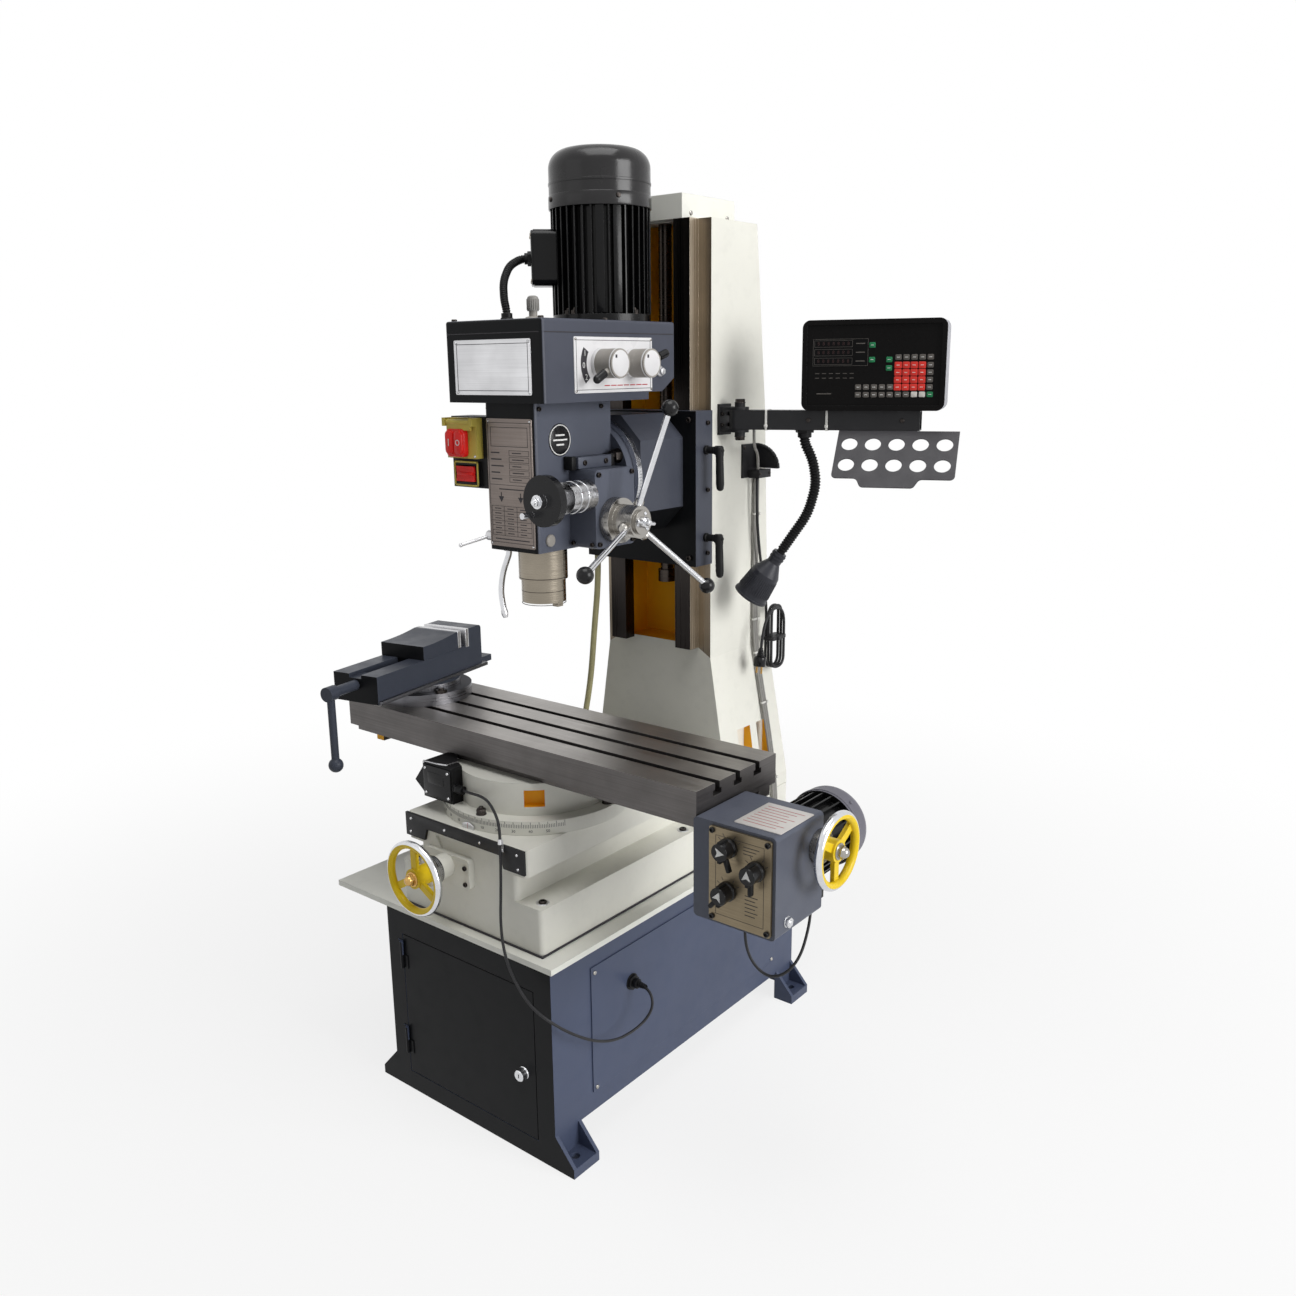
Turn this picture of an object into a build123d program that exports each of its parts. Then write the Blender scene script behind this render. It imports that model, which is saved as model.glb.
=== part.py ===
from build123d import *
import os
from math import cos, pi, radians, sin, tan

os.makedirs("parts", exist_ok=True)

# Millimetres. X to the right, Y to the back, Z up.
# The origin is on the floor, in the middle of the four foot bolts.

# Clearances
slide_gap = 0.3
running_fit = 0.05
hand_gap = 0.4

# Cabinet
cabinet_half_width = 235.0
cabinet_half_depth = 429.0
cabinet_height = 428.0
sheet = 3.0
side_skirt_height = 67.0
foot_reach = 47.0
foot_length = 73.0
foot_thick = 20.0
foot_rib_height = 52.0
foot_rib_thick = 8.0
floor_bolt_radius = 9.0
floor_bolt_x = 255.0
floor_bolt_y = 395.0
shelf_thick = 3.0

# Cabinet door
door_half_width = 188.0
door_bottom = 45.0
door_height = 320.0
door_thick = 3.0
door_gap = 2.0
hinge_radius = 4.0
hinge_pin_radius = 2.0
hinge_length = 30.0
hinge_low = 45.0
hinge_high = 245.0
leaf_thick = 2.0
leaf_width = 14.0
knob_radius = 11.0
knob_reach = 16.0
knob_inset = 30.0
knob_height = 137.0

# Side cover
cover_thick = 2.5
cover_front = 318.0
cover_back = 345.0
cover_bottom = 110.0
cover_height = 272.0
cover_lap = 16.0
gland_y = -195.0
gland_z = 299.0
gland_nut_radius = 13.0
gland_nut_length = 7.0
gland_cap_radius = 9.0
gland_cap_length = 11.0

# Chip tray
tray_left = 392.0
tray_right = 242.0
tray_front = 433.0
tray_back = 462.0
tray_thick = 3.0
tray_skirt = 12.0

# Base casting
base_front = 409.0
base_back = 455.0
base_half_width = 198.0
base_lower_height = 96.0
way_block_half_width = 135.0
way_block_height = 57.0
way_block_back = 176.0
y_way_half_width = 83.0
y_way_height = 24.0
dovetail_lean = 14.0
base_round = 10.0
channel_half_width = 25.0
channel_depth = 49.0
channel_front_wall = 26.0

# Front handwheel and Y screw
y_axis_x = -45.0
y_screw_radius = 12.0
y_screw_back = 130.0
bracket_half_width = 65.0
bracket_thick = 14.0
bracket_height = 64.0
bracket_boss_radius = 24.0
bracket_boss_reach = 30.0
front_wheel_radius = 76.0
front_rim_radius = 8.0
front_hub_radius = 20.0
front_hub_length = 34.0
front_dial_radius = 29.0
front_dial_length = 17.0
wheel_spoke_width = 15.0
wheel_spoke_thick = 8.0
spoke_count = 3
y_axis_drop = 24.0

# Saddle
saddle_half_width = 167.0
saddle_length = 412.0
saddle_thick = 32.0
saddle_front = 413.0
nut_half_width = 17.0
nut_length = 50.0
nut_below_axis = 18.0

# Turntable
turn_y = -207.0
ring_radius = 191.0
ring_thick = 28.0
drum_radius = 160.0
drum_height = 66.0
spigot_radius = 40.0
spigot_depth = 20.0
x_way_half_width = 70.0
x_way_height = 18.0
x_way_half_length = 150.0
x_screw_drop = 21.0
pocket_width = 40.0
pocket_height = 34.0
pocket_depth = 16.0
pocket_angle = -47.6

# Limit switch on the turntable
switch_left = 148.0
switch_right = 62.0
switch_front = 382.0
switch_back = 314.0
switch_height = 74.0
switch_hood_reach = 26.0

# Table
table_left = 445.0
table_right = 500.0
table_half_depth = 125.0
table_thick = 57.4
table_rail_half_width = 105.0
tee_pitch = 63.0
tee_width = 14.0
tee_head_width = 25.0
tee_head_height = 10.0
tee_neck_depth = 13.0
end_block_length = 24.0
end_block_half_depth = 38.0
end_block_below_screw = 24.0
end_block_below_top = 26.0

# Feed gearbox, its motor and handwheel
feed_length = 166.0
feed_front = 340.0
feed_back = 190.0
feed_bottom = 587.0
feed_top = 770.0
feed_wall = 9.0
feed_round = 8.0
plate_thick = 5.0
plate_inset_left = 36.0
plate_inset = 6.0
feed_motor_x = 585.0
feed_motor_z = 672.0
feed_motor_radius = 60.0
feed_fin_radius = 71.0
feed_motor_length = 142.0
feed_cowl_radius = 73.0
feed_cowl_length = 48.0
feed_cowl_round = 22.0
feed_fin_count = 24
feed_box_x = 640.0
feed_box_half = 15.0
feed_box_bottom = 598.0
feed_box_height = 52.0
feed_box_depth = 26.0
fin_thick = 3.0
side_wheel_radius = 70.0
side_rim_radius = 8.0
side_hub_radius = 20.0
side_hub_length = 25.0
side_dial_radius = 30.0
side_dial_length = 12.0
x_screw_radius = 12.0
feed_knob_radius = 15.0
feed_knob_length = 30.0
feed_knob_spindle = 5.0
feed_knob_places = [(577.0, 734.0), (632.0, 707.0), (575.0, 655.0)]

# Vise
vise_x = -338.0
vise_y = -208.0
vise_turn = 10.7
vise_base_radius = 104.0
vise_base_height = 25.0
vise_pivot_radius = 24.0
vise_pivot_height = 9.0
vise_disc_radius = 80.0
vise_disc_height = 13.0
bed_half_width = 57.5
bed_front = 216.0
bed_back = 139.0
bed_height = 59.0
guide_half_width = 16.0
guide_depth = 37.0
front_guide_depth = 8.0
nut_block_length = 46.0
jaw_height = 38.0
jaw_front_height = 30.0
jaw_ramp_length = 112.0
jaw_ramp_sag = 2.5
fixed_jaw_round = 8.0
fixed_jaw_face = 82.0
jaw_opening = 18.0
moving_jaw_length = 130.0
lug_half_width = 44.0
lug_reach = 194.0
lug_height = 14.0
lug_slot_half_width = 9.0
vise_screw_radius = 10.7
vise_screw_drop = 22.0
vise_spigot_radius = 8.0
vise_spigot_length = 28.0
crank_place = 289.0
crank_hub_radius = 15.0
crank_hub_length = 24.0
crank_rod_radius = 8.0
crank_length = 150.0
crank_ball_radius = 15.0

# Column
column_half_width = 146.0
column_front = 203.0
column_top = 1804.0
column_back_top = 371.0
column_back_mid = 412.0
column_mid = 1413.0
column_back_low = 452.0
column_foot_half_width = 196.0
column_foot_height = 30.0
flare_top = 880.0
column_wall = 14.0
way_inner = 71.0
way_outer = 113.0
way_front = 173.0
way_bottom = 900.0
recess_floor = way_bottom + 6.0
recess_half_width = 85.0
recess_back = 270.0
bolt_pocket_width = 52.0
bolt_pocket_bottom = 572.0
bolt_pocket_height = 128.0
bolt_pocket_inner = 158.0
bolt_pocket_ys = [296.0, 374.0]
cap_half_width = 92.0
cap_front = 175.0
cap_back = 363.0
cap_height = 49.0
cap_wall = 4.0
cap_bar_half = 24.0
cap_bar_thick = 14.0

# Lift screw
lift_y = 237.0
lift_radius = 14.0
lift_journal = 11.0
lift_end_bottom = 1035.0
lift_end_height = 27.0
lift_end_radius = 20.0

# Carriage
carriage_half_width = 152.0
carriage_front = 141.0
carriage_back = 200.0
carriage_bottom = 1094.0
carriage_top = 1420.0
keeper_half_width = 82.0
keeper_thick = 12.0
keeper_margin = 16.0
lift_nut_half_width = 30.0
lift_nut_back = 258.0
lift_nut_height = 80.0
swivel_z = 1294.0
neck_half_width = 118.0
neck_half_height = 122.0
neck_corner = 50.0
ring_face = 12.0
swivel_ring_radius = 122.0
head_spigot_radius = 40.0
head_spigot_length = 40.0
stud_radius = 6.0
stud_z_upper = 1339.0
stud_z_lower = 1154.0
stud_y = 176.0
stud_reach = 38.0
clamp_hub_radius = 11.0
clamp_hub_length = 34.0
clamp_rod_radius = 7.0
clamp_grip_radius = 8.5
clamp_drop = 76.0
clamp_splay = 2.0

# Head
head_half_width = 66.0
head_front = 249.0
head_back = 30.0
head_bottom = 1165.0
head_top = 1447.5
head_flange_radius = 110.0
head_round = 9.0
spindle_y = -168.0
gearbox_half_width = 126.5
gearbox_front = 284.0
gearbox_back = 105.0
gearbox_height = 125.5
gearbox_wall = 8.0
gearbox_round = 7.0
lid_height = 24.0
belly_step_y = 22.0
belly_step = 14.5
belly_slope_y = 61.0
belly_slope_rise = 43.5

# Drive motor
motor_y = 27.0
motor_radius = 86.0
motor_fin_radius = 99.0
motor_flange_height = 15.0
motor_frame_height = 222.0
motor_cowl_height = 90.0
motor_cowl_radius = 101.0
motor_cowl_round = 36.0
motor_fin_count = 36
stator_bore = 58.0
terminal_reach = 135.0
terminal_half_width = 37.0
terminal_round = 14.0
terminal_bottom = 1668.0
terminal_height = 107.0
terminal_angle = 225.0
rotor_radius = 55.0
rotor_bottom_gap = 45.0
rotor_length = 150.0
motor_shaft_radius = 15.0

# Gear train
gear_module = 3.0
pinion_teeth = 20
idler_teeth = 35
spindle_teeth = 40
idler_shaft_radius = 12.0
pinion_face = 45.0
spindle_gear_face = 20.0
gear_top_gap = 8.0
tooth_share = 0.42
tooth_tip_share = 0.20
tooth_root_share = 0.58
addendum_share = 0.8
dedendum_share = 1.15

# Quill and spindle
quill_radius = 49.0
quill_bottom = 1102.0
quill_top = 1400.0
spindle_radius = 30.0
nose_radius = 44.5
nose_bottom = 1056.0
upper_shaft_radius = 16.0
drawbar_radius = 8.5
taper_mouth_radius = 22.2
taper_depth = 65.0
taper_ratio = 7.0 / 48.0
key_width = 15.0
key_height = 8.0
key_inner = 30.0
rack_module = 2.5
rack_teeth = 16
rack_grooves_below = 2
rack_grooves_above = 12

# Quill feed
capstan_y = -104.0
capstan_z = 1221.0
capstan_shaft_radius = 15.0
pinion_half_face = 16.0
pinion_bore_radius = 23.0
capstan_tail = 60.0
housing_right = 133.0
housing_front = 157.0
housing_back = 40.0
housing_top = 1320.0
housing_bottom = 1168.0
housing_round = 10.0
dial_radius = 44.0
dial_length = 22.0
hub_radius = 31.5
hub_length = 46.0
hub_face_radius = 24.0
hub_face_length = 6.0
lever_count = 3
lever_radius = 6.0
lever_root_x = 186.0
lever_ball_x = 240.0
lever_reach = 218.0
lever_ball_radius = 16.0
lever_phase = 11.5
fine_x = 112.0
fine_z = 1272.0
fine_wheel_y = -274.0
fine_wheel_radius = 48.0
fine_wheel_thick = 16.0
fine_dial_radius = 30.0
fine_dial_length = 66.0
fine_shaft_radius = 9.0
fine_worm_radius = 15.0
fine_worm_length = 60.0
fine_chamber_radius = 17.0
fine_handle_radius = 6.0
fine_handle_length = 26.0
fine_handle_reach = 38.0

# Speed knobs on the gearbox side
speed_knob_radius = 27.0
speed_knob_length = 50.0
speed_spindle_radius = 6.0
speed_lever_length = 60.0
speed_lever_radius = 5.0
speed_grip_radius = 8.0
speed_knob_z = 1517.0
speed_knob_ys = [-128.0, -34.0]
speed_lever_angles = [208.0, 18.0]

# Switch box on the head's left side
box_left = 165.0
box_front = 246.0
box_back = 190.0
box_bottom = 1282.0
box_top = 1420.0
upper_frame_reach = 16.0
upper_frame = (-160.0, -76.0)
upper_frame_z = (1340.0, 1418.0)
lower_frame_reach = 7.0
lower_frame = (-152.0, -84.0)
lower_frame_z = (1285.0, 1334.0)
frame_lip = 8.0
flap_thick = 12.0
flap_gap = 0.8
flap_pin_radius = 2.5
rocker_depth = 14.0
rocker_half_angle = 8.0

# Quill lock lever
lock_x = -66.0
lock_y = -232.0
lock_z = 1188.0
lock_hub_radius = 10.0
lock_hub_length = 18.0
lock_pin_radius = 6.0
lock_pin_depth = 14.0
lock_rod_radius = 3.2
lock_tip_radius = 4.2
lock_reach = 62.0

# Coolant nozzle
nozzle_radius = 6.0
nozzle_bore = 4.0

# Readout arm
arm_x = 190.0
arm_y = 247.0
arm_turn = 20.0
arm_size = 40.0
arm_wall = 3.0
arm_tail = 22.0
arm_length = 375.0
arm_bottom = 1379.5
arm_plug = 44.0
pivot_pin_radius = 6.0
lug_thick = 6.0
lug_half_depth = 19.0
bracket_plate_thick = 7.0
bracket_plate_half_depth = 21.0
pivot_head_radius = 11.0
pivot_head_height = 9.0

# Readout box
readout_start = 137.0
readout_end = 422.0
readout_height = 178.0
readout_front = 34.0
readout_back = 42.0
readout_round = 16.0
readout_wall = 4.0
panel_inset = 10.0
panel_depth = 5.0

# Tool tray under the readout
shelf_start = 214.0
shelf_end = 454.0
shelf_slant = 123.0
shelf_sheet = 2.0
shelf_slope = 45.0
shelf_hole_radius = 16.0
shelf_hole_pitch = 47.0
shelf_hole_row = 54.0
shelf_hole_columns = 5
shelf_flange = 26.0
shelf_round = 10.0
shelf_tab_start = 274.0
shelf_tab_end = 377.0
shelf_tab_drop = 22.0
shelf_tab_slope = 10.0

# Lamp
neck_tube_radius = 9.0
neck_rib_radius = 11.0
neck_bore_radius = 6.0
neck_rib_pitch = 6.0
lamp_start = (139.0, 1379.5)
lamp_bends = [(139.0, 1354.0), (158.0, 1316.0), (166.0, 1268.0), (150.0, 1205.0), (118.0, 1158.0)]
lamp_end = (92.0, 1119.0)
shade_length = 118.0
shade_collar_radius = 15.0
shade_collar_length = 26.0
shade_shoulder_radius = 31.0
shade_shoulder_place = 54.0
shade_mouth_radius = 38.0
shade_wall = 2.5

# Cord bracket on the column's right side
hook_front = 318.0
hook_back = 378.0
hook_bottom = 1268.0
hook_top = 1342.0
hook_thick = 4.0
hook_arm_reach = 56.0
hook_arm_thick = 6.0
cord_clamp_reach = 30.0
cord_clamp_height = 18.0
cord_clamp_front = 338.0
cord_clamp_back = 386.0

# Motor conduit
conduit_radius = 6.8
conduit_rib_radius = 8.0
conduit_bore_radius = 5.0
conduit_pitch = 4.5

# Cords and hose
switch_cord_radius = 2.8
feed_cord_radius = 2.6
hose_radius = 7.0
scale_cord_radius = 3.0
readout_cord_radius = 3.2
power_cord_radius = 3.25
hank_loops = 3
hank_pitch = 8.2
hank_top = 968.0
hank_bottom = 822.0
hank_upper_half = 15.0
hank_lower_half = 25.0
hank_bend_share = 0.95
plug_radius = 14.0
plug_length = 42.0

# Heights that follow from the sizes above
tray_top = cabinet_height + tray_thick
base_step = tray_top + base_lower_height
land_z = base_step + way_block_height
y_way_top = land_z + y_way_height
saddle_bottom = land_z + slide_gap
saddle_top = y_way_top + saddle_thick
y_axis_z = land_z - y_axis_drop
ring_bottom = saddle_top + slide_gap
ring_top = ring_bottom + ring_thick
drum_top = ring_top + drum_height
x_way_top = drum_top + x_way_height
rail_bottom = drum_top + slide_gap
table_bottom = x_way_top + slide_gap
table_top = table_bottom + table_thick
x_axis_z = drum_top - x_screw_drop
vise_floor = table_top + vise_base_height
bed_bottom = vise_floor + slide_gap + vise_disc_height
bed_top = bed_bottom + bed_height
vise_screw_z = bed_top - vise_screw_drop
gearbox_top = head_top + gearbox_height
lid_top = gearbox_top + lid_height
column_bottom = base_step
arm_top = arm_bottom + arm_size
pinion_radius = gear_module * pinion_teeth / 2
idler_radius = gear_module * idler_teeth / 2
idler_y = motor_y - pinion_radius - idler_radius
gear_top = gearbox_top - gear_top_gap
feed_right = table_right + feed_length


# Helpers used inside the part blocks
def block(x_span, y_span, z_span, mode=Mode.ADD, plane=Plane.XY):
    """Box between the two ends of each span, in a plane's own axes."""
    middle_x = (x_span[0] + x_span[1]) / 2
    middle_y = (y_span[0] + y_span[1]) / 2
    middle_z = (z_span[0] + z_span[1]) / 2
    with Locations(plane.location * Location((middle_x, middle_y, middle_z))):
        Box(x_span[1] - x_span[0], y_span[1] - y_span[0], z_span[1] - z_span[0], mode=mode)


def rod(start, end, radius, mode=Mode.ADD):
    """Round bar between two points."""
    run = Vector(*end) - Vector(*start)
    with BuildSketch(Plane(origin=start, z_dir=run)) as section:
        Circle(radius)
    extrude(section.sketch, amount=run.length, mode=mode)


def ball(centre, radius, mode=Mode.ADD):
    """Ball at a point."""
    with Locations(centre):
        Sphere(radius, mode=mode)


def slab(points, plane, amount, mode=Mode.ADD, both=False):
    """Flat outline drawn on a plane and pushed out along its normal."""
    with BuildSketch(plane) as section:
        with BuildLine():
            Polyline(*points, close=True)
        make_face()
    extrude(section.sketch, amount=amount, mode=mode, both=both)


def turned(profile, plane, mode=Mode.ADD):
    """Outline of (radius, height) points turned about a plane's normal."""
    side = Plane(origin=plane.origin, x_dir=plane.x_dir, z_dir=-plane.y_dir)
    with BuildSketch(side) as section:
        with BuildLine():
            Polyline(*profile, close=True)
        make_face()
    revolve(section.sketch, axis=Axis(plane.origin, plane.z_dir), mode=mode)


def tooth_outline(teeth, module, first_tooth):
    """Corner points of a gear: one tooth centred on the first_tooth angle."""
    pitch_radius = module * teeth / 2
    pitch = pi * module
    flank = [
        (pitch_radius - dedendum_share * module, tooth_root_share),
        (pitch_radius, tooth_share),
        (pitch_radius + addendum_share * module, tooth_tip_share),
    ]
    points = []
    for tooth in range(teeth):
        middle = radians(first_tooth) + 2 * pi * tooth / teeth
        for radius, share in flank:
            angle = middle - share * pitch / 2 / radius
            points.append((radius * cos(angle), radius * sin(angle)))
        for radius, share in reversed(flank):
            angle = middle + share * pitch / 2 / radius
            points.append((radius * cos(angle), radius * sin(angle)))
    return points


def wheel(plane, outer_radius, rim_radius, hub_radius_used, hub_length_used, first_spoke):
    """Handwheel about a plane's normal: rim, hub and flat spokes; the rim is centred on the plane."""
    rim_centre = outer_radius - rim_radius
    with BuildSketch(Plane(origin=plane.origin, x_dir=plane.x_dir, z_dir=-plane.y_dir)) as rim:
        with Locations((rim_centre, 0)):
            Circle(rim_radius)
    revolve(rim.sketch, axis=Axis(plane.origin, plane.z_dir))
    with BuildSketch(plane.offset(-hub_length_used)) as hub:
        Circle(hub_radius_used)
    extrude(hub.sketch, amount=hub_length_used + rim_radius / 2)
    for spoke in range(spoke_count):
        turn = first_spoke + 360 * spoke / spoke_count
        spoke_plane = Plane(plane.location * Location((0, 0, 0), (0, 0, turn)))
        across = (-wheel_spoke_width / 2, wheel_spoke_width / 2)
        block((0, rim_centre), across, (-wheel_spoke_thick, 0), plane=spoke_plane)


def bend_radii(points):
    """Bend radius at each inner point: a share of the shorter run beside it."""
    radii = []
    for before, here, after in zip(points, points[1:], points[2:]):
        run_in = Vector(*here) - Vector(*before)
        run_out = Vector(*after) - Vector(*here)
        half_turn = radians(run_in.get_angle(run_out)) / 2
        radii.append(0.45 * min(run_in.length, run_out.length) / tan(half_turn))
    return radii


def cord(name, points, radius):
    """Cord of straight runs and round bends; prints its bends and its volume against the plain sum."""
    radii = bend_radii(points)
    with BuildLine() as route:
        FilletPolyline(*points, radius=radii)
    path = route.wires()[0]
    with BuildSketch(Plane(origin=path @ 0, z_dir=path % 0)) as section:
        Circle(radius)
    made = sweep(section.sketch, path=path)
    plain = pi * radius ** 2 * path.length
    print(name, "least bend radius", round(min(radii), 1), "length", round(path.length, 1))
    print(name, "volume share", round(made.volume / plain, 4))


def ribbed(name, points, radii, pitch, steady):
    """Ribbed hose with its bore, along straight runs and round bends; each rib is drawn by four circles."""
    tube_radius, rib_radius, bore_radius = radii
    with BuildLine() as route:
        FilletPolyline(*points, radius=bend_radii(points))
    path = route.wires()[0]
    rib_count = int(path.length / pitch) - 2
    start = (path.length - rib_count * pitch) / 2
    stations = [(0.0, tube_radius)]
    for rib in range(rib_count):
        at = start + rib * pitch
        stations.append((at + 0.10 * pitch, tube_radius))
        stations.append((at + 0.30 * pitch, rib_radius))
        stations.append((at + 0.70 * pitch, rib_radius))
        stations.append((at + 0.90 * pitch, tube_radius))
    stations.append((path.length, tube_radius))
    outside = []
    inside = []
    for distance, radius in stations:
        share = distance / path.length
        station_plane = Plane(origin=path @ share, x_dir=steady, z_dir=path % share)
        with BuildSketch(station_plane) as outer_ring:
            Circle(radius)
        outside.append(outer_ring.sketch)
        with BuildSketch(station_plane) as inner_ring:
            Circle(bore_radius)
        inside.append(inner_ring.sketch)
    loft(sections=outside, ruled=True)
    loft(sections=inside, ruled=True, mode=Mode.SUBTRACT)
    print(name, "ribs", rib_count, "length", round(path.length, 1))


# Cabinet: folded sheet shell with corner feet, a shelf and hinge knuckles
hinge_x = -door_half_width - door_gap / 2
hinge_y = -cabinet_half_depth - hinge_radius - 0.2
hinge_starts = [door_bottom + hinge_low, door_bottom + hinge_high]
door_top = door_bottom + door_height
inner_x = cabinet_half_width - sheet
inner_y = cabinet_half_depth - sheet
with BuildPart() as cabinet:
    cabinet_x = (-cabinet_half_width, cabinet_half_width)
    block(cabinet_x, (-cabinet_half_depth, cabinet_half_depth), (0, cabinet_height))
    block((-inner_x, inner_x), (-inner_y, inner_y), (-sheet, cabinet_height - sheet), mode=Mode.SUBTRACT)
    foot_inner = cabinet_half_depth - foot_length
    side_reach = cabinet_half_width + sheet
    arch_z = (-sheet, side_skirt_height)
    block((-side_reach, side_reach), (-foot_inner, foot_inner), arch_z, mode=Mode.SUBTRACT)
    block((-inner_x, inner_x), (-inner_y, inner_y), (side_skirt_height, side_skirt_height + shelf_thick))
    opening = door_half_width + door_gap
    front_cut = (-cabinet_half_depth - sheet, -inner_y + sheet)
    block((-opening, opening), front_cut, (door_bottom - door_gap, door_top + door_gap), mode=Mode.SUBTRACT)
    side_cut = (inner_x - sheet, cabinet_half_width + sheet)
    cover_opening = (-cover_front + cover_lap, cover_back - cover_lap)
    cover_rise = (cover_bottom + cover_lap, cover_bottom + cover_height - cover_lap)
    block(side_cut, cover_opening, cover_rise, mode=Mode.SUBTRACT)
    for side in (-1, 1):
        for end in (-1, 1):
            near = side * cabinet_half_width - side * sheet
            far = side * (cabinet_half_width + foot_reach)
            inner = end * foot_inner
            outer = end * cabinet_half_depth
            x_span = (min(near, far), max(near, far))
            y_span = (min(inner, outer), max(inner, outer))
            block(x_span, y_span, (0, foot_thick))
            rib = [(near, foot_thick), (far, foot_thick)]
            rib.append((side * cabinet_half_width, foot_thick + foot_rib_height))
            rib.append((near, foot_thick + foot_rib_height))
            for rib_y in (y_span[0], y_span[1] - foot_rib_thick):
                rib_plane = Plane(origin=(0, rib_y + foot_rib_thick, 0), x_dir=(1, 0, 0), z_dir=(0, -1, 0))
                slab(rib, rib_plane, foot_rib_thick)
            bolt = (side * floor_bolt_x, end * floor_bolt_y)
            rod((*bolt, -sheet), (*bolt, foot_thick + sheet), floor_bolt_radius, mode=Mode.SUBTRACT)
    for start in hinge_starts:
        knuckle = start + hinge_length + slide_gap
        rod((hinge_x, hinge_y, knuckle), (hinge_x, hinge_y, knuckle + hinge_length), hinge_radius)
        rod((hinge_x, hinge_y, start), (hinge_x, hinge_y, knuckle), hinge_pin_radius)
        leaf_y = (-cabinet_half_depth - leaf_thick, -cabinet_half_depth)
        block((hinge_x - leaf_width, hinge_x), leaf_y, (knuckle, knuckle + hinge_length))
cabinet.part.label = "cabinet"
export_step(cabinet.part, "parts/cabinet.step")

# Door: flat panel with knuckles on its left edge and a pull knob
with BuildPart() as door:
    door_y = (-cabinet_half_depth, -cabinet_half_depth + door_thick)
    block((-door_half_width, door_half_width), door_y, (door_bottom, door_top))
    for start in hinge_starts:
        leaf_y = (-cabinet_half_depth - leaf_thick, -cabinet_half_depth)
        block((hinge_x, hinge_x + leaf_width), leaf_y, (start, start + hinge_length))
        rod((hinge_x, hinge_y, start), (hinge_x, hinge_y, start + hinge_length), hinge_radius)
        pin_hole = hinge_pin_radius + running_fit
        pin_top = (hinge_x, hinge_y, start + hinge_length)
        rod((hinge_x, hinge_y, start - 1), pin_top, pin_hole, mode=Mode.SUBTRACT)
    knob_x = door_half_width - knob_inset
    knob_z = door_bottom + knob_height
    knob_foot = (knob_x, -cabinet_half_depth, knob_z)
    rod(knob_foot, (knob_x, -cabinet_half_depth - knob_reach, knob_z), knob_radius * 0.5)
    knob_face = (knob_x, -cabinet_half_depth - knob_reach, knob_z)
    rod((knob_x, -cabinet_half_depth - knob_reach * 0.5, knob_z), knob_face, knob_radius)
door.part.label = "door"
export_step(door.part, "parts/door.step")

# Side cover with its cable gland
with BuildPart() as side_cover:
    cover_face = cabinet_half_width + cover_thick
    cover_z = (cover_bottom, cover_bottom + cover_height)
    block((cabinet_half_width, cover_face), (-cover_front, cover_back), cover_z)
    nut_face = cover_face + gland_nut_length
    gland_face = nut_face + gland_cap_length
    rod((cover_face - 1, gland_y, gland_z), (nut_face, gland_y, gland_z), gland_nut_radius)
    rod((nut_face - 1, gland_y, gland_z), (gland_face, gland_y, gland_z), gland_cap_radius)
side_cover.part.label = "side_cover"
export_step(side_cover.part, "parts/side_cover.step")

# Chip tray: flat sheet with its edges turned down over the cabinet
with BuildPart() as chip_tray:
    skirt_z = tray_top - tray_skirt
    block((-tray_left, tray_right), (-tray_front, tray_back), (skirt_z, tray_top))
    tray_inner_x = (-tray_left + tray_thick, tray_right - tray_thick)
    tray_inner_y = (-tray_front + tray_thick, tray_back - tray_thick)
    block(tray_inner_x, tray_inner_y, (skirt_z - tray_thick, cabinet_height), mode=Mode.SUBTRACT)
chip_tray.part.label = "chip_tray"
export_step(chip_tray.part, "parts/chip_tray.step")

# Base casting with the Y way on top and a channel for the Y screw
y_way = [
    (-y_way_half_width + dovetail_lean, land_z),
    (y_way_half_width - dovetail_lean, land_z),
    (y_way_half_width, y_way_top),
    (-y_way_half_width, y_way_top),
]
front_plane = Plane(origin=(0, -base_front, 0), x_dir=(1, 0, 0), z_dir=(0, -1, 0))
channel = (y_axis_x - channel_half_width, y_axis_x + channel_half_width)
with BuildPart() as base_casting:
    block((-base_half_width, base_half_width), (-base_front, base_back), (tray_top, base_step))
    block((-way_block_half_width, way_block_half_width), (-base_front, way_block_back), (base_step, land_z))
    fillet(base_casting.edges().filter_by(Axis.Z), base_round)
    slab(y_way, front_plane, -(base_front + way_block_back))
    channel_floor = land_z - channel_depth
    channel_y = (-base_front + channel_front_wall, way_block_back + 1)
    block(channel, channel_y, (channel_floor, y_way_top + 1), mode=Mode.SUBTRACT)
    screw_hole = y_screw_radius + slide_gap
    hole_start = (y_axis_x, -base_front - 1, y_axis_z)
    hole_end = (y_axis_x, -base_front + channel_front_wall + 1, y_axis_z)
    rod(hole_start, hole_end, screw_hole, mode=Mode.SUBTRACT)
base_casting.part.label = "base_casting"
export_step(base_casting.part, "parts/base_casting.step")

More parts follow.
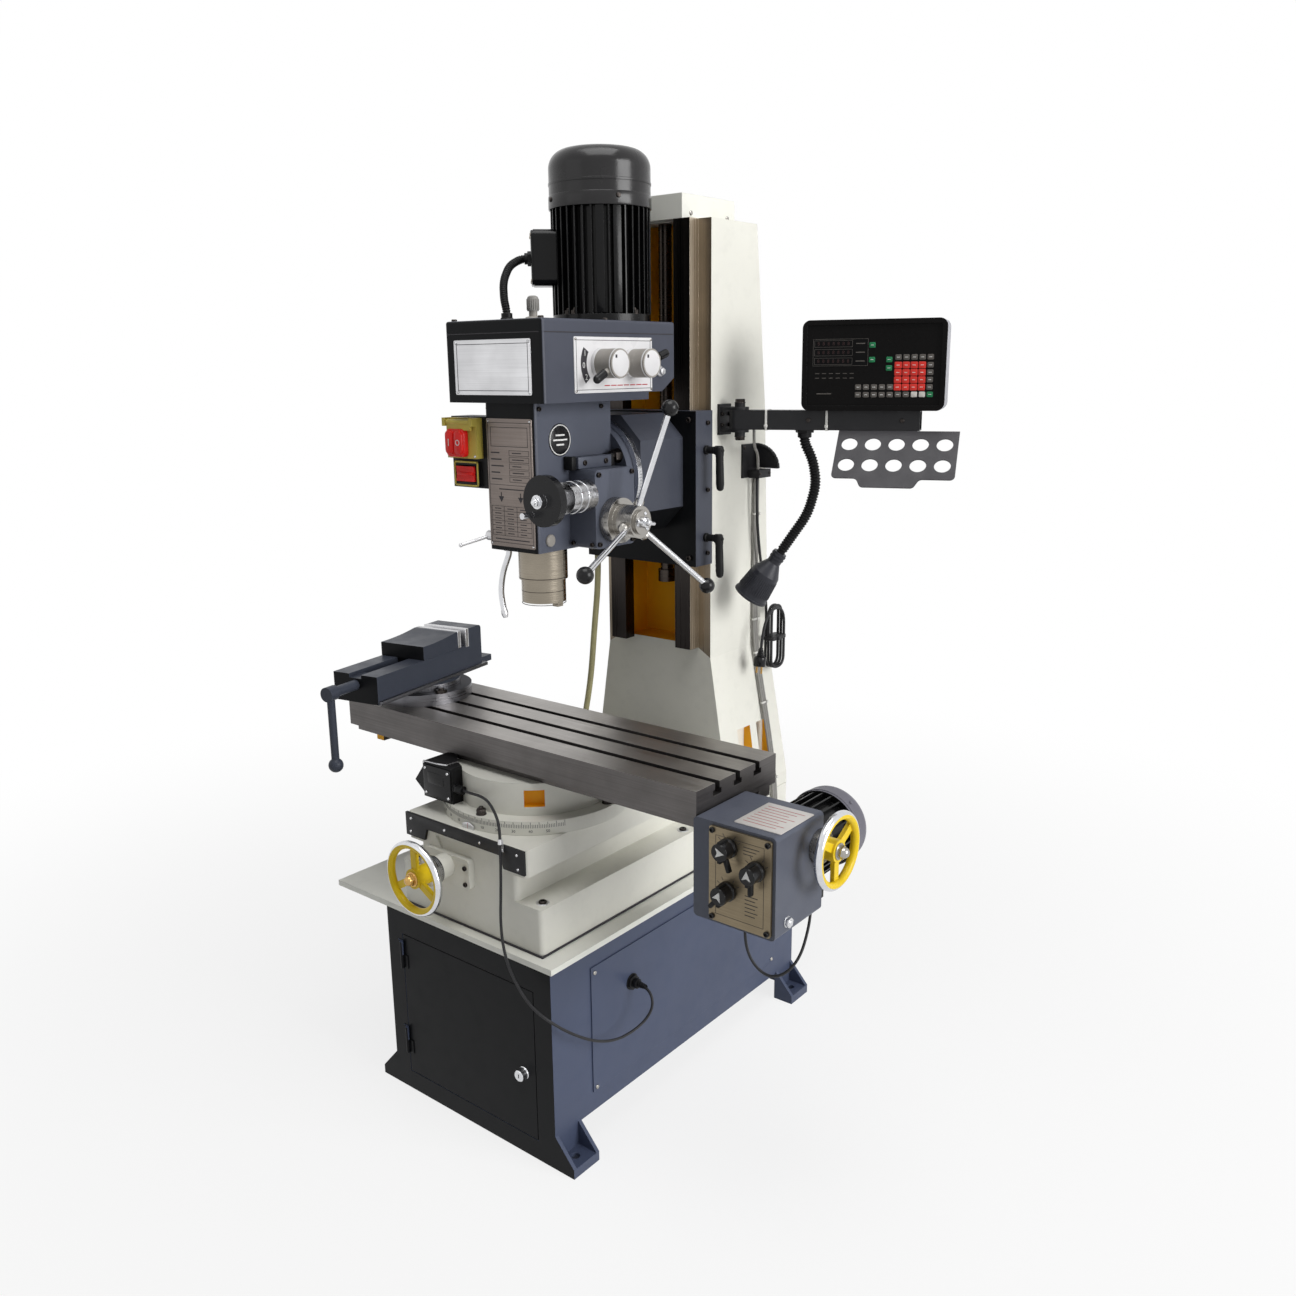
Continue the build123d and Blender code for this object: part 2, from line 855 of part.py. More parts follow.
# Bearing bracket for the Y screw
bracket_face = -base_front - bracket_thick
boss_face = bracket_face - bracket_boss_reach
with BuildPart() as y_bracket:
    bracket_x = (y_axis_x - bracket_half_width, y_axis_x + bracket_half_width)
    bracket_z = (land_z - bracket_height, land_z)
    block(bracket_x, (bracket_face, -base_front), bracket_z)
    fillet(y_bracket.edges().filter_by(Axis.Y), base_round)
    rod((y_axis_x, bracket_face + 1, y_axis_z), (y_axis_x, boss_face, y_axis_z), bracket_boss_radius)
    bore = y_screw_radius + running_fit
    rod((y_axis_x, boss_face - 1, y_axis_z), (y_axis_x, -base_front + 1, y_axis_z), bore, mode=Mode.SUBTRACT)
y_bracket.part.label = "y_bracket"
export_step(y_bracket.part, "parts/y_bracket.step")

# Front handwheel with its dial, and the Y screw it is keyed to
dial_back = boss_face - slide_gap
front_wheel_y = dial_back - front_dial_length - front_hub_length
front_wheel_plane = Plane(origin=(y_axis_x, front_wheel_y, y_axis_z), x_dir=(1, 0, 0), z_dir=(0, -1, 0))
with BuildPart() as front_handwheel:
    wheel(front_wheel_plane, front_wheel_radius, front_rim_radius, front_hub_radius, front_hub_length, 90)
    dial_front = (y_axis_x, dial_back - front_dial_length, y_axis_z)
    rod((y_axis_x, dial_back, y_axis_z), dial_front, front_dial_radius)
    rod(dial_front, (y_axis_x, dial_back, y_axis_z), y_screw_radius)
    rod((y_axis_x, dial_back, y_axis_z), (y_axis_x, y_screw_back, y_axis_z), y_screw_radius)
front_handwheel.part.label = "front_handwheel"
export_step(front_handwheel.part, "parts/front_handwheel.step")

# Saddle: runs on the Y way and carries the Y nut
saddle_back = -saddle_front + saddle_length
way_mouth = y_way_half_width - dovetail_lean + slide_gap * 1.4
way_crown = y_way_half_width + slide_gap * 1.4
saddle_slot = [
    (-way_mouth, saddle_bottom - slide_gap * 2),
    (way_mouth, saddle_bottom - slide_gap * 2),
    (way_crown, y_way_top + slide_gap),
    (-way_crown, y_way_top + slide_gap),
]
with BuildPart() as saddle:
    block((-saddle_half_width, saddle_half_width), (-saddle_front, saddle_back), (saddle_bottom, saddle_top))
    fillet(saddle.edges().filter_by(Axis.Z), base_round)
    slot_plane = Plane(origin=(0, -saddle_front - 1, 0), x_dir=(1, 0, 0), z_dir=(0, -1, 0))
    slab(saddle_slot, slot_plane, -(saddle_length + 2), mode=Mode.SUBTRACT)
    nut_x = (y_axis_x - nut_half_width, y_axis_x + nut_half_width)
    nut_y = (turn_y - nut_length / 2, turn_y + nut_length / 2)
    block(nut_x, nut_y, (y_axis_z - nut_below_axis, y_way_top + slide_gap + 1))
    nut_hole = y_screw_radius + slide_gap
    nut_start = (y_axis_x, nut_y[0] - 1, y_axis_z)
    rod(nut_start, (y_axis_x, nut_y[1] + 1, y_axis_z), nut_hole, mode=Mode.SUBTRACT)
    spigot_floor = saddle_top - spigot_depth - slide_gap
    spigot_hole = spigot_radius + running_fit
    rod((0, turn_y, spigot_floor), (0, turn_y, saddle_top + 1), spigot_hole, mode=Mode.SUBTRACT)
saddle.part.label = "saddle"
export_step(saddle.part, "parts/saddle.step")

# Turntable: graduated ring, drum, X way on top
x_way = [
    (-x_way_half_width + dovetail_lean * 0.75, drum_top),
    (x_way_half_width - dovetail_lean * 0.75, drum_top),
    (x_way_half_width, x_way_top),
    (-x_way_half_width, x_way_top),
]
x_side_plane = Plane(origin=(0, turn_y, 0), x_dir=(0, 1, 0), z_dir=(1, 0, 0))
with BuildPart() as turntable:
    rod((0, turn_y, ring_bottom), (0, turn_y, ring_top), ring_radius)
    rod((0, turn_y, ring_top - 1), (0, turn_y, drum_top), drum_radius)
    rod((0, turn_y, saddle_top - spigot_depth), (0, turn_y, ring_bottom + 1), spigot_radius)
    slab(x_way, x_side_plane, x_way_half_length, both=True)
    x_hole = x_screw_radius + slide_gap
    x_hole_end = drum_radius + 1
    rod((-x_hole_end, turn_y, x_axis_z), (x_hole_end, turn_y, x_axis_z), x_hole, mode=Mode.SUBTRACT)
    pocket_x = cos(radians(pocket_angle))
    pocket_y = sin(radians(pocket_angle))
    pocket_plane = Plane(origin=(0, turn_y, 0), x_dir=(pocket_x, pocket_y, 0), z_dir=(0, 0, 1))
    pocket_span = (drum_radius - pocket_depth, drum_radius + 5)
    pocket_z = (drum_top - 14 - pocket_height, drum_top - 14)
    pocket_across = (-pocket_width / 2, pocket_width / 2)
    block(pocket_span, pocket_across, pocket_z, mode=Mode.SUBTRACT, plane=pocket_plane)
turntable.part.label = "turntable"
export_step(turntable.part, "parts/turntable.step")

# Limit switch on the front of the drum, with a pointed hood on its left end
with BuildPart() as limit_switch:
    switch_z = (ring_top, ring_top + switch_height)
    block((-switch_left, -switch_right), (-switch_front, -switch_back), switch_z)
    hood_mid = ring_top + switch_height * 0.4
    hood = [
        (-switch_left, ring_top + switch_height * 0.12),
        (-switch_left - switch_hood_reach, hood_mid),
        (-switch_left, ring_top + switch_height * 0.85),
    ]
    hood_plane = Plane(origin=(0, -switch_front, 0), x_dir=(1, 0, 0), z_dir=(0, -1, 0))
    slab(hood, hood_plane, -(switch_front - switch_back))
    switch_gland_x = -switch_right
    switch_gland_y = -switch_front + 10
    switch_gland_z = ring_top + switch_height * 0.42
    gland_start = (switch_gland_x - 1, switch_gland_y, switch_gland_z)
    gland_end = (switch_gland_x + 20, switch_gland_y, switch_gland_z)
    rod(gland_start, gland_end, gland_cap_radius)
    rod((0, turn_y, ring_top - 1), (0, turn_y, drum_top + switch_height), drum_radius, mode=Mode.SUBTRACT)
limit_switch.part.label = "limit_switch"
export_step(limit_switch.part, "parts/limit_switch.step")

# Table with three T-slots, rails around the X way, and the left end block
rail_mouth = x_way_half_width - dovetail_lean * 0.75 + slide_gap * 1.6
rail_crown = x_way_half_width + slide_gap * 1.6
table_slot = [
    (-rail_mouth, rail_bottom - 1),
    (rail_mouth, rail_bottom - 1),
    (rail_crown, table_bottom),
    (-rail_crown, table_bottom),
]
with BuildPart() as table:
    table_y = (turn_y - table_half_depth, turn_y + table_half_depth)
    block((-table_left, table_right), table_y, (table_bottom, table_top))
    rail_y = (turn_y - table_rail_half_width, turn_y + table_rail_half_width)
    block((-table_left, table_right), rail_y, (rail_bottom, table_bottom))
    slot_start = Plane(origin=(-table_left - 1, turn_y, 0), x_dir=(0, 1, 0), z_dir=(1, 0, 0))
    table_span = table_left + table_right + 2
    slab(table_slot, slot_start, table_span, mode=Mode.SUBTRACT)
    for row in (-1, 0, 1):
        slot_y = turn_y + row * tee_pitch
        neck_y = (slot_y - tee_width / 2, slot_y + tee_width / 2)
        head_y = (slot_y - tee_head_width / 2, slot_y + tee_head_width / 2)
        full_x = (-table_left - 1, table_right + 1)
        neck_floor = table_top - tee_neck_depth
        block(full_x, neck_y, (neck_floor - 1, table_top + 1), mode=Mode.SUBTRACT)
        block(full_x, head_y, (neck_floor - tee_head_height, neck_floor), mode=Mode.SUBTRACT)
    end_x = (-table_left - end_block_length, -table_left)
    end_y = (turn_y - end_block_half_depth, turn_y + end_block_half_depth)
    block(end_x, end_y, (x_axis_z - end_block_below_screw, table_top - end_block_below_top))
    end_hole = x_screw_radius + running_fit
    end_start = (end_x[0] - 1, turn_y, x_axis_z)
    rod(end_start, (end_x[1] + 1, turn_y, x_axis_z), end_hole, mode=Mode.SUBTRACT)
table.part.label = "table"
export_step(table.part, "parts/table.step")

# Feed gearbox: hollow casting on the right end of the table, open at the front
feed_x = (table_right, feed_right)
feed_hollow_x = (table_right + plate_inset_left + feed_wall, feed_right - feed_wall - plate_inset)
with BuildPart() as feed_gearbox:
    block(feed_x, (-feed_front, -feed_back), (feed_bottom, feed_top))
    fillet(feed_gearbox.edges().filter_by(Axis.Y), feed_round)
    hollow_y = (-feed_front - 1, -feed_back - feed_wall)
    hollow_z = (feed_bottom + feed_wall * 2, feed_top - feed_wall * 2)
    block(feed_hollow_x, hollow_y, hollow_z, mode=Mode.SUBTRACT)
    feed_hole = x_screw_radius + running_fit
    feed_start = (table_right - 1, turn_y, x_axis_z)
    rod(feed_start, (feed_right + 1, turn_y, x_axis_z), feed_hole, mode=Mode.SUBTRACT)
feed_gearbox.part.label = "feed_gearbox"
export_step(feed_gearbox.part, "parts/feed_gearbox.step")

# Face plate of the feed gearbox, with a hole for each knob spindle
with BuildPart() as feed_plate:
    plate_x = (table_right + plate_inset_left, feed_right - plate_inset)
    plate_z = (feed_bottom + plate_inset, feed_top - plate_inset)
    block(plate_x, (-feed_front - plate_thick, -feed_front), plate_z)
    fillet(feed_plate.edges().filter_by(Axis.Y), feed_round * 0.6)
    for knob_x, knob_z in feed_knob_places:
        plate_hole = feed_knob_spindle + running_fit
        hole_start = (knob_x, -feed_front - plate_thick - 1, knob_z)
        rod(hole_start, (knob_x, -feed_front + 1, knob_z), plate_hole, mode=Mode.SUBTRACT)
feed_plate.part.label = "feed_plate"
export_step(feed_plate.part, "parts/feed_plate.step")

# Three turning knobs on the face plate
for number, (knob_x, knob_z) in enumerate(feed_knob_places, start=1):
    with BuildPart() as feed_knob:
        knob_back = -feed_front - plate_thick - slide_gap
        knob_front = knob_back - feed_knob_length
        rod((knob_x, knob_back, knob_z), (knob_x, knob_front, knob_z), feed_knob_radius)
        rod((knob_x, knob_back, knob_z), (knob_x, -feed_front + 6, knob_z), feed_knob_spindle)
        rib_x = (knob_x - 3, knob_x + 3)
        rib_z = (knob_z - feed_knob_radius * 1.25, knob_z + feed_knob_radius * 1.25)
        block(rib_x, (knob_front, knob_front + feed_knob_length * 0.7), rib_z)
    feed_knob.part.label = f"feed_knob_{number}"
    export_step(feed_knob.part, f"parts/feed_knob_{number}.step")

# Feed motor: finned frame and smooth cowl behind the feed gearbox
feed_motor_plane = Plane(origin=(feed_motor_x, -feed_back, feed_motor_z), x_dir=(1, 0, 0), z_dir=(0, 1, 0))
feed_cowl_back = feed_motor_length + feed_cowl_length
with BuildPart() as feed_motor:
    frame_end = feed_motor_length
    feed_profile = [
        (0, 0),
        (feed_fin_radius, 0),
        (feed_fin_radius, 10),
        (feed_motor_radius, 12),
        (feed_motor_radius, frame_end - 6),
        (feed_cowl_radius, frame_end - 4),
        (feed_cowl_radius, feed_cowl_back),
        (0, feed_cowl_back),
    ]
    turned(feed_profile, feed_motor_plane)
    feed_cowl_edge = feed_motor.edges().filter_by(GeomType.CIRCLE).group_by(Axis.Y)[-1]
    fillet(feed_cowl_edge, radius=feed_cowl_round)
    for fin in range(feed_fin_count):
        fin_plane = Plane(feed_motor_plane.location * Location((0, 0, 0), (0, 0, 360 * fin / feed_fin_count)))
        fin_across = (-fin_thick / 2, fin_thick / 2)
        block((feed_motor_radius - 4, feed_fin_radius), fin_across, (9, frame_end - 3), plane=fin_plane)
    box_span = (feed_box_x - feed_box_half, feed_box_x + feed_box_half)
    box_rise = (feed_box_bottom, feed_box_bottom + feed_box_height)
    block(box_span, (-feed_back, -feed_back + feed_box_depth), box_rise)
feed_motor.part.label = "feed_motor"
export_step(feed_motor.part, "parts/feed_motor.step")

# Right handwheel with its dial, and the X screw it is keyed to
side_dial_left = feed_right + slide_gap
side_wheel_x = side_dial_left + side_dial_length + side_hub_length
side_wheel_plane = Plane(origin=(side_wheel_x, turn_y, x_axis_z), x_dir=(0, 1, 0), z_dir=(1, 0, 0))
with BuildPart() as side_handwheel:
    wheel(side_wheel_plane, side_wheel_radius, side_rim_radius, side_hub_radius, side_hub_length, 30)
    dial_end = (side_dial_left + side_dial_length, turn_y, x_axis_z)
    rod((side_dial_left, turn_y, x_axis_z), dial_end, side_dial_radius)
    screw_left = (-table_left - end_block_length + 4, turn_y, x_axis_z)
    rod(screw_left, (side_dial_left + 1, turn_y, x_axis_z), x_screw_radius)
side_handwheel.part.label = "side_handwheel"
export_step(side_handwheel.part, "parts/side_handwheel.step")

# Vise swivel base, bolted to the table
vise_plane = Plane(Location((vise_x, vise_y, 0), (0, 0, vise_turn)))
with BuildPart() as vise_base:
    rod((vise_x, vise_y, table_top), (vise_x, vise_y, vise_floor), vise_base_radius)
    rod((vise_x, vise_y, vise_floor), (vise_x, vise_y, vise_floor + vise_pivot_height), vise_pivot_radius)
vise_base.part.label = "vise_base"
export_step(vise_base.part, "parts/vise_base.step")

# Vise body: turning disc, bed with guide channel, nut block, fixed jaw and rear lug
nut_block_back = -bed_front + nut_block_length
vise_width = (-bed_half_width, bed_half_width)
with BuildPart() as vise_body:
    disc_bottom = vise_floor + slide_gap
    rod((vise_x, vise_y, disc_bottom), (vise_x, vise_y, bed_bottom + 1), vise_disc_radius)
    block(vise_width, (-bed_front, bed_back), (bed_bottom, bed_top), plane=vise_plane)
    block(vise_width, (fixed_jaw_face, bed_back), (bed_top - 20, bed_top + jaw_height), plane=vise_plane)
    jaw_edge = vise_plane.from_local_coords(Vector(0, bed_back, bed_top + jaw_height))
    across_vise = Axis(jaw_edge, vise_plane.x_dir)
    fillet(vise_body.edges().filter_by(across_vise).sort_by_distance(jaw_edge)[:1], fixed_jaw_round)
    lug_y = (bed_back - 1, lug_reach)
    block((-lug_half_width, lug_half_width), lug_y, (bed_bottom, bed_bottom + lug_height), plane=vise_plane)
    lug_slot = (-lug_slot_half_width, lug_slot_half_width)
    lug_slot_y = (lug_reach - 24, lug_reach + 1)
    lug_slot_z = (bed_bottom - 1, bed_bottom + lug_height + 1)
    block(lug_slot, lug_slot_y, lug_slot_z, mode=Mode.SUBTRACT, plane=vise_plane)
    guide_x = (-guide_half_width, guide_half_width)
    guide_y = (nut_block_back, fixed_jaw_face)
    block(guide_x, guide_y, (bed_top - guide_depth, bed_top + 1), mode=Mode.SUBTRACT, plane=vise_plane)
    front_y = (-bed_front - 1, nut_block_back + 1)
    block(guide_x, front_y, (bed_top - front_guide_depth, bed_top + 1), mode=Mode.SUBTRACT, plane=vise_plane)
    pivot_hole = vise_pivot_radius + running_fit
    pivot_top = vise_floor + vise_pivot_height + slide_gap
    rod((vise_x, vise_y, disc_bottom - 1), (vise_x, vise_y, pivot_top), pivot_hole, mode=Mode.SUBTRACT)
    nut_front = vise_plane.from_local_coords(Vector(0, -bed_front - 1, vise_screw_z))
    nut_rear = vise_plane.from_local_coords(Vector(0, nut_block_back + 1, vise_screw_z))
    rod(nut_front, nut_rear, vise_screw_radius + slide_gap, mode=Mode.SUBTRACT)
vise_body.part.label = "vise_body"
export_step(vise_body.part, "parts/vise_body.step")

# Moving jaw with a hollow ramp on top and its guide tongue
jaw_face = fixed_jaw_face - jaw_opening
jaw_back = jaw_face - moving_jaw_length
tongue_front = jaw_back + 3
with BuildPart() as vise_jaw:
    jaw_bottom = bed_top + slide_gap
    block(vise_width, (jaw_back, jaw_face), (jaw_bottom, bed_top + jaw_height), plane=vise_plane)
    ramp_low = (jaw_back, bed_top + jaw_front_height)
    ramp_high = (jaw_back + jaw_ramp_length, bed_top + jaw_height)
    ramp_mid = ((ramp_low[0] + ramp_high[0]) / 2, (ramp_low[1] + ramp_high[1]) / 2 - jaw_ramp_sag)
    with BuildSketch(Plane(origin=vise_plane.origin, x_dir=vise_plane.y_dir, z_dir=vise_plane.x_dir)):
        with BuildLine():
            ThreePointArc(ramp_low, ramp_mid, ramp_high)
            Polyline(ramp_high, (ramp_low[0], ramp_high[1]), ramp_low)
        make_face()
    extrude(amount=bed_half_width, both=True, mode=Mode.SUBTRACT)
    tongue_x = (-guide_half_width + slide_gap, guide_half_width - slide_gap)
    tongue_y = (tongue_front, jaw_face - 6)
    block(tongue_x, tongue_y, (bed_top - guide_depth + slide_gap, jaw_bottom + 1), plane=vise_plane)
    socket_front = vise_plane.from_local_coords(Vector(0, tongue_front - 1, vise_screw_z))
    socket_end = tongue_front + vise_spigot_length + slide_gap
    socket_back = vise_plane.from_local_coords(Vector(0, socket_end, vise_screw_z))
    socket_hole = vise_spigot_radius + running_fit
    rod(socket_front, socket_back, socket_hole, mode=Mode.SUBTRACT)
vise_jaw.part.label = "vise_jaw"
export_step(vise_jaw.part, "parts/vise_jaw.step")


# Vise screw with its crank hanging down
def vise_point(along, rise):
    """Point over the vise's centre line: distance along the bed and height over the screw axis."""
    return vise_plane.from_local_coords(Vector(0, along, vise_screw_z + rise))


with BuildPart() as vise_screw:
    screw_end = tongue_front - slide_gap
    rod(vise_point(-crank_place, 0), vise_point(screw_end, 0), vise_screw_radius)
    rod(vise_point(screw_end, 0), vise_point(tongue_front + vise_spigot_length, 0), vise_spigot_radius)
    hub_start = -crank_place - crank_hub_length / 2
    rod(vise_point(hub_start, 0), vise_point(hub_start + crank_hub_length, 0), crank_hub_radius)
    rod(vise_point(-crank_place, 0), vise_point(-crank_place, -crank_length), crank_rod_radius)
    ball(vise_point(-crank_place, -crank_length), crank_ball_radius)
vise_screw.part.label = "vise_screw"
export_step(vise_screw.part, "parts/vise_screw.step")

# Column: flared foot, tapered back, two ways in front and a recess for the lift screw
column_outline = [
    (column_foot_half_width, column_bottom),
    (column_foot_half_width, column_bottom + column_foot_height),
    (column_half_width, flare_top),
    (column_half_width, column_top),
    (-column_half_width, column_top),
    (-column_half_width, flare_top),
    (-column_foot_half_width, column_bottom + column_foot_height),
    (-column_foot_half_width, column_bottom),
]
column_side = [
    (column_front, column_bottom),
    (column_back_low, column_bottom),
    (column_back_mid, column_mid),
    (column_back_top, column_top),
    (column_front, column_top),
]
with BuildPart() as column:
    outline_plane = Plane(origin=(0, column_front, 0), x_dir=(1, 0, 0), z_dir=(0, -1, 0))
    slab(column_outline, outline_plane, -(column_back_low - column_front))
    side_plane = Plane(origin=(0, 0, 0), x_dir=(0, 1, 0), z_dir=(1, 0, 0))
    slab(column_side, side_plane, column_foot_half_width + 1, both=True, mode=Mode.INTERSECT)
    for side in (-1, 1):
        inner = side * way_inner
        outer = side * way_outer
        block((min(inner, outer), max(inner, outer)), (way_front, column_front + 1), (way_bottom, column_top))
    recess_x = (-recess_half_width, recess_half_width)
    block(recess_x, (column_front, recess_back), (recess_floor, column_top + 1), mode=Mode.SUBTRACT)
    mouth_x = (-way_inner, way_inner)
    block(mouth_x, (way_front - 1, recess_back), (recess_floor, column_top + 1), mode=Mode.SUBTRACT)
    hollow_x = (-column_half_width + column_wall, column_half_width - column_wall)
    hollow_y = (recess_back + column_wall, column_back_top - column_wall)
    hollow_z = (column_bottom - 1, column_top - column_wall)
    block(hollow_x, hollow_y, hollow_z, mode=Mode.SUBTRACT)
    for side in (-1, 1):
        for pocket_mid in bolt_pocket_ys:
            near = side * bolt_pocket_inner
            far = side * (column_foot_half_width + 1)
            pocket_span_x = (min(near, far), max(near, far))
            pocket_span_y = (pocket_mid - bolt_pocket_width / 2, pocket_mid + bolt_pocket_width / 2)
            pocket_span_z = (bolt_pocket_bottom, bolt_pocket_bottom + bolt_pocket_height)
            block(pocket_span_x, pocket_span_y, pocket_span_z, mode=Mode.SUBTRACT)
column.part.label = "column"
export_step(column.part, "parts/column.step")

# Cover on top of the column, with the bar that holds the lift screw's upper end
cap_top = column_top + cap_height
with BuildPart() as column_cap:
    block((-cap_half_width, cap_half_width), (cap_front, cap_back), (column_top, cap_top))
    cap_inner_x = (-cap_half_width + cap_wall, cap_half_width - cap_wall)
    cap_inner_y = (cap_front + cap_wall, cap_back - cap_wall)
    block(cap_inner_x, cap_inner_y, (column_top - 1, cap_top - cap_wall), mode=Mode.SUBTRACT)
    bar_y = (lift_y - cap_bar_half, lift_y + cap_bar_half)
    block((-cap_half_width + 1, cap_half_width - 1), bar_y, (column_top, column_top + cap_bar_thick))
    bar_hole = lift_journal + running_fit
    bar_start = (0, lift_y, column_top - 1)
    rod(bar_start, (0, lift_y, column_top + cap_bar_thick + 1), bar_hole, mode=Mode.SUBTRACT)
column_cap.part.label = "column_cap"
export_step(column_cap.part, "parts/column_cap.step")

# Lift screw, hung from the cap's bar into the column's recess, with a stop collar on its lower end
with BuildPart() as lift_screw:
    collar_top = (0, lift_y, lift_end_bottom + lift_end_height)
    rod((0, lift_y, lift_end_bottom), collar_top, lift_end_radius)
    rod(collar_top, (0, lift_y, column_top - slide_gap), lift_radius)
    rod((0, lift_y, column_top - slide_gap), (0, lift_y, column_top + cap_bar_thick + 6), lift_journal)
lift_screw.part.label = "lift_screw"
export_step(lift_screw.part, "parts/lift_screw.step")

# Carriage: slab on the ways with keepers and lift nut behind, neck towards the head, swivel face, clamp studs
neck = [
    (-neck_half_width, -neck_half_height + neck_corner),
    (-neck_half_width + neck_corner, -neck_half_height),
    (neck_half_width - neck_corner, -neck_half_height),
    (neck_half_width, -neck_half_height + neck_corner),
    (neck_half_width, neck_half_height - neck_corner),
    (neck_half_width - neck_corner, neck_half_height),
    (-neck_half_width + neck_corner, neck_half_height),
    (-neck_half_width, neck_half_height - neck_corner),
]
carriage_z = (carriage_bottom, carriage_top)
with BuildPart() as carriage:
    block((-carriage_half_width, carriage_half_width), (carriage_front, carriage_back), carriage_z)
    for side in (-1, 1):
        near = side * (way_inner - slide_gap)
        far = side * (way_outer + slide_gap)
        way_span = (min(near, far), max(near, far))
        way_depth = (way_front - slide_gap, carriage_back + 1)
        block(way_span, way_depth, (carriage_bottom - 1, carriage_top + 1), mode=Mode.SUBTRACT)
    tongue = way_inner - slide_gap
    block((-tongue, tongue), (carriage_back - 1, column_front + slide_gap), carriage_z)
    neck_plane = Plane(origin=(0, carriage_front + 1, swivel_z), x_dir=(1, 0, 0), z_dir=(0, -1, 0))
    slab(neck, neck_plane, carriage_front + 1)
    rod((0, 1, swivel_z), (0, -ring_face, swivel_z), swivel_ring_radius)
    bore_end = head_spigot_length + slide_gap
    bore_radius = head_spigot_radius + running_fit
    rod((0, -ring_face - 1, swivel_z), (0, bore_end, swivel_z), bore_radius, mode=Mode.SUBTRACT)
    for stud_z in (stud_z_upper, stud_z_lower):
        stud_start = (carriage_half_width - 1, stud_y, stud_z)
        rod(stud_start, (carriage_half_width + stud_reach, stud_y, stud_z), stud_radius)
    keeper_front = column_front + slide_gap
    keeper_z = (carriage_bottom + keeper_margin, carriage_top - keeper_margin)
    block((-keeper_half_width, keeper_half_width), (keeper_front, keeper_front + keeper_thick), keeper_z)
    nut_x = (-lift_nut_half_width, lift_nut_half_width)
    nut_z = (swivel_z - lift_nut_height / 2, swivel_z + lift_nut_height / 2)
    block(nut_x, (keeper_front, lift_nut_back), nut_z)
    lift_hole = lift_radius + slide_gap
    rod((0, lift_y, nut_z[0] - 1), (0, lift_y, nut_z[1] + 1), lift_hole, mode=Mode.SUBTRACT)
    clear_hole = lift_radius + 4
    rod((0, lift_y, keeper_z[0] - 1), (0, lift_y, nut_z[0]), clear_hole, mode=Mode.SUBTRACT)
    rod((0, lift_y, nut_z[1]), (0, lift_y, keeper_z[1] + 1), clear_hole, mode=Mode.SUBTRACT)
carriage.part.label = "carriage"
export_step(carriage.part, "parts/carriage.step")

# Clamp levers on the carriage's right side
for name, stud_z in (("clamp_lever_upper", stud_z_upper), ("clamp_lever_lower", stud_z_lower)):
    with BuildPart() as clamp_lever:
        hub_left = carriage_half_width + hand_gap
        hub_right = hub_left + clamp_hub_length
        rod((hub_left, stud_y, stud_z), (hub_right + 6, stud_y, stud_z), clamp_hub_radius)
        tip = (hub_right + clamp_splay, stud_y, stud_z - clamp_drop)
        knee = (hub_right - 4, stud_y, stud_z)
        rod(knee, tip, clamp_rod_radius)
        ball(tip, clamp_grip_radius)
        stud_hole = stud_radius + running_fit
        stud_end = carriage_half_width + stud_reach + slide_gap
        rod((hub_left - 1, stud_y, stud_z), (stud_end, stud_y, stud_z), stud_hole, mode=Mode.SUBTRACT)
    clamp_lever.part.label = name
    export_step(clamp_lever.part, f"parts/{name}.step")

# Head body: quill housing with a round flange and a spigot at the back
flange_face = -ring_face - slide_gap
with BuildPart() as head_body:
    head_x = (-head_half_width, head_half_width)
    block(head_x, (-head_front, -head_back), (head_bottom, head_top))
    fillet(head_body.edges().filter_by(Axis.Z).sort_by(Axis.Y)[:2], head_round)
    rod((0, -head_back - 1, swivel_z), (0, flange_face, swivel_z), head_flange_radius)
    rod((0, flange_face - 1, swivel_z), (0, head_spigot_length, swivel_z), head_spigot_radius)
    quill_hole = quill_radius + running_fit
    rod((0, spindle_y, head_bottom - 1), (0, spindle_y, head_top + 1), quill_hole, mode=Mode.SUBTRACT)
    cross_left = (-head_half_width + 24, capstan_y, capstan_z)
    cross_right = (head_half_width + 1, capstan_y, capstan_z)
    rod(cross_left, cross_right, pinion_bore_radius, mode=Mode.SUBTRACT)
    tail_hole = capstan_shaft_radius + running_fit
    rod((-head_half_width - 1, capstan_y, capstan_z), cross_left, tail_hole, mode=Mode.SUBTRACT)
    lock_hole = lock_pin_radius + running_fit
    lock_outer = (lock_x - 1, lock_y, lock_z)
    lock_inner = (lock_x + lock_pin_depth + slide_gap, lock_y, lock_z)
    rod(lock_outer, lock_inner, lock_hole, mode=Mode.SUBTRACT)
head_body.part.label = "head_body"
export_step(head_body.part, "parts/head_body.step")

# Gearbox housing: open box with a stepped belly at the back
belly = [
    (-gearbox_front, head_top),
    (belly_step_y, head_top),
    (belly_step_y, head_top + belly_step),
    (belly_slope_y, head_top + belly_step),
    (gearbox_back, head_top + belly_slope_rise),
    (gearbox_back, gearbox_top),
    (-gearbox_front, gearbox_top),
]
belly_inside = [
    (-gearbox_front + gearbox_wall, head_top + gearbox_wall),
    (belly_step_y - gearbox_wall, head_top + gearbox_wall),
    (belly_step_y - gearbox_wall, head_top + belly_step + gearbox_wall),
    (belly_slope_y - gearbox_wall * 0.3, head_top + belly_step + gearbox_wall),
    (gearbox_back - gearbox_wall, head_top + belly_slope_rise + gearbox_wall * 0.6),
    (gearbox_back - gearbox_wall, gearbox_top + 1),
    (-gearbox_front + gearbox_wall, gearbox_top + 1),
]
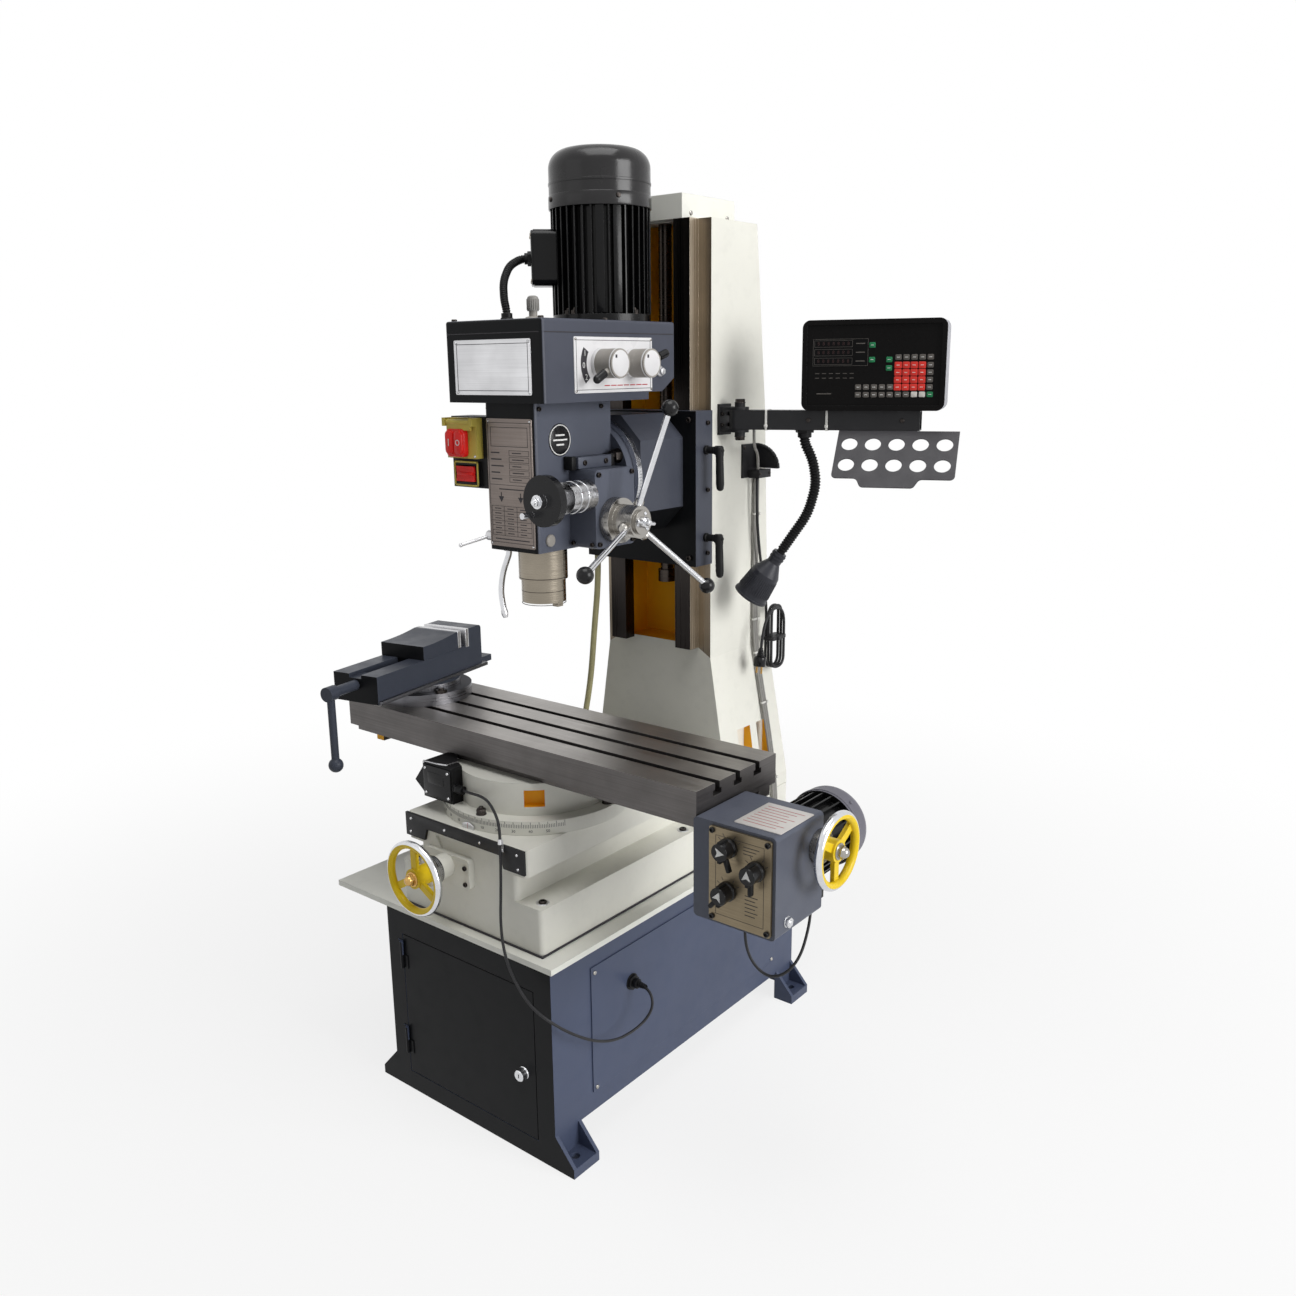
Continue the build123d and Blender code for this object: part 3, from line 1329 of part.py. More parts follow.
with BuildPart() as gearbox_housing:
    gearbox_plane = Plane(origin=(0, 0, 0), x_dir=(0, 1, 0), z_dir=(1, 0, 0))
    slab(belly, gearbox_plane, gearbox_half_width, both=True)
    fillet(gearbox_housing.edges().filter_by(Axis.Z), gearbox_round)
    slab(belly_inside, gearbox_plane, gearbox_half_width - gearbox_wall, both=True, mode=Mode.SUBTRACT)
    shaft_hole = spindle_radius
    shaft_top = (0, spindle_y, head_top + gearbox_wall + 1)
    rod((0, spindle_y, head_top - 1), shaft_top, shaft_hole, mode=Mode.SUBTRACT)
    idler_hole = idler_shaft_radius + running_fit
    rod((0, idler_y, head_top - 1), (0, idler_y, head_top + gearbox_wall + 1), idler_hole, mode=Mode.SUBTRACT)
    for knob_y in speed_knob_ys:
        knob_hole = speed_spindle_radius + running_fit
        wall_in = (gearbox_half_width - gearbox_wall - 1, knob_y, speed_knob_z)
        rod(wall_in, (gearbox_half_width + 1, knob_y, speed_knob_z), knob_hole, mode=Mode.SUBTRACT)
gearbox_housing.part.label = "gearbox_housing"
export_step(gearbox_housing.part, "parts/gearbox_housing.step")

# Gearbox lid with the motor shaft hole and the idler's upper bearing
with BuildPart() as gearbox_lid:
    lid_x = (-gearbox_half_width, gearbox_half_width)
    block(lid_x, (-gearbox_front, gearbox_back), (gearbox_top, lid_top))
    fillet(gearbox_lid.edges().filter_by(Axis.Z), gearbox_round)
    fillet(gearbox_lid.faces().sort_by(Axis.Z)[-1].edges(), gearbox_round * 0.7)
    lid_hole = motor_shaft_radius + running_fit
    rod((0, motor_y, gearbox_top - 1), (0, motor_y, lid_top + 1), lid_hole, mode=Mode.SUBTRACT)
    bearing_hole = idler_shaft_radius + running_fit
    bearing_top = (0, idler_y, gearbox_top + lid_height / 2)
    rod((0, idler_y, gearbox_top - 1), bearing_top, bearing_hole, mode=Mode.SUBTRACT)
gearbox_lid.part.label = "gearbox_lid"
export_step(gearbox_lid.part, "parts/gearbox_lid.step")

# Drive motor: flange, finned frame, fan cowl and terminal box
motor_plane = Plane(origin=(0, motor_y, lid_top), x_dir=(1, 0, 0), z_dir=(0, 0, 1))
frame_top = motor_flange_height + motor_frame_height
motor_height = frame_top + motor_cowl_height
with BuildPart() as motor:
    motor_profile = [
        (0, 0),
        (motor_fin_radius, 0),
        (motor_fin_radius, motor_flange_height),
        (motor_radius, motor_flange_height + 3),
        (motor_radius, frame_top - 3),
        (motor_cowl_radius, frame_top),
        (motor_cowl_radius, motor_height),
        (0, motor_height),
    ]
    turned(motor_profile, motor_plane)
    cowl_edge = motor.edges().filter_by(GeomType.CIRCLE).group_by(Axis.Z)[-1]
    fillet(cowl_edge, radius=motor_cowl_round)
    for fin in range(motor_fin_count):
        fin_plane = Plane(motor_plane.location * Location((0, 0, 0), (0, 0, 360 * fin / motor_fin_count)))
        fin_across = (-fin_thick / 2, fin_thick / 2)
        fin_rise = (motor_flange_height - 1, frame_top)
        block((motor_radius - 4, motor_fin_radius), fin_across, fin_rise, plane=fin_plane)
    terminal_out = Vector(cos(radians(terminal_angle)), sin(radians(terminal_angle)), 0)
    terminal_z = terminal_bottom + terminal_height / 2
    terminal_middle = Vector(0, motor_y, terminal_z) + terminal_out * terminal_reach
    terminal_side = (-terminal_out.Y, terminal_out.X, 0)
    terminal_plane = Plane(origin=terminal_middle, x_dir=terminal_side, z_dir=terminal_out)
    with BuildSketch(terminal_plane) as terminal_face:
        RectangleRounded(2 * terminal_half_width, terminal_height, terminal_round)
    extrude(terminal_face.sketch, amount=-(terminal_reach - motor_radius + 10))
    rotor_room_top = lid_top + frame_top - 10
    rotor_room_bottom = lid_top + motor_flange_height + 6
    rod((0, motor_y, rotor_room_bottom), (0, motor_y, rotor_room_top), stator_bore, mode=Mode.SUBTRACT)
    rod((0, motor_y, lid_top - 1), (0, motor_y, rotor_room_bottom + 1), lid_hole, mode=Mode.SUBTRACT)
motor.part.label = "motor"
export_step(motor.part, "parts/motor.step")

# Motor rotor with its shaft and pinion
rotor_bottom = lid_top + rotor_bottom_gap
with BuildPart() as motor_rotor:
    pinion_plane = Plane(origin=(0, motor_y, gear_top - pinion_face))
    slab(tooth_outline(pinion_teeth, gear_module, -90), pinion_plane, pinion_face)
    rod((0, motor_y, gear_top - 1), (0, motor_y, rotor_bottom + 1), motor_shaft_radius)
    rod((0, motor_y, rotor_bottom), (0, motor_y, rotor_bottom + rotor_length), rotor_radius)
motor_rotor.part.label = "motor_rotor"
export_step(motor_rotor.part, "parts/motor_rotor.step")

# Idler gear: long teeth, so that the spindle gear stays in mesh while the quill moves
idler_bottom = head_top + gearbox_wall + slide_gap
with BuildPart() as idler_gear:
    idler_plane = Plane(origin=(0, idler_y, idler_bottom))
    gap_up = 90 + 180 / idler_teeth
    slab(tooth_outline(idler_teeth, gear_module, gap_up), idler_plane, gear_top - idler_bottom)
    rod((0, idler_y, head_top + 1), (0, idler_y, idler_bottom + 1), idler_shaft_radius)
    idler_tip = gearbox_top + lid_height / 2 - slide_gap
    rod((0, idler_y, gear_top - 1), (0, idler_y, idler_tip), idler_shaft_radius)
idler_gear.part.label = "idler_gear"
export_step(idler_gear.part, "parts/idler_gear.step")

# Quill with its rack cut along the back
rack_pitch = pi * rack_module
rack_line = capstan_y - rack_module * rack_teeth / 2
rack_tip = rack_line + addendum_share * rack_module
rack_root = rack_line - dedendum_share * rack_module
with BuildPart() as quill:
    rod((0, spindle_y, quill_bottom), (0, spindle_y, quill_top), quill_radius)
    quill_bore = spindle_radius + running_fit
    rod((0, spindle_y, quill_bottom - 1), (0, spindle_y, quill_top + 1), quill_bore, mode=Mode.SUBTRACT)
    rack_low = capstan_z - (rack_grooves_below + 0.5) * rack_pitch
    rack_high = capstan_z + (rack_grooves_above + 0.5) * rack_pitch
    flat_y = (rack_tip, spindle_y + quill_radius + 1)
    block((-quill_radius, quill_radius), flat_y, (rack_low, rack_high), mode=Mode.SUBTRACT)
    for groove in range(-rack_grooves_below, rack_grooves_above + 1):
        middle = capstan_z + groove * rack_pitch
        half_root = (1 - tooth_root_share) * rack_pitch / 2
        half_tip = (1 - tooth_tip_share) * rack_pitch / 2
        groove_outline = [
            (rack_root, middle - half_root),
            (rack_tip + 1, middle - half_tip),
            (rack_tip + 1, middle + half_tip),
            (rack_root, middle + half_root),
        ]
        slab(groove_outline, gearbox_plane, quill_radius, both=True, mode=Mode.SUBTRACT)
quill.part.label = "quill"
export_step(quill.part, "parts/quill.step")

# Spindle: nose with taper socket and drive keys, shaft, gear at the top
with BuildPart() as spindle:
    spindle_plane = Plane(origin=(0, spindle_y, 0))
    nose_top = quill_bottom - slide_gap
    gear_floor = gear_top - spindle_gear_face
    taper_end_radius = taper_mouth_radius - taper_depth * taper_ratio
    spindle_profile = [
        (taper_mouth_radius, nose_bottom),
        (nose_radius, nose_bottom),
        (nose_radius, nose_top),
        (spindle_radius, nose_top),
        (spindle_radius, quill_top + 4),
        (upper_shaft_radius, quill_top + 4),
        (upper_shaft_radius, gear_floor + 1),
        (drawbar_radius, gear_floor + 1),
        (drawbar_radius, nose_bottom + taper_depth),
        (taper_end_radius, nose_bottom + taper_depth),
    ]
    turned(spindle_profile, spindle_plane)
    spindle_gear_plane = Plane(origin=(0, spindle_y, gear_floor))
    gear_gap = 90 + 180 / spindle_teeth
    slab(tooth_outline(spindle_teeth, gear_module, gear_gap), spindle_gear_plane, spindle_gear_face)
    rod((0, spindle_y, gear_floor - 1), (0, spindle_y, gear_top + 1), drawbar_radius, mode=Mode.SUBTRACT)
    for side in (-1, 1):
        key_x = (min(side * key_inner, side * nose_radius), max(side * key_inner, side * nose_radius))
        key_y = (spindle_y - key_width / 2, spindle_y + key_width / 2)
        block(key_x, key_y, (nose_bottom - key_height, nose_bottom + 1))
spindle.part.label = "spindle"
export_step(spindle.part, "parts/spindle.step")

# Feed housing on the head's right side, with room for the pinion shaft and the fine-feed worm
with BuildPart() as feed_housing:
    housing_x = (head_half_width, housing_right)
    block(housing_x, (-housing_front, -housing_back), (housing_bottom, housing_top))
    fillet(feed_housing.edges().filter_by(Axis.X), housing_round)
    shaft_left = (head_half_width - 1, capstan_y, capstan_z)
    rod(shaft_left, (housing_right + 1, capstan_y, capstan_z), pinion_bore_radius, mode=Mode.SUBTRACT)
    chamber_back = (fine_x, -housing_front + fine_worm_length + 14, fine_z)
    rod((fine_x, -housing_front - 1, fine_z), chamber_back, fine_chamber_radius, mode=Mode.SUBTRACT)
feed_housing.part.label = "feed_housing"
export_step(feed_housing.part, "parts/feed_housing.step")

# Capstan: pinion shaft, dial, hub and three ball levers
with BuildPart() as capstan:
    pinion_side = Plane(origin=(-pinion_half_face, capstan_y, capstan_z), x_dir=(0, 1, 0), z_dir=(1, 0, 0))
    slab(tooth_outline(rack_teeth, rack_module, 180), pinion_side, pinion_half_face * 2)
    dial_left = housing_right + hand_gap
    hub_left = dial_left + dial_length
    hub_right = hub_left + hub_length
    rod((-capstan_tail, capstan_y, capstan_z), (dial_left + 1, capstan_y, capstan_z), capstan_shaft_radius)
    rod((dial_left, capstan_y, capstan_z), (hub_left, capstan_y, capstan_z), dial_radius)
    rod((hub_left - 1, capstan_y, capstan_z), (hub_right, capstan_y, capstan_z), hub_radius)
    face_end = (hub_right + hub_face_length, capstan_y, capstan_z)
    rod((hub_right - 1, capstan_y, capstan_z), face_end, hub_face_radius)
    for lever in range(lever_count):
        angle = radians(lever_phase + 360 * lever / lever_count)
        out_y = sin(angle)
        out_z = cos(angle)
        root = (lever_root_x, capstan_y + 10 * out_y, capstan_z + 10 * out_z)
        tip = (lever_ball_x, capstan_y + lever_reach * out_y, capstan_z + lever_reach * out_z)
        rod(root, tip, lever_radius)
        ball(tip, lever_ball_radius)
capstan.part.label = "capstan"
export_step(capstan.part, "parts/capstan.step")

# Fine-feed wheel: wheel with handle, dial, shaft and worm blank
with BuildPart() as fine_wheel:
    wheel_half = fine_wheel_thick / 2
    wheel_front = (fine_x, fine_wheel_y - wheel_half, fine_z)
    rod((fine_x, fine_wheel_y + wheel_half, fine_z), wheel_front, fine_wheel_radius)
    rod((fine_x, fine_wheel_y, fine_z), (fine_x, fine_wheel_y - 22, fine_z), fine_shaft_radius + 4)
    dial_rear = -housing_front - hand_gap
    dial_lead = dial_rear - fine_dial_length
    rod((fine_x, dial_rear, fine_z), (fine_x, dial_lead, fine_z), fine_dial_radius)
    rod((fine_x, dial_lead, fine_z), (fine_x, fine_wheel_y, fine_z), fine_shaft_radius + 6)
    worm_start = -housing_front + 6
    rod((fine_x, dial_rear, fine_z), (fine_x, worm_start + 1, fine_z), fine_shaft_radius)
    rod((fine_x, worm_start, fine_z), (fine_x, worm_start + fine_worm_length, fine_z), fine_worm_radius)
    handle_x = fine_x - fine_handle_reach * cos(radians(45))
    handle_z = fine_z - fine_handle_reach * sin(radians(45))
    handle_tip = fine_wheel_y - wheel_half - fine_handle_length
    rod((handle_x, fine_wheel_y, handle_z), (handle_x, handle_tip, handle_z), fine_handle_radius)
fine_wheel.part.label = "fine_wheel"
export_step(fine_wheel.part, "parts/fine_wheel.step")

# Speed knobs with their lever grips
for number, (knob_y, lever_angle) in enumerate(zip(speed_knob_ys, speed_lever_angles), start=1):
    with BuildPart() as speed_knob:
        knob_left = gearbox_half_width + hand_gap
        knob_right = knob_left + speed_knob_length
        rod((knob_left, knob_y, speed_knob_z), (knob_right, knob_y, speed_knob_z), speed_knob_radius)
        spindle_end = gearbox_half_width - gearbox_wall - 4
        rod((spindle_end, knob_y, speed_knob_z), (knob_left + 1, knob_y, speed_knob_z), speed_spindle_radius)
        lever_y = cos(radians(lever_angle))
        lever_z = sin(radians(lever_angle))
        lever_x = knob_right - 12
        tip_y = knob_y + speed_lever_length * lever_y
        tip_z = speed_knob_z + speed_lever_length * lever_z
        rod((lever_x, knob_y, speed_knob_z), (lever_x, tip_y, tip_z), speed_lever_radius)
        grip_y = knob_y + speed_lever_length * 0.62 * lever_y
        grip_z = speed_knob_z + speed_lever_length * 0.62 * lever_z
        rod((lever_x, grip_y, grip_z), (lever_x, tip_y, tip_z), speed_grip_radius)
        ball((lever_x, tip_y, tip_z), speed_grip_radius)
    speed_knob.part.label = f"speed_knob_{number}"
    export_step(speed_knob.part, f"parts/speed_knob_{number}.step")

# Switch box with a raised frame for the stop flap and one for the rocker
upper_front = -box_front - upper_frame_reach
lower_front = -box_front - lower_frame_reach
flap_pin_z = upper_frame_z[1] - frame_lip
rocker_mid_z = (lower_frame_z[0] + lower_frame_z[1]) / 2
rocker_axis_y = lower_front + 2
with BuildPart() as switch_box:
    block((-box_left, -head_half_width), (-box_front, -box_back), (box_bottom, box_top))
    block(upper_frame, (upper_front, -box_front + 1), upper_frame_z)
    block(lower_frame, (lower_front, -box_front + 1), lower_frame_z)
    fillet(switch_box.edges().filter_by(Axis.Z).sort_by(Axis.X)[:2], 3)
    lower_x = (lower_frame[0] + frame_lip, lower_frame[1] - frame_lip)
    lower_z = (lower_frame_z[0] + frame_lip, lower_frame_z[1] - frame_lip)
    block(lower_x, (lower_front - 1, -box_front + rocker_depth), lower_z, mode=Mode.SUBTRACT)
    for side in (0, 1):
        ear_x = upper_frame[0] if side == 0 else upper_frame[1] - frame_lip
        ear_y = (upper_front - flap_thick, upper_front + 1)
        ear_z = (flap_pin_z - frame_lip, flap_pin_z + frame_lip)
        block((ear_x, ear_x + frame_lip), ear_y, ear_z)
    pin_y = upper_front - flap_thick / 2
    pin_start = (upper_frame[0] + 1, pin_y, flap_pin_z)
    rod(pin_start, (upper_frame[1] - 1, pin_y, flap_pin_z), flap_pin_radius)
    rocker_pin_left = (lower_x[0] - 1, rocker_axis_y, rocker_mid_z)
    rod(rocker_pin_left, (lower_x[1] + 1, rocker_axis_y, rocker_mid_z), flap_pin_radius)
switch_box.part.label = "switch_box"
export_step(switch_box.part, "parts/switch_box.step")

# Stop flap, hung on the pin at its upper edge
with BuildPart() as stop_flap:
    flap_x = (upper_frame[0] + frame_lip + flap_gap, upper_frame[1] - frame_lip - flap_gap)
    flap_y = (upper_front - flap_thick, upper_front - flap_gap)
    flap_knuckle = flap_thick / 2 - flap_gap
    block(flap_x, flap_y, (upper_frame_z[0] + 3, flap_pin_z))
    knuckle_start = (flap_x[0], pin_y, flap_pin_z)
    rod(knuckle_start, (flap_x[1], pin_y, flap_pin_z), flap_knuckle)
    pin_hole = flap_pin_radius + running_fit
    rod((flap_x[0] - 1, pin_y, flap_pin_z), (flap_x[1] + 1, pin_y, flap_pin_z), pin_hole, mode=Mode.SUBTRACT)
stop_flap.part.label = "stop_flap"
export_step(stop_flap.part, "parts/stop_flap.step")

# Rocker, tilting about the pin in the lower frame
with BuildPart() as rocker:
    rocker_x = (lower_x[0] + flap_gap, lower_x[1] - flap_gap)
    half_height = (lower_z[1] - lower_z[0]) / 2 - flap_gap * 2
    rise = half_height * tan(radians(rocker_half_angle))
    rocker_side = Plane(origin=(rocker_x[0], 0, 0), x_dir=(0, 1, 0), z_dir=(1, 0, 0))
    rocker_outline = [
        (rocker_axis_y - 5, rocker_mid_z),
        (rocker_axis_y - 5 - rise, rocker_mid_z + half_height),
        (rocker_axis_y + 4 - rise * 0.2, rocker_mid_z + half_height - 1),
        (rocker_axis_y + 6, rocker_mid_z),
        (rocker_axis_y + 4 - rise * 0.2, rocker_mid_z - half_height + 1),
        (rocker_axis_y - 5 - rise, rocker_mid_z - half_height),
    ]
    slab(rocker_outline, rocker_side, rocker_x[1] - rocker_x[0])
    hole_left = (rocker_x[0] - 1, rocker_axis_y, rocker_mid_z)
    rod(hole_left, (rocker_x[1] + 1, rocker_axis_y, rocker_mid_z), pin_hole, mode=Mode.SUBTRACT)
rocker.part.label = "rocker"
export_step(rocker.part, "parts/rocker.step")

# Quill lock lever on the head's left side
with BuildPart() as quill_lock:
    lock_face = lock_x - hand_gap
    lock_outer_x = lock_face - lock_hub_length
    rod((lock_face, lock_y, lock_z), (lock_outer_x, lock_y, lock_z), lock_hub_radius)
    rod((lock_face - 1, lock_y, lock_z), (lock_x + lock_pin_depth, lock_y, lock_z), lock_pin_radius)
    lock_knee = (lock_face - lock_hub_length * 0.6, lock_y, lock_z)
    lock_tip = (lock_outer_x - 26, lock_y - lock_reach * 0.85, lock_z - 16)
    rod(lock_knee, lock_tip, lock_rod_radius)
    ball(lock_tip, lock_tip_radius)
quill_lock.part.label = "quill_lock"
export_step(quill_lock.part, "parts/quill_lock.step")

# Coolant nozzle: bent pipe under the head's left edge
nozzle_points = [(-57, -205, head_bottom), (-57, -205, 1150), (-78, -205, 1108)]
nozzle_points += [(-86, -205, 1066), (-77, -205, 1026)]
with BuildPart() as nozzle:
    with BuildLine() as nozzle_line:
        FilletPolyline(*nozzle_points, radius=bend_radii(nozzle_points))
    nozzle_path = nozzle_line.wires()[0]
    with BuildSketch(Plane(origin=nozzle_path @ 0, z_dir=nozzle_path % 0)) as nozzle_section:
        Circle(nozzle_radius)
        Circle(nozzle_bore, mode=Mode.SUBTRACT)
    sweep(nozzle_section.sketch, path=nozzle_path)
nozzle.part.label = "nozzle"
export_step(nozzle.part, "parts/nozzle.step")

# Ribbed conduit from the terminal box down to the gearbox lid
conduit_start = terminal_middle
conduit_foot = Vector(-92, -152, lid_top)
conduit_points = [
    conduit_start,
    (conduit_start + terminal_out * 24),
    (conduit_start + Vector(-24, -44, -14)),
    (conduit_foot + Vector(-21, 14, 79)),
    (conduit_foot + Vector(-8, 2, 43)),
    (conduit_foot + Vector(0, 0, 22)),
    conduit_foot,
]
with BuildPart() as conduit:
    steady_axis = (terminal_out.Y, -terminal_out.X, 0)
    conduit_radii = (conduit_radius, conduit_rib_radius, conduit_bore_radius)
    ribbed("conduit", conduit_points, conduit_radii, conduit_pitch, steady_axis)
conduit.part.label = "conduit"
export_step(conduit.part, "parts/conduit.step")

# Brackets on the column's right side: the readout arm's pivot, and a cord bracket with a quarter-round arm
arm_plane = Plane(Location((arm_x, arm_y, 0), (0, 0, arm_turn)))
with BuildPart() as column_brackets:
    lower_z_span = (arm_bottom - slide_gap - lug_thick, arm_bottom - slide_gap)
    upper_z_span = (arm_top + slide_gap, arm_top + slide_gap + lug_thick)
    plate_face = column_half_width + bracket_plate_thick
    plate_y = (arm_y - bracket_plate_half_depth, arm_y + bracket_plate_half_depth)
    block((column_half_width, plate_face), plate_y, (lower_z_span[0] - 6, upper_z_span[1] + 6))
    for lug_span in (lower_z_span, upper_z_span):
        lug_y = (arm_y - lug_half_depth, arm_y + lug_half_depth)
        block((plate_face - 1, arm_x), lug_y, lug_span)
        rod((arm_x, arm_y, lug_span[0]), (arm_x, arm_y, lug_span[1]), lug_half_depth)
    pin_bottom = lower_z_span[0] - pivot_head_height
    pin_top = upper_z_span[1] + pivot_head_height
    rod((arm_x, arm_y, pin_bottom), (arm_x, arm_y, pin_top), pivot_pin_radius)
    rod((arm_x, arm_y, pin_bottom), (arm_x, arm_y, lower_z_span[0]), pivot_head_radius)
    rod((arm_x, arm_y, upper_z_span[1]), (arm_x, arm_y, pin_top), pivot_head_radius)
    hook_face = column_half_width + hook_thick
    block((column_half_width, hook_face), (hook_front, hook_back), (hook_bottom, hook_top))
    arm_back_plane = Plane(origin=(0, hook_back, 0), x_dir=(1, 0, 0), z_dir=(0, -1, 0))
    arc_points = [(hook_face - 1, hook_bottom + 20)]
    for step in range(7):
        arc_angle = radians(90 * step / 6)
        arc_x = hook_face + hook_arm_reach * cos(arc_angle)
        arc_points.append((arc_x, hook_bottom + 20 + hook_arm_reach * 0.9 * sin(arc_angle)))
    arc_points.append((hook_face - 1, hook_bottom + 20 + hook_arm_reach * 0.9))
    slab(arc_points, arm_back_plane, hook_arm_thick)
    clamp_z = (hook_bottom, hook_bottom + cord_clamp_height)
    block((column_half_width, hook_face + cord_clamp_reach), (cord_clamp_front, cord_clamp_back), clamp_z)
column_brackets.part.label = "column_brackets"
export_step(column_brackets.part, "parts/column_brackets.step")

# Readout arm: square tube with a solid plug at the pivot
with BuildPart() as readout_arm:
    half = arm_size / 2
    block((-arm_tail, arm_length), (-half, half), (arm_bottom, arm_top), plane=arm_plane)
    fillet(readout_arm.edges().filter_by(Axis.Z).sort_by_distance((arm_x, arm_y, arm_bottom))[:2], half - 2)
    inner_half = half - arm_wall
    bore_z = (arm_bottom + arm_wall, arm_top - arm_wall)
    block((arm_plug, arm_length + 1), (-inner_half, inner_half), bore_z, mode=Mode.SUBTRACT, plane=arm_plane)
    pin_room = pivot_pin_radius + running_fit
    rod((arm_x, arm_y, arm_bottom - 1), (arm_x, arm_y, arm_top + 1), pin_room, mode=Mode.SUBTRACT)
readout_arm.part.label = "readout_arm"
export_step(readout_arm.part, "parts/readout_arm.step")

# Readout box on the arm, with its front panel set back
with BuildPart() as readout_box:
    readout_z = (arm_top, arm_top + readout_height)
    block((readout_start, readout_end), (-readout_front, readout_back), readout_z, plane=arm_plane)
    box_back_axis = Axis((0, 0, 0), arm_plane.y_dir)
    fillet(readout_box.edges().filter_by(box_back_axis), readout_round)
    panel_x = (readout_start + panel_inset, readout_end - panel_inset)
    panel_y = (-readout_front - 1, -readout_front + panel_depth)
    panel_z = (readout_z[0] + panel_inset, readout_z[1] - panel_inset)
    block(panel_x, panel_y, panel_z, mode=Mode.SUBTRACT, plane=arm_plane)
    hollow_s = (readout_start + readout_round, readout_end - readout_round)
    hollow_n = (-readout_front + panel_depth + readout_wall, readout_back - readout_wall)
    hollow_h = (readout_z[0] + readout_round, readout_z[1] - readout_round)
    block(hollow_s, hollow_n, hollow_h, mode=Mode.SUBTRACT, plane=arm_plane)
    outlet_s = (readout_end - readout_round - 24, readout_end - readout_round - 12)
    outlet_h = (readout_z[0] + readout_round + 8, readout_z[0] + readout_round + 20)
    outlet_n = (readout_back - readout_wall - 1, readout_back + 1)
    block(outlet_s, outlet_n, outlet_h, mode=Mode.SUBTRACT, plane=arm_plane)
readout_box.part.label = "readout_box"
export_step(readout_box.part, "parts/readout_box.step")

# Tool tray: perforated sheet sloping down from the arm's lower front edge
with BuildPart() as tool_tray:
    tray_z = arm_bottom - slide_gap - shelf_sheet
    flange_n = (-arm_size / 2, -arm_size / 2 + shelf_flange)
    block((shelf_start, arm_length - 6), flange_n, (tray_z, arm_bottom), plane=arm_plane)
    slope_origin = arm_plane.from_local_coords(Vector(0, -arm_size / 2, tray_z))
    slope = radians(shelf_slope)
    slope_down = arm_plane.y_dir * -cos(slope) - arm_plane.z_dir * sin(slope)
    tray_normal = arm_plane.x_dir.cross(slope_down)
    tray_plane = Plane(origin=slope_origin, x_dir=arm_plane.x_dir, z_dir=tray_normal)
    tab_edge = shelf_slant + shelf_tab_drop
    sheet_outline = [
        (shelf_start, -1),
        (shelf_end, -1),
        (shelf_end, shelf_slant),
        (shelf_tab_end + shelf_tab_slope, shelf_slant),
        (shelf_tab_end, tab_edge),
        (shelf_tab_start, tab_edge),
        (shelf_tab_start - shelf_tab_slope, shelf_slant),
        (shelf_start, shelf_slant),
    ]
    with BuildSketch(tray_plane) as sheet:
        with BuildLine():
            Polyline(*sheet_outline, close=True)
        make_face()
        lower_corners = sheet.vertices().filter_by(lambda corner: corner.Y > 0)
        fillet(lower_corners, radius=shelf_round)
    extrude(sheet.sketch, amount=-shelf_sheet)
    shelf_middle = (shelf_start + shelf_end) / 2
    for row in (0, 1):
        for column_number in range(shelf_hole_columns):
            hole_s = shelf_middle + (column_number - (shelf_hole_columns - 1) / 2) * shelf_hole_pitch
            hole_t = shelf_slant / 2 + (row - 0.5) * shelf_hole_row
            hole_low = tray_plane.from_local_coords(Vector(hole_s, hole_t, -shelf_sheet - 1))
            hole_high = tray_plane.from_local_coords(Vector(hole_s, hole_t, 1))
            rod(hole_low, hole_high, shelf_hole_radius, mode=Mode.SUBTRACT)
tool_tray.part.label = "tool_tray"
export_step(tool_tray.part, "parts/tool_tray.step")


# Lamp: ribbed gooseneck under the arm and a bell-shaped shade
def arm_point(place):
    """Point in the arm's middle plane: distance along the arm and height."""
    return arm_plane.from_local_coords(Vector(place[0], 0, place[1]))


lamp_points = [arm_point(place) for place in [lamp_start, *lamp_bends, lamp_end]]
with BuildPart() as gooseneck:
    steady_side = arm_plane.y_dir
    neck_radii = (neck_tube_radius, neck_rib_radius, neck_bore_radius)
    ribbed("gooseneck", lamp_points, neck_radii, neck_rib_pitch, steady_side)
gooseneck.part.label = "gooseneck"
export_step(gooseneck.part, "parts/gooseneck.step")

shade_aim = Vector(*lamp_points[-1]) - Vector(*lamp_points[-2])
shade_plane = Plane(origin=lamp_points[-1], x_dir=arm_plane.y_dir, z_dir=shade_aim)
with BuildPart() as lamp_shade:
    shade_profile = [
        (0, 0),
        (shade_collar_radius, 0),
        (shade_collar_radius, shade_collar_length),
        (shade_shoulder_radius, shade_shoulder_place),
        (shade_mouth_radius, shade_length),
        (shade_mouth_radius - shade_wall, shade_length),
        (shade_shoulder_radius - shade_wall, shade_shoulder_place + shade_wall / 2),
        (shade_collar_radius - shade_wall, shade_collar_length + 4),
        (0, shade_collar_length + 4),
    ]
    turned(shade_profile, shade_plane)
lamp_shade.part.label = "lamp_shade"
export_step(lamp_shade.part, "parts/lamp_shade.step")

# Switch cable: from the limit switch to a clip on the saddle's front, then to the gland on the cabinet
clip_point = (112, -424, 649)
switch_upper_points = [
    gland_end,
    (switch_gland_x + 46, switch_gland_y, switch_gland_z),
    (18, -378, 703),
    (52, -392, 704),
    (86, -409, 696),
    (108, -420, 679),
    clip_point,
]
with BuildPart() as switch_cable_upper:
    cord("switch_cable_upper", switch_upper_points, switch_cord_radius)
switch_cable_upper.part.label = "switch_cable_upper"
export_step(switch_cable_upper.part, "parts/switch_cable_upper.step")

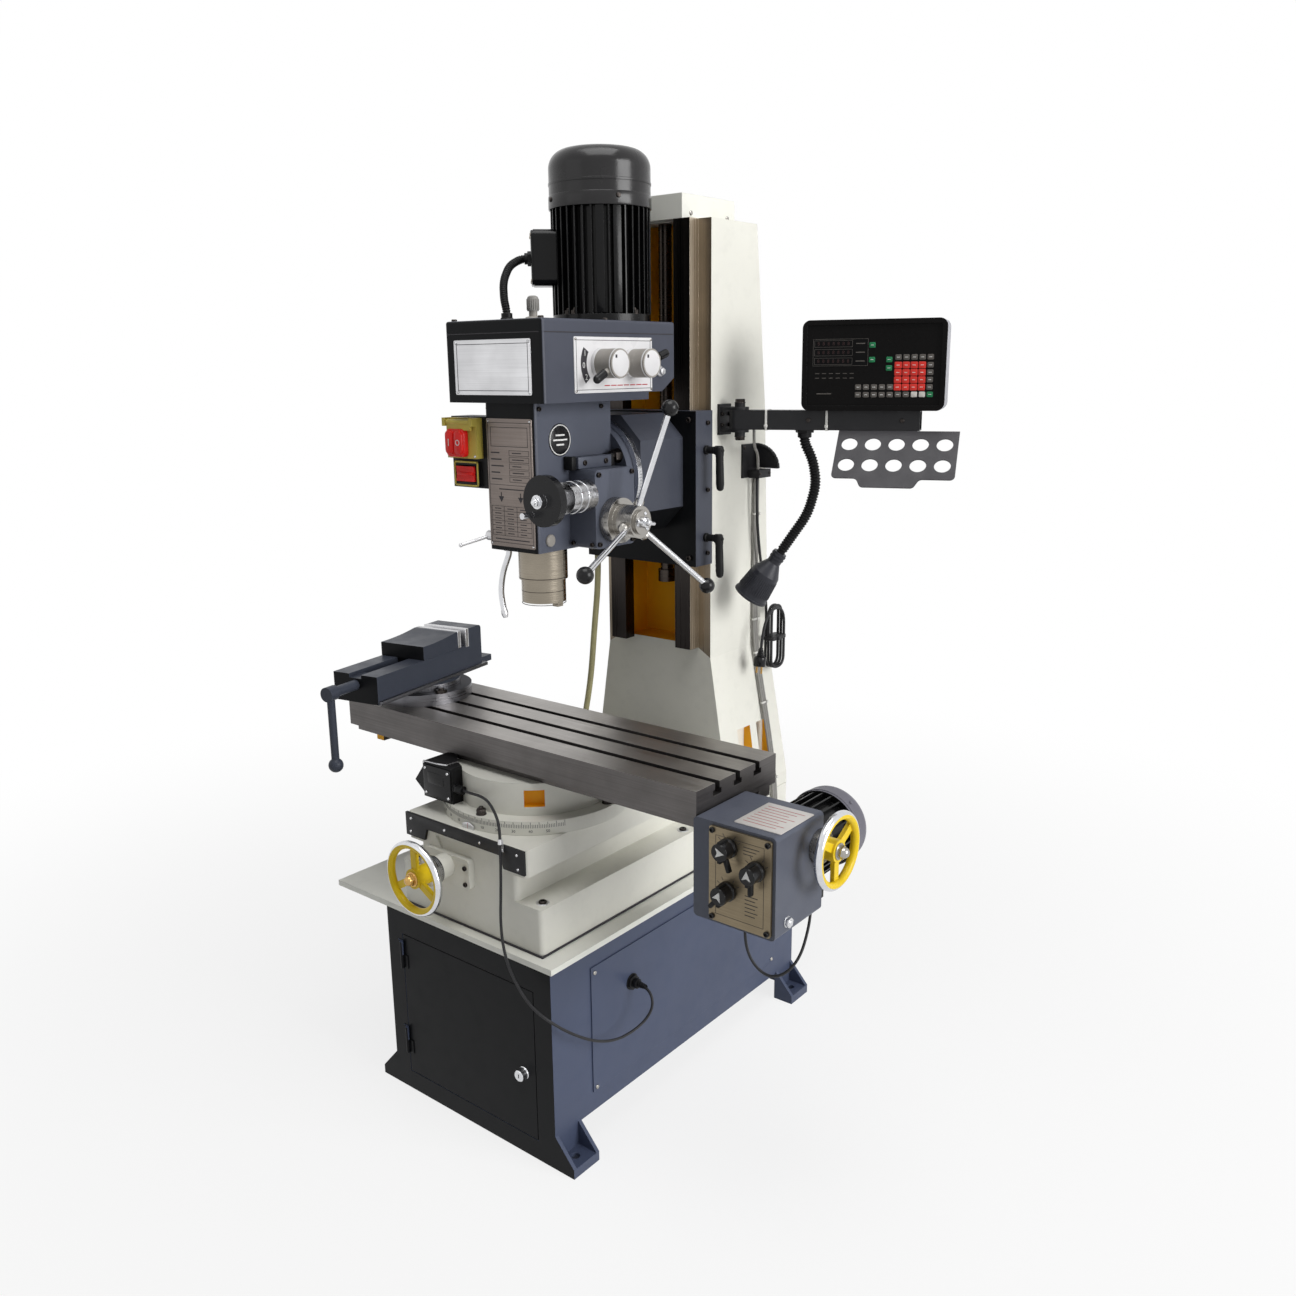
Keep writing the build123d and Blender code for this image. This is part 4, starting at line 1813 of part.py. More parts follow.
gland_mouth = (gland_face, gland_y, gland_z)
switch_lower_points = [
    clip_point,
    (116, -428, 619),
    (121, -435, 566),
    (123, -443, 486),
    (140, -450, 430),
    (174, -457, 390),
    (220, -465, 362),
    (254, -446, 332),
    (268, -400, 290),
    (275, -346, 252),
    (280, -292, 231),
    (286, -246, 232),
    (294, -215, 247),
    (297, -199, 272),
    (gland_face + 26, gland_y, gland_z),
    gland_mouth,
]
with BuildPart() as switch_cable_lower:
    cord("switch_cable_lower", switch_lower_points, switch_cord_radius)
switch_cable_lower.part.label = "switch_cable_lower"
export_step(switch_cable_lower.part, "parts/switch_cable_lower.step")

# Feed cable: loop under the feed gearbox, back up to the feed motor
feed_cable_points = [
    (573, -290, feed_bottom),
    (573, -290, feed_bottom - 35),
    (579, -288, 516),
    (596, -283, 489),
    (620, -275, 477),
    (642, -260, 487),
    (653, -237, 510),
    (649, -208, 538),
    (feed_box_x, -180, feed_box_bottom - 32),
    (feed_box_x, -180, feed_box_bottom),
]
with BuildPart() as feed_cable:
    cord("feed_cable", feed_cable_points, feed_cord_radius)
feed_cable.part.label = "feed_cable"
export_step(feed_cable.part, "parts/feed_cable.step")

# Coolant hose: from under the carriage's left edge down to the chip tray
hose_points = [
    (-140, 158, carriage_bottom),
    (-140, 158, 1030),
    (-150, 152, 920),
    (-160, 148, 800),
    (-178, 140, 690),
    (-206, 138, 590),
    (-224, 152, 510),
    (-224, 152, tray_top),
]
with BuildPart() as hose:
    cord("hose", hose_points, hose_radius)
hose.part.label = "hose"
export_step(hose.part, "parts/hose.step")

# Readout leads: short free stretch from the arm to the cord bracket
lead_points = [
    (216, 262, arm_bottom),
    (216, 262, 1356),
    (206, 281, 1338),
    (182, 327, 1326),
    (172, 346, hook_bottom + cord_clamp_height + 24),
    (172, 346, hook_bottom + cord_clamp_height),
]
with BuildPart() as readout_lead:
    cord("readout_lead", lead_points, readout_cord_radius)
readout_lead.part.label = "readout_lead"
export_step(readout_lead.part, "parts/readout_lead.step")

# Scale leads: three thin cables from the cord bracket down the column's side to the chip tray
lead_side = column_half_width + scale_cord_radius * 2
with BuildPart() as scale_leads:
    for lead in range(3):
        lead_y = 364 + lead * (scale_cord_radius * 2 + 0.8)
        lead_route = [
            (lead_side, lead_y, hook_bottom),
            (lead_side, lead_y, 930),
            (lead_side + 4, lead_y + 3, 860),
            (lead_side + 16, lead_y + 7, 780),
            (lead_side + 30, lead_y + 10, 700),
            (lead_side + 43, lead_y + 12, 620),
            (lead_side + 51, lead_y + 14, 550),
            (lead_side + 55, lead_y + 14, tray_top + 59),
            (lead_side + 55, lead_y + 14, tray_top),
        ]
        cord("scale_leads", lead_route, scale_cord_radius)
scale_leads.part.label = "scale_leads"
export_step(scale_leads.part, "parts/scale_leads.step")

# Power cord: down from the cord bracket, wound in a tied hank, then out to its plug
hank_x = column_half_width + 20
hank_y = 418.0
plug_point = Vector(hank_x + hank_pitch * (hank_loops + 0.5), 334, 884)
power_points = [
    (hank_x, 352, hook_bottom),
    (hank_x, 352, hook_bottom - 70),
    (hank_x, 362, hook_bottom - 150),
    (hank_x, 380, hook_bottom - 225),
    (hank_x, hank_y - hank_upper_half, hank_top),
]
power_radii = bend_radii(power_points)
power_radii.append(60.0)
for loop in range(hank_loops):
    loop_x = hank_x + hank_pitch * loop
    lower_bend = hank_lower_half * hank_bend_share
    upper_bend = hank_upper_half * hank_bend_share
    power_points.append((loop_x + hank_pitch * 0.25, hank_y - hank_lower_half, hank_bottom))
    power_radii.append(lower_bend)
    power_points.append((loop_x + hank_pitch * 0.5, hank_y + hank_lower_half, hank_bottom))
    power_radii.append(lower_bend)
    power_points.append((loop_x + hank_pitch * 0.75, hank_y + hank_upper_half, hank_top))
    power_radii.append(upper_bend)
    if loop < hank_loops - 1:
        power_points.append((loop_x + hank_pitch, hank_y - hank_upper_half, hank_top))
        power_radii.append(upper_bend)
power_points.append((plug_point.X, plug_point.Y + 12, hank_top - 4))
power_radii.append(26.0)
power_points.append(tuple(plug_point))
with BuildPart() as power_cord:
    with BuildLine() as power_line:
        FilletPolyline(*power_points, radius=power_radii)
    power_path = power_line.wires()[0]
    with BuildSketch(Plane(origin=power_path @ 0, z_dir=power_path % 0)) as power_section:
        Circle(power_cord_radius)
    power_tube = sweep(power_section.sketch, path=power_path)
    power_plain = pi * power_cord_radius ** 2 * power_path.length
    power_share = round(power_tube.volume / power_plain, 4)
    print("power_cord length", round(power_path.length, 1), "volume share", power_share)
    samples = [power_path @ (index / 900) for index in range(901)]
    skip = int(900 * 8 * power_cord_radius / power_path.length)
    least = power_path.length
    for first in range(901):
        for second in range(first + skip, 901):
            least = min(least, (samples[first] - samples[second]).length)
    print("power_cord least gap to itself", round(least - 2 * power_cord_radius, 2))
    plug_run = plug_point - Vector(*power_points[-2])
    plug_end = plug_point + plug_run.normalized() * plug_length
    rod(tuple(plug_point), tuple(plug_end), plug_radius)
power_cord.part.label = "power_cord"
export_step(power_cord.part, "parts/power_cord.step")
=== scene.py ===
from itertools import product
from math import atan2, cos, hypot, pi, radians, sin

import bmesh
import bpy
from mathutils import Matrix, Vector


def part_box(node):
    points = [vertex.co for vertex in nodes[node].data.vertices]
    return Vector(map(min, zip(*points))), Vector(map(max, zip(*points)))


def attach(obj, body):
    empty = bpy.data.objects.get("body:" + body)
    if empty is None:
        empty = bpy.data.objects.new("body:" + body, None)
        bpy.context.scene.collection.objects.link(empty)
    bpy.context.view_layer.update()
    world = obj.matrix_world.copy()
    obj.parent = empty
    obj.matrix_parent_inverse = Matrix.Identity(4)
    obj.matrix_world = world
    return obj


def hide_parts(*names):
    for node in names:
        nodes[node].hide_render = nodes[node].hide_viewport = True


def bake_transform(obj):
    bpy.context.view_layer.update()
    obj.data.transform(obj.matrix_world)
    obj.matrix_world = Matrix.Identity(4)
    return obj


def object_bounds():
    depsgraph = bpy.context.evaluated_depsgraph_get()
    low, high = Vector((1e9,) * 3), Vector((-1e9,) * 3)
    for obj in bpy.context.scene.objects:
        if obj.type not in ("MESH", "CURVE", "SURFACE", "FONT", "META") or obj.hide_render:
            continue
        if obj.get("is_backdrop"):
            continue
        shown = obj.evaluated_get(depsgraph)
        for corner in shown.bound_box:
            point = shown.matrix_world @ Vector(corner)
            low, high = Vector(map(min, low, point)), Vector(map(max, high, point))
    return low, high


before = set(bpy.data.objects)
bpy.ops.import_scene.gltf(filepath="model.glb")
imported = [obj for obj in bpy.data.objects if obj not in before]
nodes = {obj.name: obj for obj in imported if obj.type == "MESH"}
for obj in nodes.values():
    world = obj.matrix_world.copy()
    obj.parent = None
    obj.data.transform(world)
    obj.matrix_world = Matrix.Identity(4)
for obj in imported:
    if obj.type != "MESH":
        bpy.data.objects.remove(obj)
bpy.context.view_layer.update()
scene = bpy.context.scene

# Sizes are written in millimetres, in the part's own frame, and become metres here.
MM = 0.001

# Axes, faces, places and turns that several pieces share
swivel_z = 1294
spindle_y = -168
motor_y = 27
head_side = 66
gearbox_side = 126.5
speed_knob_z = 1517
speed_knob_ys = {1: -128, 2: -34}
capstan_y = -104
capstan_z = 1221
fine_x = 112
fine_z = 1272
switch_x = -118
front_wheel_x = -45
front_wheel_z = 560
side_wheel_y = -207
side_wheel_z = 713.3
turntable_y = -207
feed_plate_x = 598
feed_plate_z = 678.5
feed_knobs = {1: (577, 734), 2: (632, 707), 3: (575, 655)}
feed_glands = [(573, -290, 587), (640, -180, 598)]
clip_spot = (112, -424, 649)
cover_side = 237.5
plug_start = (194.7, 334, 884)
vise_turn = radians(10.7)
arm_turn = radians(20.0)
arm_pivot_x = 190
arm_pivot_y = 247
arm_z = 1399.5
panel_front = 29

# Edges that turn by more than this are drawn sharp
sharp_angle = radians(35)


def tone(red, green, blue):
    """Linear colour from the usual 0 to 255 values."""
    made = []
    for value in (red, green, blue):
        share = value / 255
        made.append(share / 12.92 if share <= 0.04045 else ((share + 0.055) / 1.055) ** 2.4)
    return (*made, 1.0)


def scaled(colour, factor):
    """The same colour, lighter or darker."""
    return (*[min(value * factor, 1) for value in colour[:3]], 1)


# Materials
class Nodes:
    """Adds nodes to the tree of one material or world, and links them."""

    def __init__(self, owner):
        owner.use_nodes = True
        self.owner = owner
        self.tree = owner.node_tree

    def fill(self, node, inputs):
        """Sets the inputs of a node, or links those whose value is an output of another."""
        for name, value in inputs.items():
            if isinstance(value, bpy.types.NodeSocket):
                self.tree.links.new(value, node.inputs[name])
            else:
                node.inputs[name].default_value = value

    def add(self, kind, output, inputs, **settings):
        """New node with its settings and inputs; hands back one of its outputs."""
        made = self.tree.nodes.new("ShaderNode" + kind)
        for name, value in settings.items():
            setattr(made, name, value)
        self.fill(made, inputs)
        return made.outputs[output]

    def noise(self, scale, detail, stretch=None):
        """Noise in the object's own space, stretched along its axes where asked."""
        spot = self.add("TexCoord", "Object", {})
        if stretch is not None:
            spot = self.add("Mapping", "Vector", {"Vector": spot, "Scale": stretch})
        return self.add("TexNoise", "Fac", {"Vector": spot, "Scale": scale, "Detail": detail})

    def spread(self, value, low, high, from_low=0.3, from_high=0.7, **settings):
        """A value brought from one range into another."""
        limits = {"From Min": from_low, "From Max": from_high, "To Min": low, "To Max": high}
        return self.add("MapRange", "Result", {"Value": value, **limits}, **settings)

    def calculate(self, operation, first, second):
        return self.add("Math", "Value", {0: first, 1: second}, operation=operation)

    def mix(self, factor, first, second):
        return self.add("Mix", "Result", {"Factor": factor, "A": first, "B": second}, data_type="RGBA")

    def patches(self, colour, patch, scale):
        """The colour in large patches that are a little darker and lighter."""
        share = self.spread(self.noise(scale, 4.0), 0.0, 1.0)
        return self.mix(share, scaled(colour, 1 - patch), scaled(colour, 1 + patch))

    def soft_edge(self, radius):
        return self.add("Bevel", "Normal", {"Radius": radius}, samples=4)

    def edge(self, soft):
        """How far a rounded edge turns away from the flat face: near 0 on the flat, more along edges."""
        flat = self.add("NewGeometry", "True Normal", {})
        turn = self.add("VectorMath", "Value", {0: soft, 1: flat}, operation="DOT_PRODUCT")
        return self.spread(turn, 1.0, 0.0, 0.80, 0.985)

    def bump(self, height, strength, distance, normal):
        inputs = {"Height": height, "Strength": strength, "Distance": distance, "Normal": normal}
        return self.add("Bump", "Normal", inputs)

    def finish(self, colour, rough, normal, constants):
        inputs = {"Base Color": colour, "Roughness": rough, "Normal": normal}
        self.fill(self.tree.nodes["Principled BSDF"], {**inputs, **constants})
        return self.owner

    def show(self, factor, first, second, output):
        """Mixes two shaders into the output node of the tree."""
        shown = self.add("MixShader", "Shader", {"Fac": factor, 1: first, 2: second})
        self.fill(self.tree.nodes[output], {"Surface": shown})

    def seen_rays(self):
        """1 for camera, glossy and transmission rays, else 0."""
        path = self.tree.nodes.new("ShaderNodeLightPath").outputs
        total = path["Is Camera Ray"]
        for name in ("Is Glossy Ray", "Is Transmission Ray"):
            total = self.calculate("MAXIMUM", total, path[name])
        return total


def paint(name, colour, rough=0.38, peel=0.10, grain=420.0, patch=0.07, wear=None, gloss=0.24):
    """Sprayed paint: tone patches, orange peel, soft edges that are rubbed a little lighter."""
    made = Nodes(bpy.data.materials.new(name))
    colour = tone(*colour)
    worn = tone(*wear) if wear else scaled(colour, 1.7)
    soft = made.soft_edge(0.0012)
    grime = made.spread(made.noise(38.0, 6.0), 0.0, 0.22, 0.52, 0.75)
    body = made.mix(grime, made.patches(colour, patch, 4.2), scaled(colour, 0.80))
    rubbed = made.spread(made.noise(120.0, 5.0), 0.0, 0.55, 0.45, 0.62)
    body = made.mix(made.calculate("MULTIPLY", made.edge(soft), rubbed), body, worn)
    shine = made.spread(made.noise(26.0, 5.0), rough - 0.06, rough + 0.09)
    normal = made.bump(made.noise(grain, 2.0), peel, 0.0006, soft)
    return made.finish(body, shine, normal, {"Specular IOR Level": gloss})


def metal(name, colour, rough=0.28, lay=(2.0, 2.0, 700.0), patch=0.10, cut=0.16, streak=0.35):
    """Machined metal: fine cutting lines across one direction, uneven polish."""
    made = Nodes(bpy.data.materials.new(name))
    colour = tone(*colour)
    cuts = made.noise(1.0, 3.0, lay)
    body = made.mix(made.spread(cuts, 0.0, streak), made.patches(colour, patch, 14.0), scaled(colour, 0.72))
    shine = made.spread(cuts, rough - 0.08, rough + 0.12)
    normal = made.bump(cuts, cut, 0.0002, made.soft_edge(0.0008))
    return made.finish(body, shine, normal, {"Metallic": 1.0})


def moulded(name, colour, rough=0.42, depth=0.18, gloss=0.26):
    """Moulded plastic or rubber: fine spark texture and faint scuffs."""
    made = Nodes(bpy.data.materials.new(name))
    colour = tone(*colour)
    scuff = made.spread(made.noise(70.0, 6.0), 0.0, 0.25, 0.56, 0.72)
    body = made.mix(scuff, made.patches(colour, 0.10, 9.0), scaled(colour, 1.5))
    shine = made.spread(made.noise(45.0, 4.0), rough - 0.05, rough + 0.10)
    normal = made.bump(made.noise(1400.0, 2.0), depth, 0.0003, made.soft_edge(0.0010))
    return made.finish(body, shine, normal, {"Specular IOR Level": gloss})


# How fine the cutting lines are along x, y and z
upright_cuts = (500, 500, 3)
level_brush = (6, 6, 800)

slate = paint("slate_paint", (67, 70, 81))
cabinet_paint = paint("cabinet_paint", (69, 77, 99))
slate_cast = paint("slate_casting", (65, 68, 78), peel=0.22, grain=260)
# Lighter copy of the slate casting paint, used on the head, the feed gearbox and the adjusting bar: the extra
# lightness is painted light
painted_light_casting = paint("casting_painted_lighter", (80, 84, 96), peel=0.22, grain=260)
# Darker copy of the paint for faces that look to the operator and for the carriage's undersides: painted
# shade
painted_front_shade = paint("front_shade_paint", (20, 21, 23), rough=0.34, gloss=0.09)
cream = paint("cream_casting", (222, 221, 212), rough=0.42, peel=0.20, grain=240, patch=0.035,
              wear=(180, 178, 168))
cream_sheet = paint("cream_sheet", (226, 226, 218), rough=0.36, patch=0.03, wear=(150, 150, 148))
amber = paint("amber_paint", (238, 172, 20), rough=0.40, peel=0.22, grain=240)
wheel_yellow = paint("wheel_yellow", (228, 196, 28), rough=0.30, wear=(240, 210, 90))
frame_yellow = moulded("frame_yellow", (196, 178, 84), rough=0.36)
motor_black = paint("motor_black", (10, 10, 11), rough=0.20, peel=0.25, grain=300, gloss=0.20)
cowl_grey = paint("cowl_grey", (32, 31, 32), rough=0.20, peel=0.14, gloss=0.32)
feed_cowl_grey = paint("feed_cowl_grey", (98, 97, 106), rough=0.34)
powder_black = paint("powder_black", (30, 30, 32), rough=0.46, peel=0.35, grain=900)
powder_grey = paint("powder_grey", (62, 61, 64), rough=0.46, peel=0.32, grain=900)
vise_paint = paint("vise_paint", (56, 60, 70), rough=0.36, peel=0.24, grain=260, gloss=0.16)
# Dark steel: the real colour of screws and nuts, and painted shade on the fronts and inner faces of the
# column's ways
dark_steel_and_painted_shade = metal("dark_steel_and_painted_shade", (58, 54, 52), rough=0.30, lay=upright_cuts)
way_ground = metal("way_ground", (204, 192, 174), rough=0.30, lay=upright_cuts)
chrome = metal("chrome", (216, 217, 220), rough=0.16, lay=(60, 60, 60), patch=0.05, cut=0.05)
turned_z = metal("turned_steel_z", (142, 134, 121), rough=0.22, lay=(2, 2, 1500), patch=0.12, cut=0.03,
                 streak=0.08)
turned_x = metal("turned_steel_x", (170, 167, 162), rough=0.22, lay=(300, 2, 2), patch=0.06, cut=0.05)
turned_y = metal("turned_steel_y", (182, 182, 184), rough=0.22, lay=(2, 300, 2), patch=0.06, cut=0.05)
ground_top = metal("ground_table", (160, 156, 152), rough=0.36, lay=(5, 700, 5), patch=0.14)
ground_side = metal("ground_side", (96, 93, 92), rough=0.38, lay=(4, 4, 600), patch=0.14)
screw_dark = metal("screw_dark", (66, 60, 56), rough=0.30, lay=(3, 3, 420))
vise_iron = metal("vise_iron", (108, 108, 112), rough=0.30, lay=(3, 3, 500))
# Machined metal of the column's front lands beside the ways, darker than the ground ways: painted shade
column_land_painted_shade = metal("column_land_painted_shade", (138, 127, 112), rough=0.34, lay=upright_cuts)
jaw_steel = metal("jaw_steel", (206, 206, 208), rough=0.30, lay=(600, 600, 8))
brushed = metal("brushed_plate", (208, 208, 210), rough=0.36, lay=level_brush)
plate_tan = metal("plate_tan", (132, 120, 99), rough=0.40, lay=level_brush)
plate_grey = metal("plate_grey", (122, 113, 108), rough=0.40, lay=level_brush)
label_pale = paint("label_pale", (196, 192, 188), rough=0.34, peel=0.05, patch=0.04)
plate_white = paint("plate_white", (214, 213, 214), rough=0.30, peel=0.05, patch=0.02)
plate_line = moulded("plate_line", (52, 50, 54), rough=0.5)
plate_red = moulded("plate_red", (176, 70, 74), rough=0.5)
mark_white = moulded("mark_white", (226, 226, 224), rough=0.5)
black_plastic = moulded("black_plastic", (23, 23, 24), rough=0.40, gloss=0.15)
lamp_black = moulded("lamp_black", (44, 45, 51), rough=0.38)
gloss_black = moulded("gloss_black", (17, 17, 19), rough=0.20, depth=0.05)
red_plastic = moulded("red_plastic", (222, 30, 26), rough=0.30, depth=0.08)
case_grey = moulded("case_grey", (150, 150, 156), rough=0.44)
panel_black = moulded("panel_black", (15, 14, 14), rough=0.26, depth=0.06, gloss=0.06)
screen_black = moulded("screen_black", (8, 8, 9), rough=0.12, depth=0.02, gloss=0.07)
key_red = moulded("key_red", (205, 52, 44), rough=0.46)
key_green = moulded("key_green", (28, 112, 70), rough=0.46)
key_grey = moulded("key_grey", (84, 80, 76), rough=0.46)
digit_dim = moulded("digit_dim", (46, 22, 22), rough=0.30, depth=0.02)
key_white = moulded("key_white", (196, 192, 186), rough=0.46)
knob_grey = moulded("knob_grey", (150, 146, 140), rough=0.36)
bulb_white = moulded("bulb_white", (232, 230, 220), rough=0.18, depth=0.02)
brass = metal("brass", (196, 158, 96), rough=0.24, lay=(2, 700, 2))
cord_black = moulded("cord_black", (38, 38, 40), rough=0.48)
cord_grey = moulded("cord_grey", (142, 140, 136), rough=0.46)
hose_green = moulded("hose_green", (176, 170, 128), rough=0.42)
tie_white = moulded("tie_white", (214, 213, 208), rough=0.40)

# Directions, and local frames in which forms are drawn in millimetres, with z out of the surface
to_front = (0, -1, 0)
to_back = (0, 1, 0)
to_right = (1, 0, 0)
to_left = (-1, 0, 0)
to_top = (0, 0, 1)
to_floor = (0, 0, -1)


def place(origin, out, across=None):
    """Frame at a point: local z is out, local x is across."""
    z = Vector(out).normalized()
    x = Vector(across) if across is not None else z.orthogonal()
    x = (x - z * x.dot(z)).normalized()
    made = Matrix((x, z.cross(x), z)).transposed().to_4x4()
    made.translation = Vector(origin) * MM
    return made @ Matrix.Scale(MM, 4)


def on_front(x, y, z):
    """Frame that looks to the operator, its x to the right."""
    return place((x, y, z), to_front, to_right)


def on_right(x, y, z):
    """Frame that looks to the right, its x to the back."""
    return place((x, y, z), to_right, to_back)


def on_top(x, y, z):
    """Frame that looks up, its x to the right."""
    return place((x, y, z), to_top, to_right)


def shifted(matrix, x, y, z=0.0):
    """The same local frame, moved within itself."""
    return matrix @ Matrix.Translation((x, y, z))


def turned_by(matrix, angle):
    """The same local frame, turned about its own z by degrees."""
    return matrix @ Matrix.Rotation(radians(angle), 4, "Z")


def polar(radius, angle):
    """Point round the origin, by degrees."""
    return radius * cos(radians(angle)), radius * sin(radians(angle))


def corners_of(width, height):
    """Four points of a rectangle about the origin."""
    return list(product((-width / 2, width / 2), (-height / 2, height / 2)))


def rounded(width, height, radius, steps=5):
    """Outline of a rectangle with round corners, centred on the origin."""
    points = []
    for corner in range(4):
        middle_x = (width / 2 - radius) * (1 if corner in (0, 3) else -1)
        middle_y = (height / 2 - radius) * (1 if corner in (0, 1) else -1)
        for step in range(steps + 1):
            x, y = polar(radius, 90 * corner + 90 * step / steps)
            points.append((middle_x + x, middle_y + y))
    return points


# Forms: each adds a small mesh to a shape
def merge(shape, part, matrix):
    """Adds a finished small mesh to a shape, at its place."""
    bmesh.ops.transform(part, matrix=matrix, verts=part.verts)
    mesh = bpy.data.meshes.new("part")
    part.to_mesh(mesh)
    part.free()
    shape.from_mesh(mesh)
    bpy.data.meshes.remove(mesh)


def bevel(part, edges, soft):
    """Rounds edges off where soft is more than 0."""
    if soft > 0:
        bmesh.ops.bevel(part, geom=edges, offset=soft, segments=2, affect="EDGES", profile=0.5)


def skin(part, rings, steps):
    """Faces from ring to ring of points; a ring of one point is a tip."""
    for lower, upper in zip(rings, rings[1:]):
        for step in range(steps):
            after = (step + 1) % steps
            corners = [lower[step % len(lower)], lower[after % len(lower)]]
            corners += [upper[after % len(upper)], upper[step % len(upper)]]
            unique = list(dict.fromkeys(corners))
            if len(unique) > 2:
                part.faces.new(unique)
    bmesh.ops.recalc_face_normals(part, faces=part.faces)


def add_prism(shape, matrix, outline, low, high, soft=0.0):
    """Outline pushed up between two heights, its upper edge rounded off."""
    part = bmesh.new()
    face = part.faces.new([part.verts.new((x, y, low)) for x, y in outline])
    raised = bmesh.ops.extrude_face_region(part, geom=[face])
    top = [item for item in raised["geom"] if isinstance(item, bmesh.types.BMVert)]
    bmesh.ops.translate(part, verts=top, vec=(0, 0, high - low))
    bmesh.ops.recalc_face_normals(part, faces=part.faces)
    chosen = set(top)
    bevel(part, [edge for edge in part.edges if chosen.issuperset(edge.verts)], soft)
    merge(shape, part, matrix)


def add_box(shape, matrix, size, soft=1.0, centre=(0, 0, 0)):
    """Block with all its edges rounded off."""
    part = bmesh.new()
    bmesh.ops.create_cube(part, size=1.0)
    bmesh.ops.scale(part, vec=size, verts=part.verts)
    bevel(part, part.edges[:], soft)
    bmesh.ops.translate(part, vec=centre, verts=part.verts)
    merge(shape, part, matrix)


def add_turned(shape, matrix, profile, steps=32):
    """Outline of (radius, height) turned about local z; ends on the axis are closed."""
    part = bmesh.new()
    rings = []
    for radius, height in profile:
        count = steps if radius > 0 else 1
        spots = [polar(radius, 360 * step / steps) for step in range(count)]
        rings.append([part.verts.new((x, y, height)) for x, y in spots])
    skin(part, rings, steps)
    merge(shape, part, matrix)


def add_tube(shape, points, radius, steps=14):
    """Round closed tube along points in metres."""
    part = bmesh.new()
    side = None
    rings = []
    for index, here in enumerate(points):
        ahead = points[min(index + 1, len(points) - 1)] - points[max(index - 1, 0)]
        ahead.normalize()
        side = ahead.orthogonal() if side is None else side - ahead * side.dot(ahead)
        side.normalize()
        other = ahead.cross(side)
        spots = [polar(radius * MM, 360 * step / steps) for step in range(steps)]
        rings.append([part.verts.new(here + side * x + other * y) for x, y in spots])
    part.faces.new(rings[0])
    part.faces.new(rings[-1])
    skin(part, rings, steps)
    merge(shape, part, Matrix.Identity(4))


def add_text(shape, matrix, words, size, thick):
    """Generic figures, such as those on a dial, as a thin raised mesh."""
    curve = bpy.data.curves.new("figures", "FONT")
    curve.body = words
    curve.size = size
    curve.extrude = thick
    curve.resolution_u = 2
    curve.align_x = "CENTER"
    curve.align_y = "CENTER"
    holder = bpy.data.objects.new("figures", curve)
    mesh = bpy.data.meshes.new_from_object(holder)
    part = bmesh.new()
    part.from_mesh(mesh)
    bpy.data.objects.remove(holder)
    bpy.data.curves.remove(curve)
    bpy.data.meshes.remove(mesh)
    merge(shape, part, matrix)


def add_socket(shape, matrix, radius, height=None):
    """Socket head screw: chamfered head with its recess."""
    tall = height or radius * 1.1
    profile = [
        (radius * 0.96, -0.5),
        (radius, tall - radius * 0.2),
        (radius * 0.82, tall),
        (radius * 0.56, tall),
        (radius * 0.52, tall - radius * 0.15),
        (radius * 0.50, tall * 0.3),
        (0, tall * 0.3),
    ]
    add_turned(shape, matrix, profile, 18)


def add_pan(shape, matrix, radius):
    """Slotted pan head screw."""
    profile = [(radius, -0.4), (radius, radius * 0.25), (radius * 0.8, radius * 0.55), (0, radius * 0.68)]
    add_turned(shape, matrix, profile, 18)
    add_box(shape, matrix, (radius * 1.1, radius * 0.22, 0.3), 0.0, (0, 0, radius * 0.60))


def add_hex(shape, matrix, across, height):
    """Hexagon head with a washer face and a rounded crown."""
    washer = across * 0.62
    add_turned(shape, matrix, [(0, -0.4), (washer, -0.4), (washer, 1.2), (0, 1.2)], 24)
    outline = [polar(across * 0.577, 60 * corner + 30) for corner in range(6)]
    add_prism(shape, matrix, outline, 1.0, height, height * 0.14)


def add_nut(shape, matrix, across, height):
    """Hexagon nut with washer, and the rounded end of its stud."""
    add_hex(shape, matrix, across, height)
    stud = across * 0.3
    profile = [(stud, height - 1), (stud, height + 3), (stud * 0.8, height + 4), (0, height + 4)]
    add_turned(shape, matrix, profile, 18)


def add_ring(shape, matrix, inner, outer, low, high, steps=40):
    """Flat ring with its four edges softened."""
    soft = min((outer - inner) * 0.2, (high - low) * 0.3)
    profile = [(inner + soft, low), (outer - soft, low), (outer, low + soft), (outer, high - soft)]
    profile += [(outer - soft, high), (inner + soft, high), (inner, high - soft), (inner, low + soft)]
    add_turned(shape, matrix, profile + profile[:1], steps)


def add_rod(shape, start, end, radius):
    """Round bar between two points in millimetres, its ends rounded off."""
    line = Vector(end) - Vector(start)
    far = line.length
    soft = radius * 0.35
    profile = [(0, 0), (radius - soft, 0), (radius, soft)]
    profile += [(radius, far - soft), (radius - soft, far), (0, far)]
    add_turned(shape, place(start, line), profile, 16)


def add_bar(shape, matrix, start, end, width, thick=0.3):
    """Thin flat line from one point of a plate to another."""
    line = Vector(end) - Vector(start)
    middle = (Vector(start) + Vector(end)) / 2
    turn = Matrix.Translation((*middle, 0)) @ Matrix.Rotation(atan2(line.y, line.x), 4, "Z")
    add_box(shape, matrix @ turn, (line.length + width, width, thick), 0.0, (0, 0, thick / 2 - 0.05))


def add_frame(shape, matrix, width, height, line, centre=(0, 0)):
    """Thin border line on a plate."""
    left = centre[0] - width / 2
    low = centre[1] - height / 2
    corners = [(left, low), (left + width, low), (left + width, low + height), (left, low + height)]
    for start, end in zip(corners, corners[1:] + corners[:1]):
        add_bar(shape, matrix, start, end, line)


def add_ticks(shape, matrix, radius, angles, low, length, width, every=5):
    """Graduation lines round local z, each standing a little proud of the turned face."""
    for index, angle in enumerate(angles):
        tall = length if index % every == 0 else length * 0.6
        add_box(shape, turned_by(matrix, angle), (0.3, width, tall), 0.0, (radius, 0, low + tall / 2))


